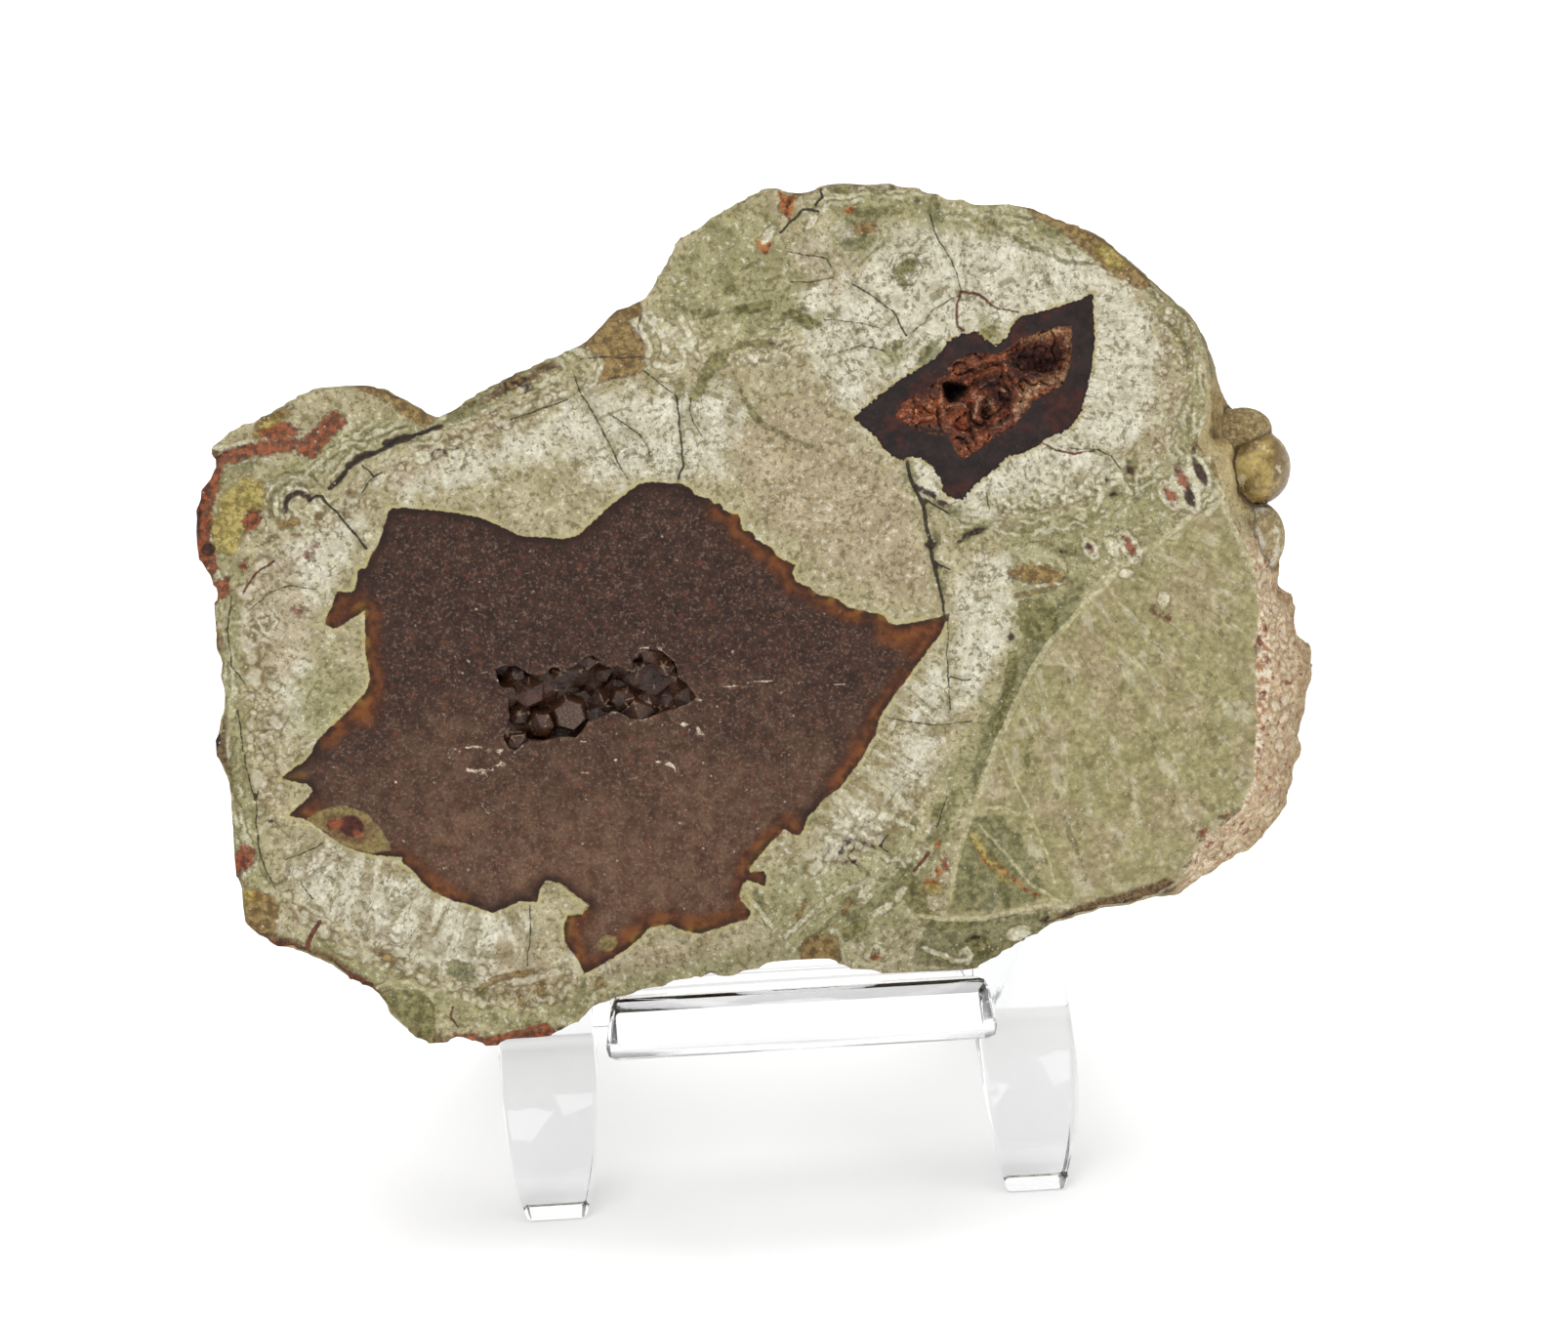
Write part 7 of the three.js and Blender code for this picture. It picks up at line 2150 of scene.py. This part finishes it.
def slab_mesh(corners, n_low, n_high, width, segments):
    """A flat block on the face frame with rounded edges; corners are U V."""
    part = bmesh.new()
    low = [part.verts.new((u, v, n_low)) for u, v in corners]
    high = [part.verts.new((u, v, n_high)) for u, v in corners]
    part.faces.new(low[::-1])
    part.faces.new(high)
    for i in range(len(corners)):
        j = (i + 1) % len(corners)
        part.faces.new((low[i], low[j], high[j], high[i]))
    round_edges(part, width, segments)
    for vertex in part.verts:
        u, v, n = vertex.co
        vertex.co = (u, v * math.sin(LEAN) - n * math.cos(LEAN),
                     FACE_FOOT[2] + v * math.cos(LEAN) + n * math.sin(LEAN))
    return part


def stand_object(name, part):
    """A part of the stand as an object at its place in the frame."""
    mesh = bpy.data.meshes.new(name)
    for vertex in part.verts:
        x, y, z = vertex.co
        vertex.co = ((x + FACE_FOOT[0]) * MM, (y + FACE_FOOT[1]) * MM, z * MM)
    part.to_mesh(mesh)
    part.free()
    piece = bpy.data.objects.new(name, mesh)
    bpy.context.scene.collection.objects.link(piece)
    return piece


def build_stand(settings):
    """The clear stand: two bent strips, a shelf, a crossbar and the front bar, joined in one."""
    back = BACK_OF_STONE
    parts = [
        strip_mesh(-1, settings), strip_mesh(1, settings),
        slab_mesh(slab_corners(SHELF_HALF, SHELF_V - SHELF_THICKNESS, SHELF_V),
                  back - SHEET + 0.03, SHELF_FRONT, 0.3, 3),
        slab_mesh(slab_corners(STRIP_X, BACKREST_FOOT + 0.63, SHELF_V - 0.02),
                  back - SHEET * 0.9, back - 0.08, 0.2, 2),
        slab_mesh(slab_corners(BAR_HALF, BAR_FOOT, BAR_TOP, BAR_TOP_HALF), BAR_BACK, BAR_FRONT, 0.95, 2),
    ]
    pieces = [stand_object(f"stand_part_{number}", part) for number, part in enumerate(parts)]
    whole = pieces[0]
    for number, other in enumerate(pieces[1:]):
        union = whole.modifiers.new(f"join_{number}", "BOOLEAN")
        union.operation = "UNION"
        union.solver = "EXACT"
        union.object = other
    places, faces, _ = evaluated_arrays(whole)
    for piece in pieces:
        bpy.data.objects.remove(piece)
    stand = add_mesh("clear_stand", places, faces, [clear_material()])
    stand.data.set_sharp_from_angle(angle=math.radians(32))
    return stand


class AgateSettings(bpy.types.PropertyGroup):
    """Sizes of the agate's detail."""

    rind_detail: bpy.props.FloatProperty(
        name="Rind detail", description="Size of the rind's mesh cells in millimetres", default=0.5, min=0.2)
    face_detail: bpy.props.FloatProperty(
        name="Face detail", description="Size of the face's mesh cells in millimetres", default=0.36, min=0.2)
    grain_scale: bpy.props.FloatProperty(
        name="Grain", description="Grains in a millimetre of the pale stone", default=1.5, min=0.2)
    crystal_size: bpy.props.FloatProperty(
        name="Crystal size", description="Spacing of the crystals in millimetres", default=1.7, min=0.5)


class StandSettings(bpy.types.PropertyGroup):
    """Finish of the stand."""

    edge_radius: bpy.props.FloatProperty(
        name="Edge radius", description="Rounding of the strips' edges", default=0.0004, min=0.0001,
        subtype="DISTANCE", unit="LENGTH")


class StageSettings(bpy.types.PropertyGroup):
    """Floor and light."""

    floor_tone: bpy.props.FloatVectorProperty(
        name="Floor colour", description="Colour of the floor", default=(0.86, 0.86, 0.86), subtype="COLOR")
    floor_glow: bpy.props.FloatProperty(
        name="Floor glow", description="Light that the white table gives off", default=0.38, min=0)
    sun_strength: bpy.props.FloatProperty(
        name="Overhead light", description="Strength of the broad light above the floor", default=1.9, min=0)
    key_power: bpy.props.FloatProperty(
        name="Key light", description="Strength of the light on the face in watts", default=1.0, min=0)
    sky_strength: bpy.props.FloatProperty(
        name="Surround", description="Brightness of the pale surroundings", default=0.32, min=0)


class AGATE_OT_stone(bpy.types.Operator):
    """Add the cut and polished agate"""

    bl_idname = "agate.add_stone"
    bl_label = "Add Agate"

    def execute(self, context):
        stone = build_stone(context.scene.agate_settings)
        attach(stone, "root")
        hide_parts("agate_stone")
        return {"FINISHED"}


class AGATE_OT_crystals(bpy.types.Operator):
    """Add the dark crystals of the main hollow"""

    bl_idname = "agate.add_crystals"
    bl_label = "Add Crystals"

    def execute(self, context):
        crystals = build_crystals(context.scene.agate_settings)
        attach(crystals, "root")
        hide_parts("hollow_crystals")
        return {"FINISHED"}


class AGATE_OT_lining(bpy.types.Operator):
    """Add the rough lining of the dark lens"""

    bl_idname = "agate.add_lining"
    bl_label = "Add Lens Lining"

    def execute(self, context):
        lining = build_lining(context.scene.agate_settings)
        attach(lining, "root")
        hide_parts("lens_lining")
        return {"FINISHED"}


class AGATE_OT_stand(bpy.types.Operator):
    """Add the clear stand"""

    bl_idname = "agate.add_stand"
    bl_label = "Add Stand"

    def execute(self, context):
        stand = build_stand(context.scene.stand_settings)
        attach(stand, "root")
        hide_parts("stand")
        return {"FINISHED"}


def add_lamp(name, light, rotation, place=(0, 0, 0)):
    lamp = bpy.data.objects.new(name, light)
    lamp.location = place
    lamp.rotation_euler = rotation
    bpy.context.scene.collection.objects.link(lamp)


def add_area_light(name, power, size, place):
    light = bpy.data.lights.new(name, "AREA")
    light.energy = power
    light.shape = "RECTANGLE"
    light.size, light.size_y = size
    ray = Vector(LIGHT_TARGET) - Vector(place)
    add_lamp(name, light, ray.to_track_quat("-Z", "Y").to_euler(), place)


def add_overhead_light(strength):
    """A broad soft light from above."""
    light = bpy.data.lights.new("overhead", "SUN")
    light.energy = strength
    light.angle = math.radians(45)
    add_lamp("overhead", light, (math.radians(-12), 0, 0))


def add_surround(strength):
    """Pale surroundings of one brightness."""
    world = bpy.data.worlds.new("surround")
    world.use_nodes = True
    backdrop = world.node_tree.nodes["Background"]
    backdrop.inputs[0].default_value = (1, 1, 1, 1)
    backdrop.inputs[1].default_value = strength
    bpy.context.scene.world = world


def add_camera():
    """The camera at the photograph's place and angle."""
    azimuth, elevation, roll = math.radians(-5), math.radians(26), math.radians(0.8)
    back = Vector((math.sin(azimuth) * math.cos(elevation), -math.cos(azimuth) * math.cos(elevation),
                   math.sin(elevation)))
    level = Vector((math.cos(azimuth), math.sin(azimuth), 0))
    upright = back.cross(level)
    right = level * math.cos(roll) - upright * math.sin(roll)
    up = upright * math.cos(roll) + level * math.sin(roll)
    data = bpy.data.cameras.new("camera")
    data.lens = CAMERA_LENS
    data.sensor_width = 36
    data.sensor_fit = "HORIZONTAL"
    data.clip_start = 0.01
    camera = bpy.data.objects.new("camera", data)
    turn = Matrix((right, up, back)).transposed().to_4x4()
    camera.matrix_world = Matrix.Translation(Vector(CAMERA_PLACE)) @ turn
    bpy.context.scene.collection.objects.link(camera)
    bpy.context.scene.camera = camera


def floor_material(settings):
    """The pale table, a little uneven in tone."""
    material, graph, shader = new_material("Pale floor")
    graph.place = graph.node("ShaderNodeTexCoord").outputs["Object"]
    red, green, blue = settings.floor_tone
    shade = 0.985
    darker = (red * shade, green * shade, blue * shade, 1)
    graph.feed(shader.inputs["Base Color"], graph.blend(graph.noise(14.0, 3.0), darker, (red, green, blue, 1)))
    shader.inputs["Roughness"].default_value = 0.7
    shader.inputs["Emission Color"].default_value = (1, 1, 1, 1)
    shader.inputs["Emission Strength"].default_value = settings.floor_glow
    return material


def add_floor(settings):
    corners = [(x * FLOOR_HALF, y * FLOOR_HALF, 0) for x, y in ((-1, -1), (1, -1), (1, 1), (-1, 1))]
    return add_mesh("floor", corners, [(0, 1, 2, 3)], [floor_material(settings)])


class AGATE_OT_stage(bpy.types.Operator):
    """Add the floor, the lights and the camera"""

    bl_idname = "agate.add_stage"
    bl_label = "Add Stage"

    def execute(self, context):
        settings = context.scene.stage_settings
        floor = add_floor(settings)
        add_surround(settings.sky_strength)
        add_area_light("key", settings.key_power, (0.4, 0.3), (-0.22, -0.38, 0.5))
        add_area_light("side fill", settings.key_power * 0.8, (0.4, 0.4), (0.5, -0.22, 0.22))
        add_overhead_light(settings.sun_strength)
        add_camera()
        context.scene.view_settings.view_transform = "Standard"
        context.scene.view_settings.look = "None"
        return {"FINISHED"}


class AGATE_PT_panel(bpy.types.Panel):
    """Lists the agate's pieces"""

    bl_label = "Agate"
    bl_idname = "AGATE_PT_panel"
    bl_space_type = "VIEW_3D"
    bl_region_type = "UI"
    bl_category = "Agate"

    def draw(self, context):
        for operator in OPERATORS:
            self.layout.operator(operator.bl_idname)
        for name in ("agate_settings", "stand_settings", "stage_settings"):
            settings = getattr(context.scene, name)
            for key in settings.__annotations__:
                self.layout.prop(settings, key)


OPERATORS = (AGATE_OT_stage, AGATE_OT_stone, AGATE_OT_crystals, AGATE_OT_lining, AGATE_OT_stand)
CLASSES = (AgateSettings, StandSettings, StageSettings) + OPERATORS + (AGATE_PT_panel,)


def register():
    for cls in CLASSES:
        bpy.utils.register_class(cls)
    bpy.types.Scene.agate_settings = bpy.props.PointerProperty(type=AgateSettings)
    bpy.types.Scene.stand_settings = bpy.props.PointerProperty(type=StandSettings)
    bpy.types.Scene.stage_settings = bpy.props.PointerProperty(type=StageSettings)


def unregister():
    del bpy.types.Scene.stage_settings
    del bpy.types.Scene.stand_settings
    del bpy.types.Scene.agate_settings
    for cls in reversed(CLASSES):
        bpy.utils.unregister_class(cls)


def main():
    register()
    bpy.ops.agate.add_stage()
    bpy.ops.agate.add_stone()
    bpy.ops.agate.add_crystals()
    bpy.ops.agate.add_lining()
    bpy.ops.agate.add_stand()


if __name__ == "__main__":
    main()
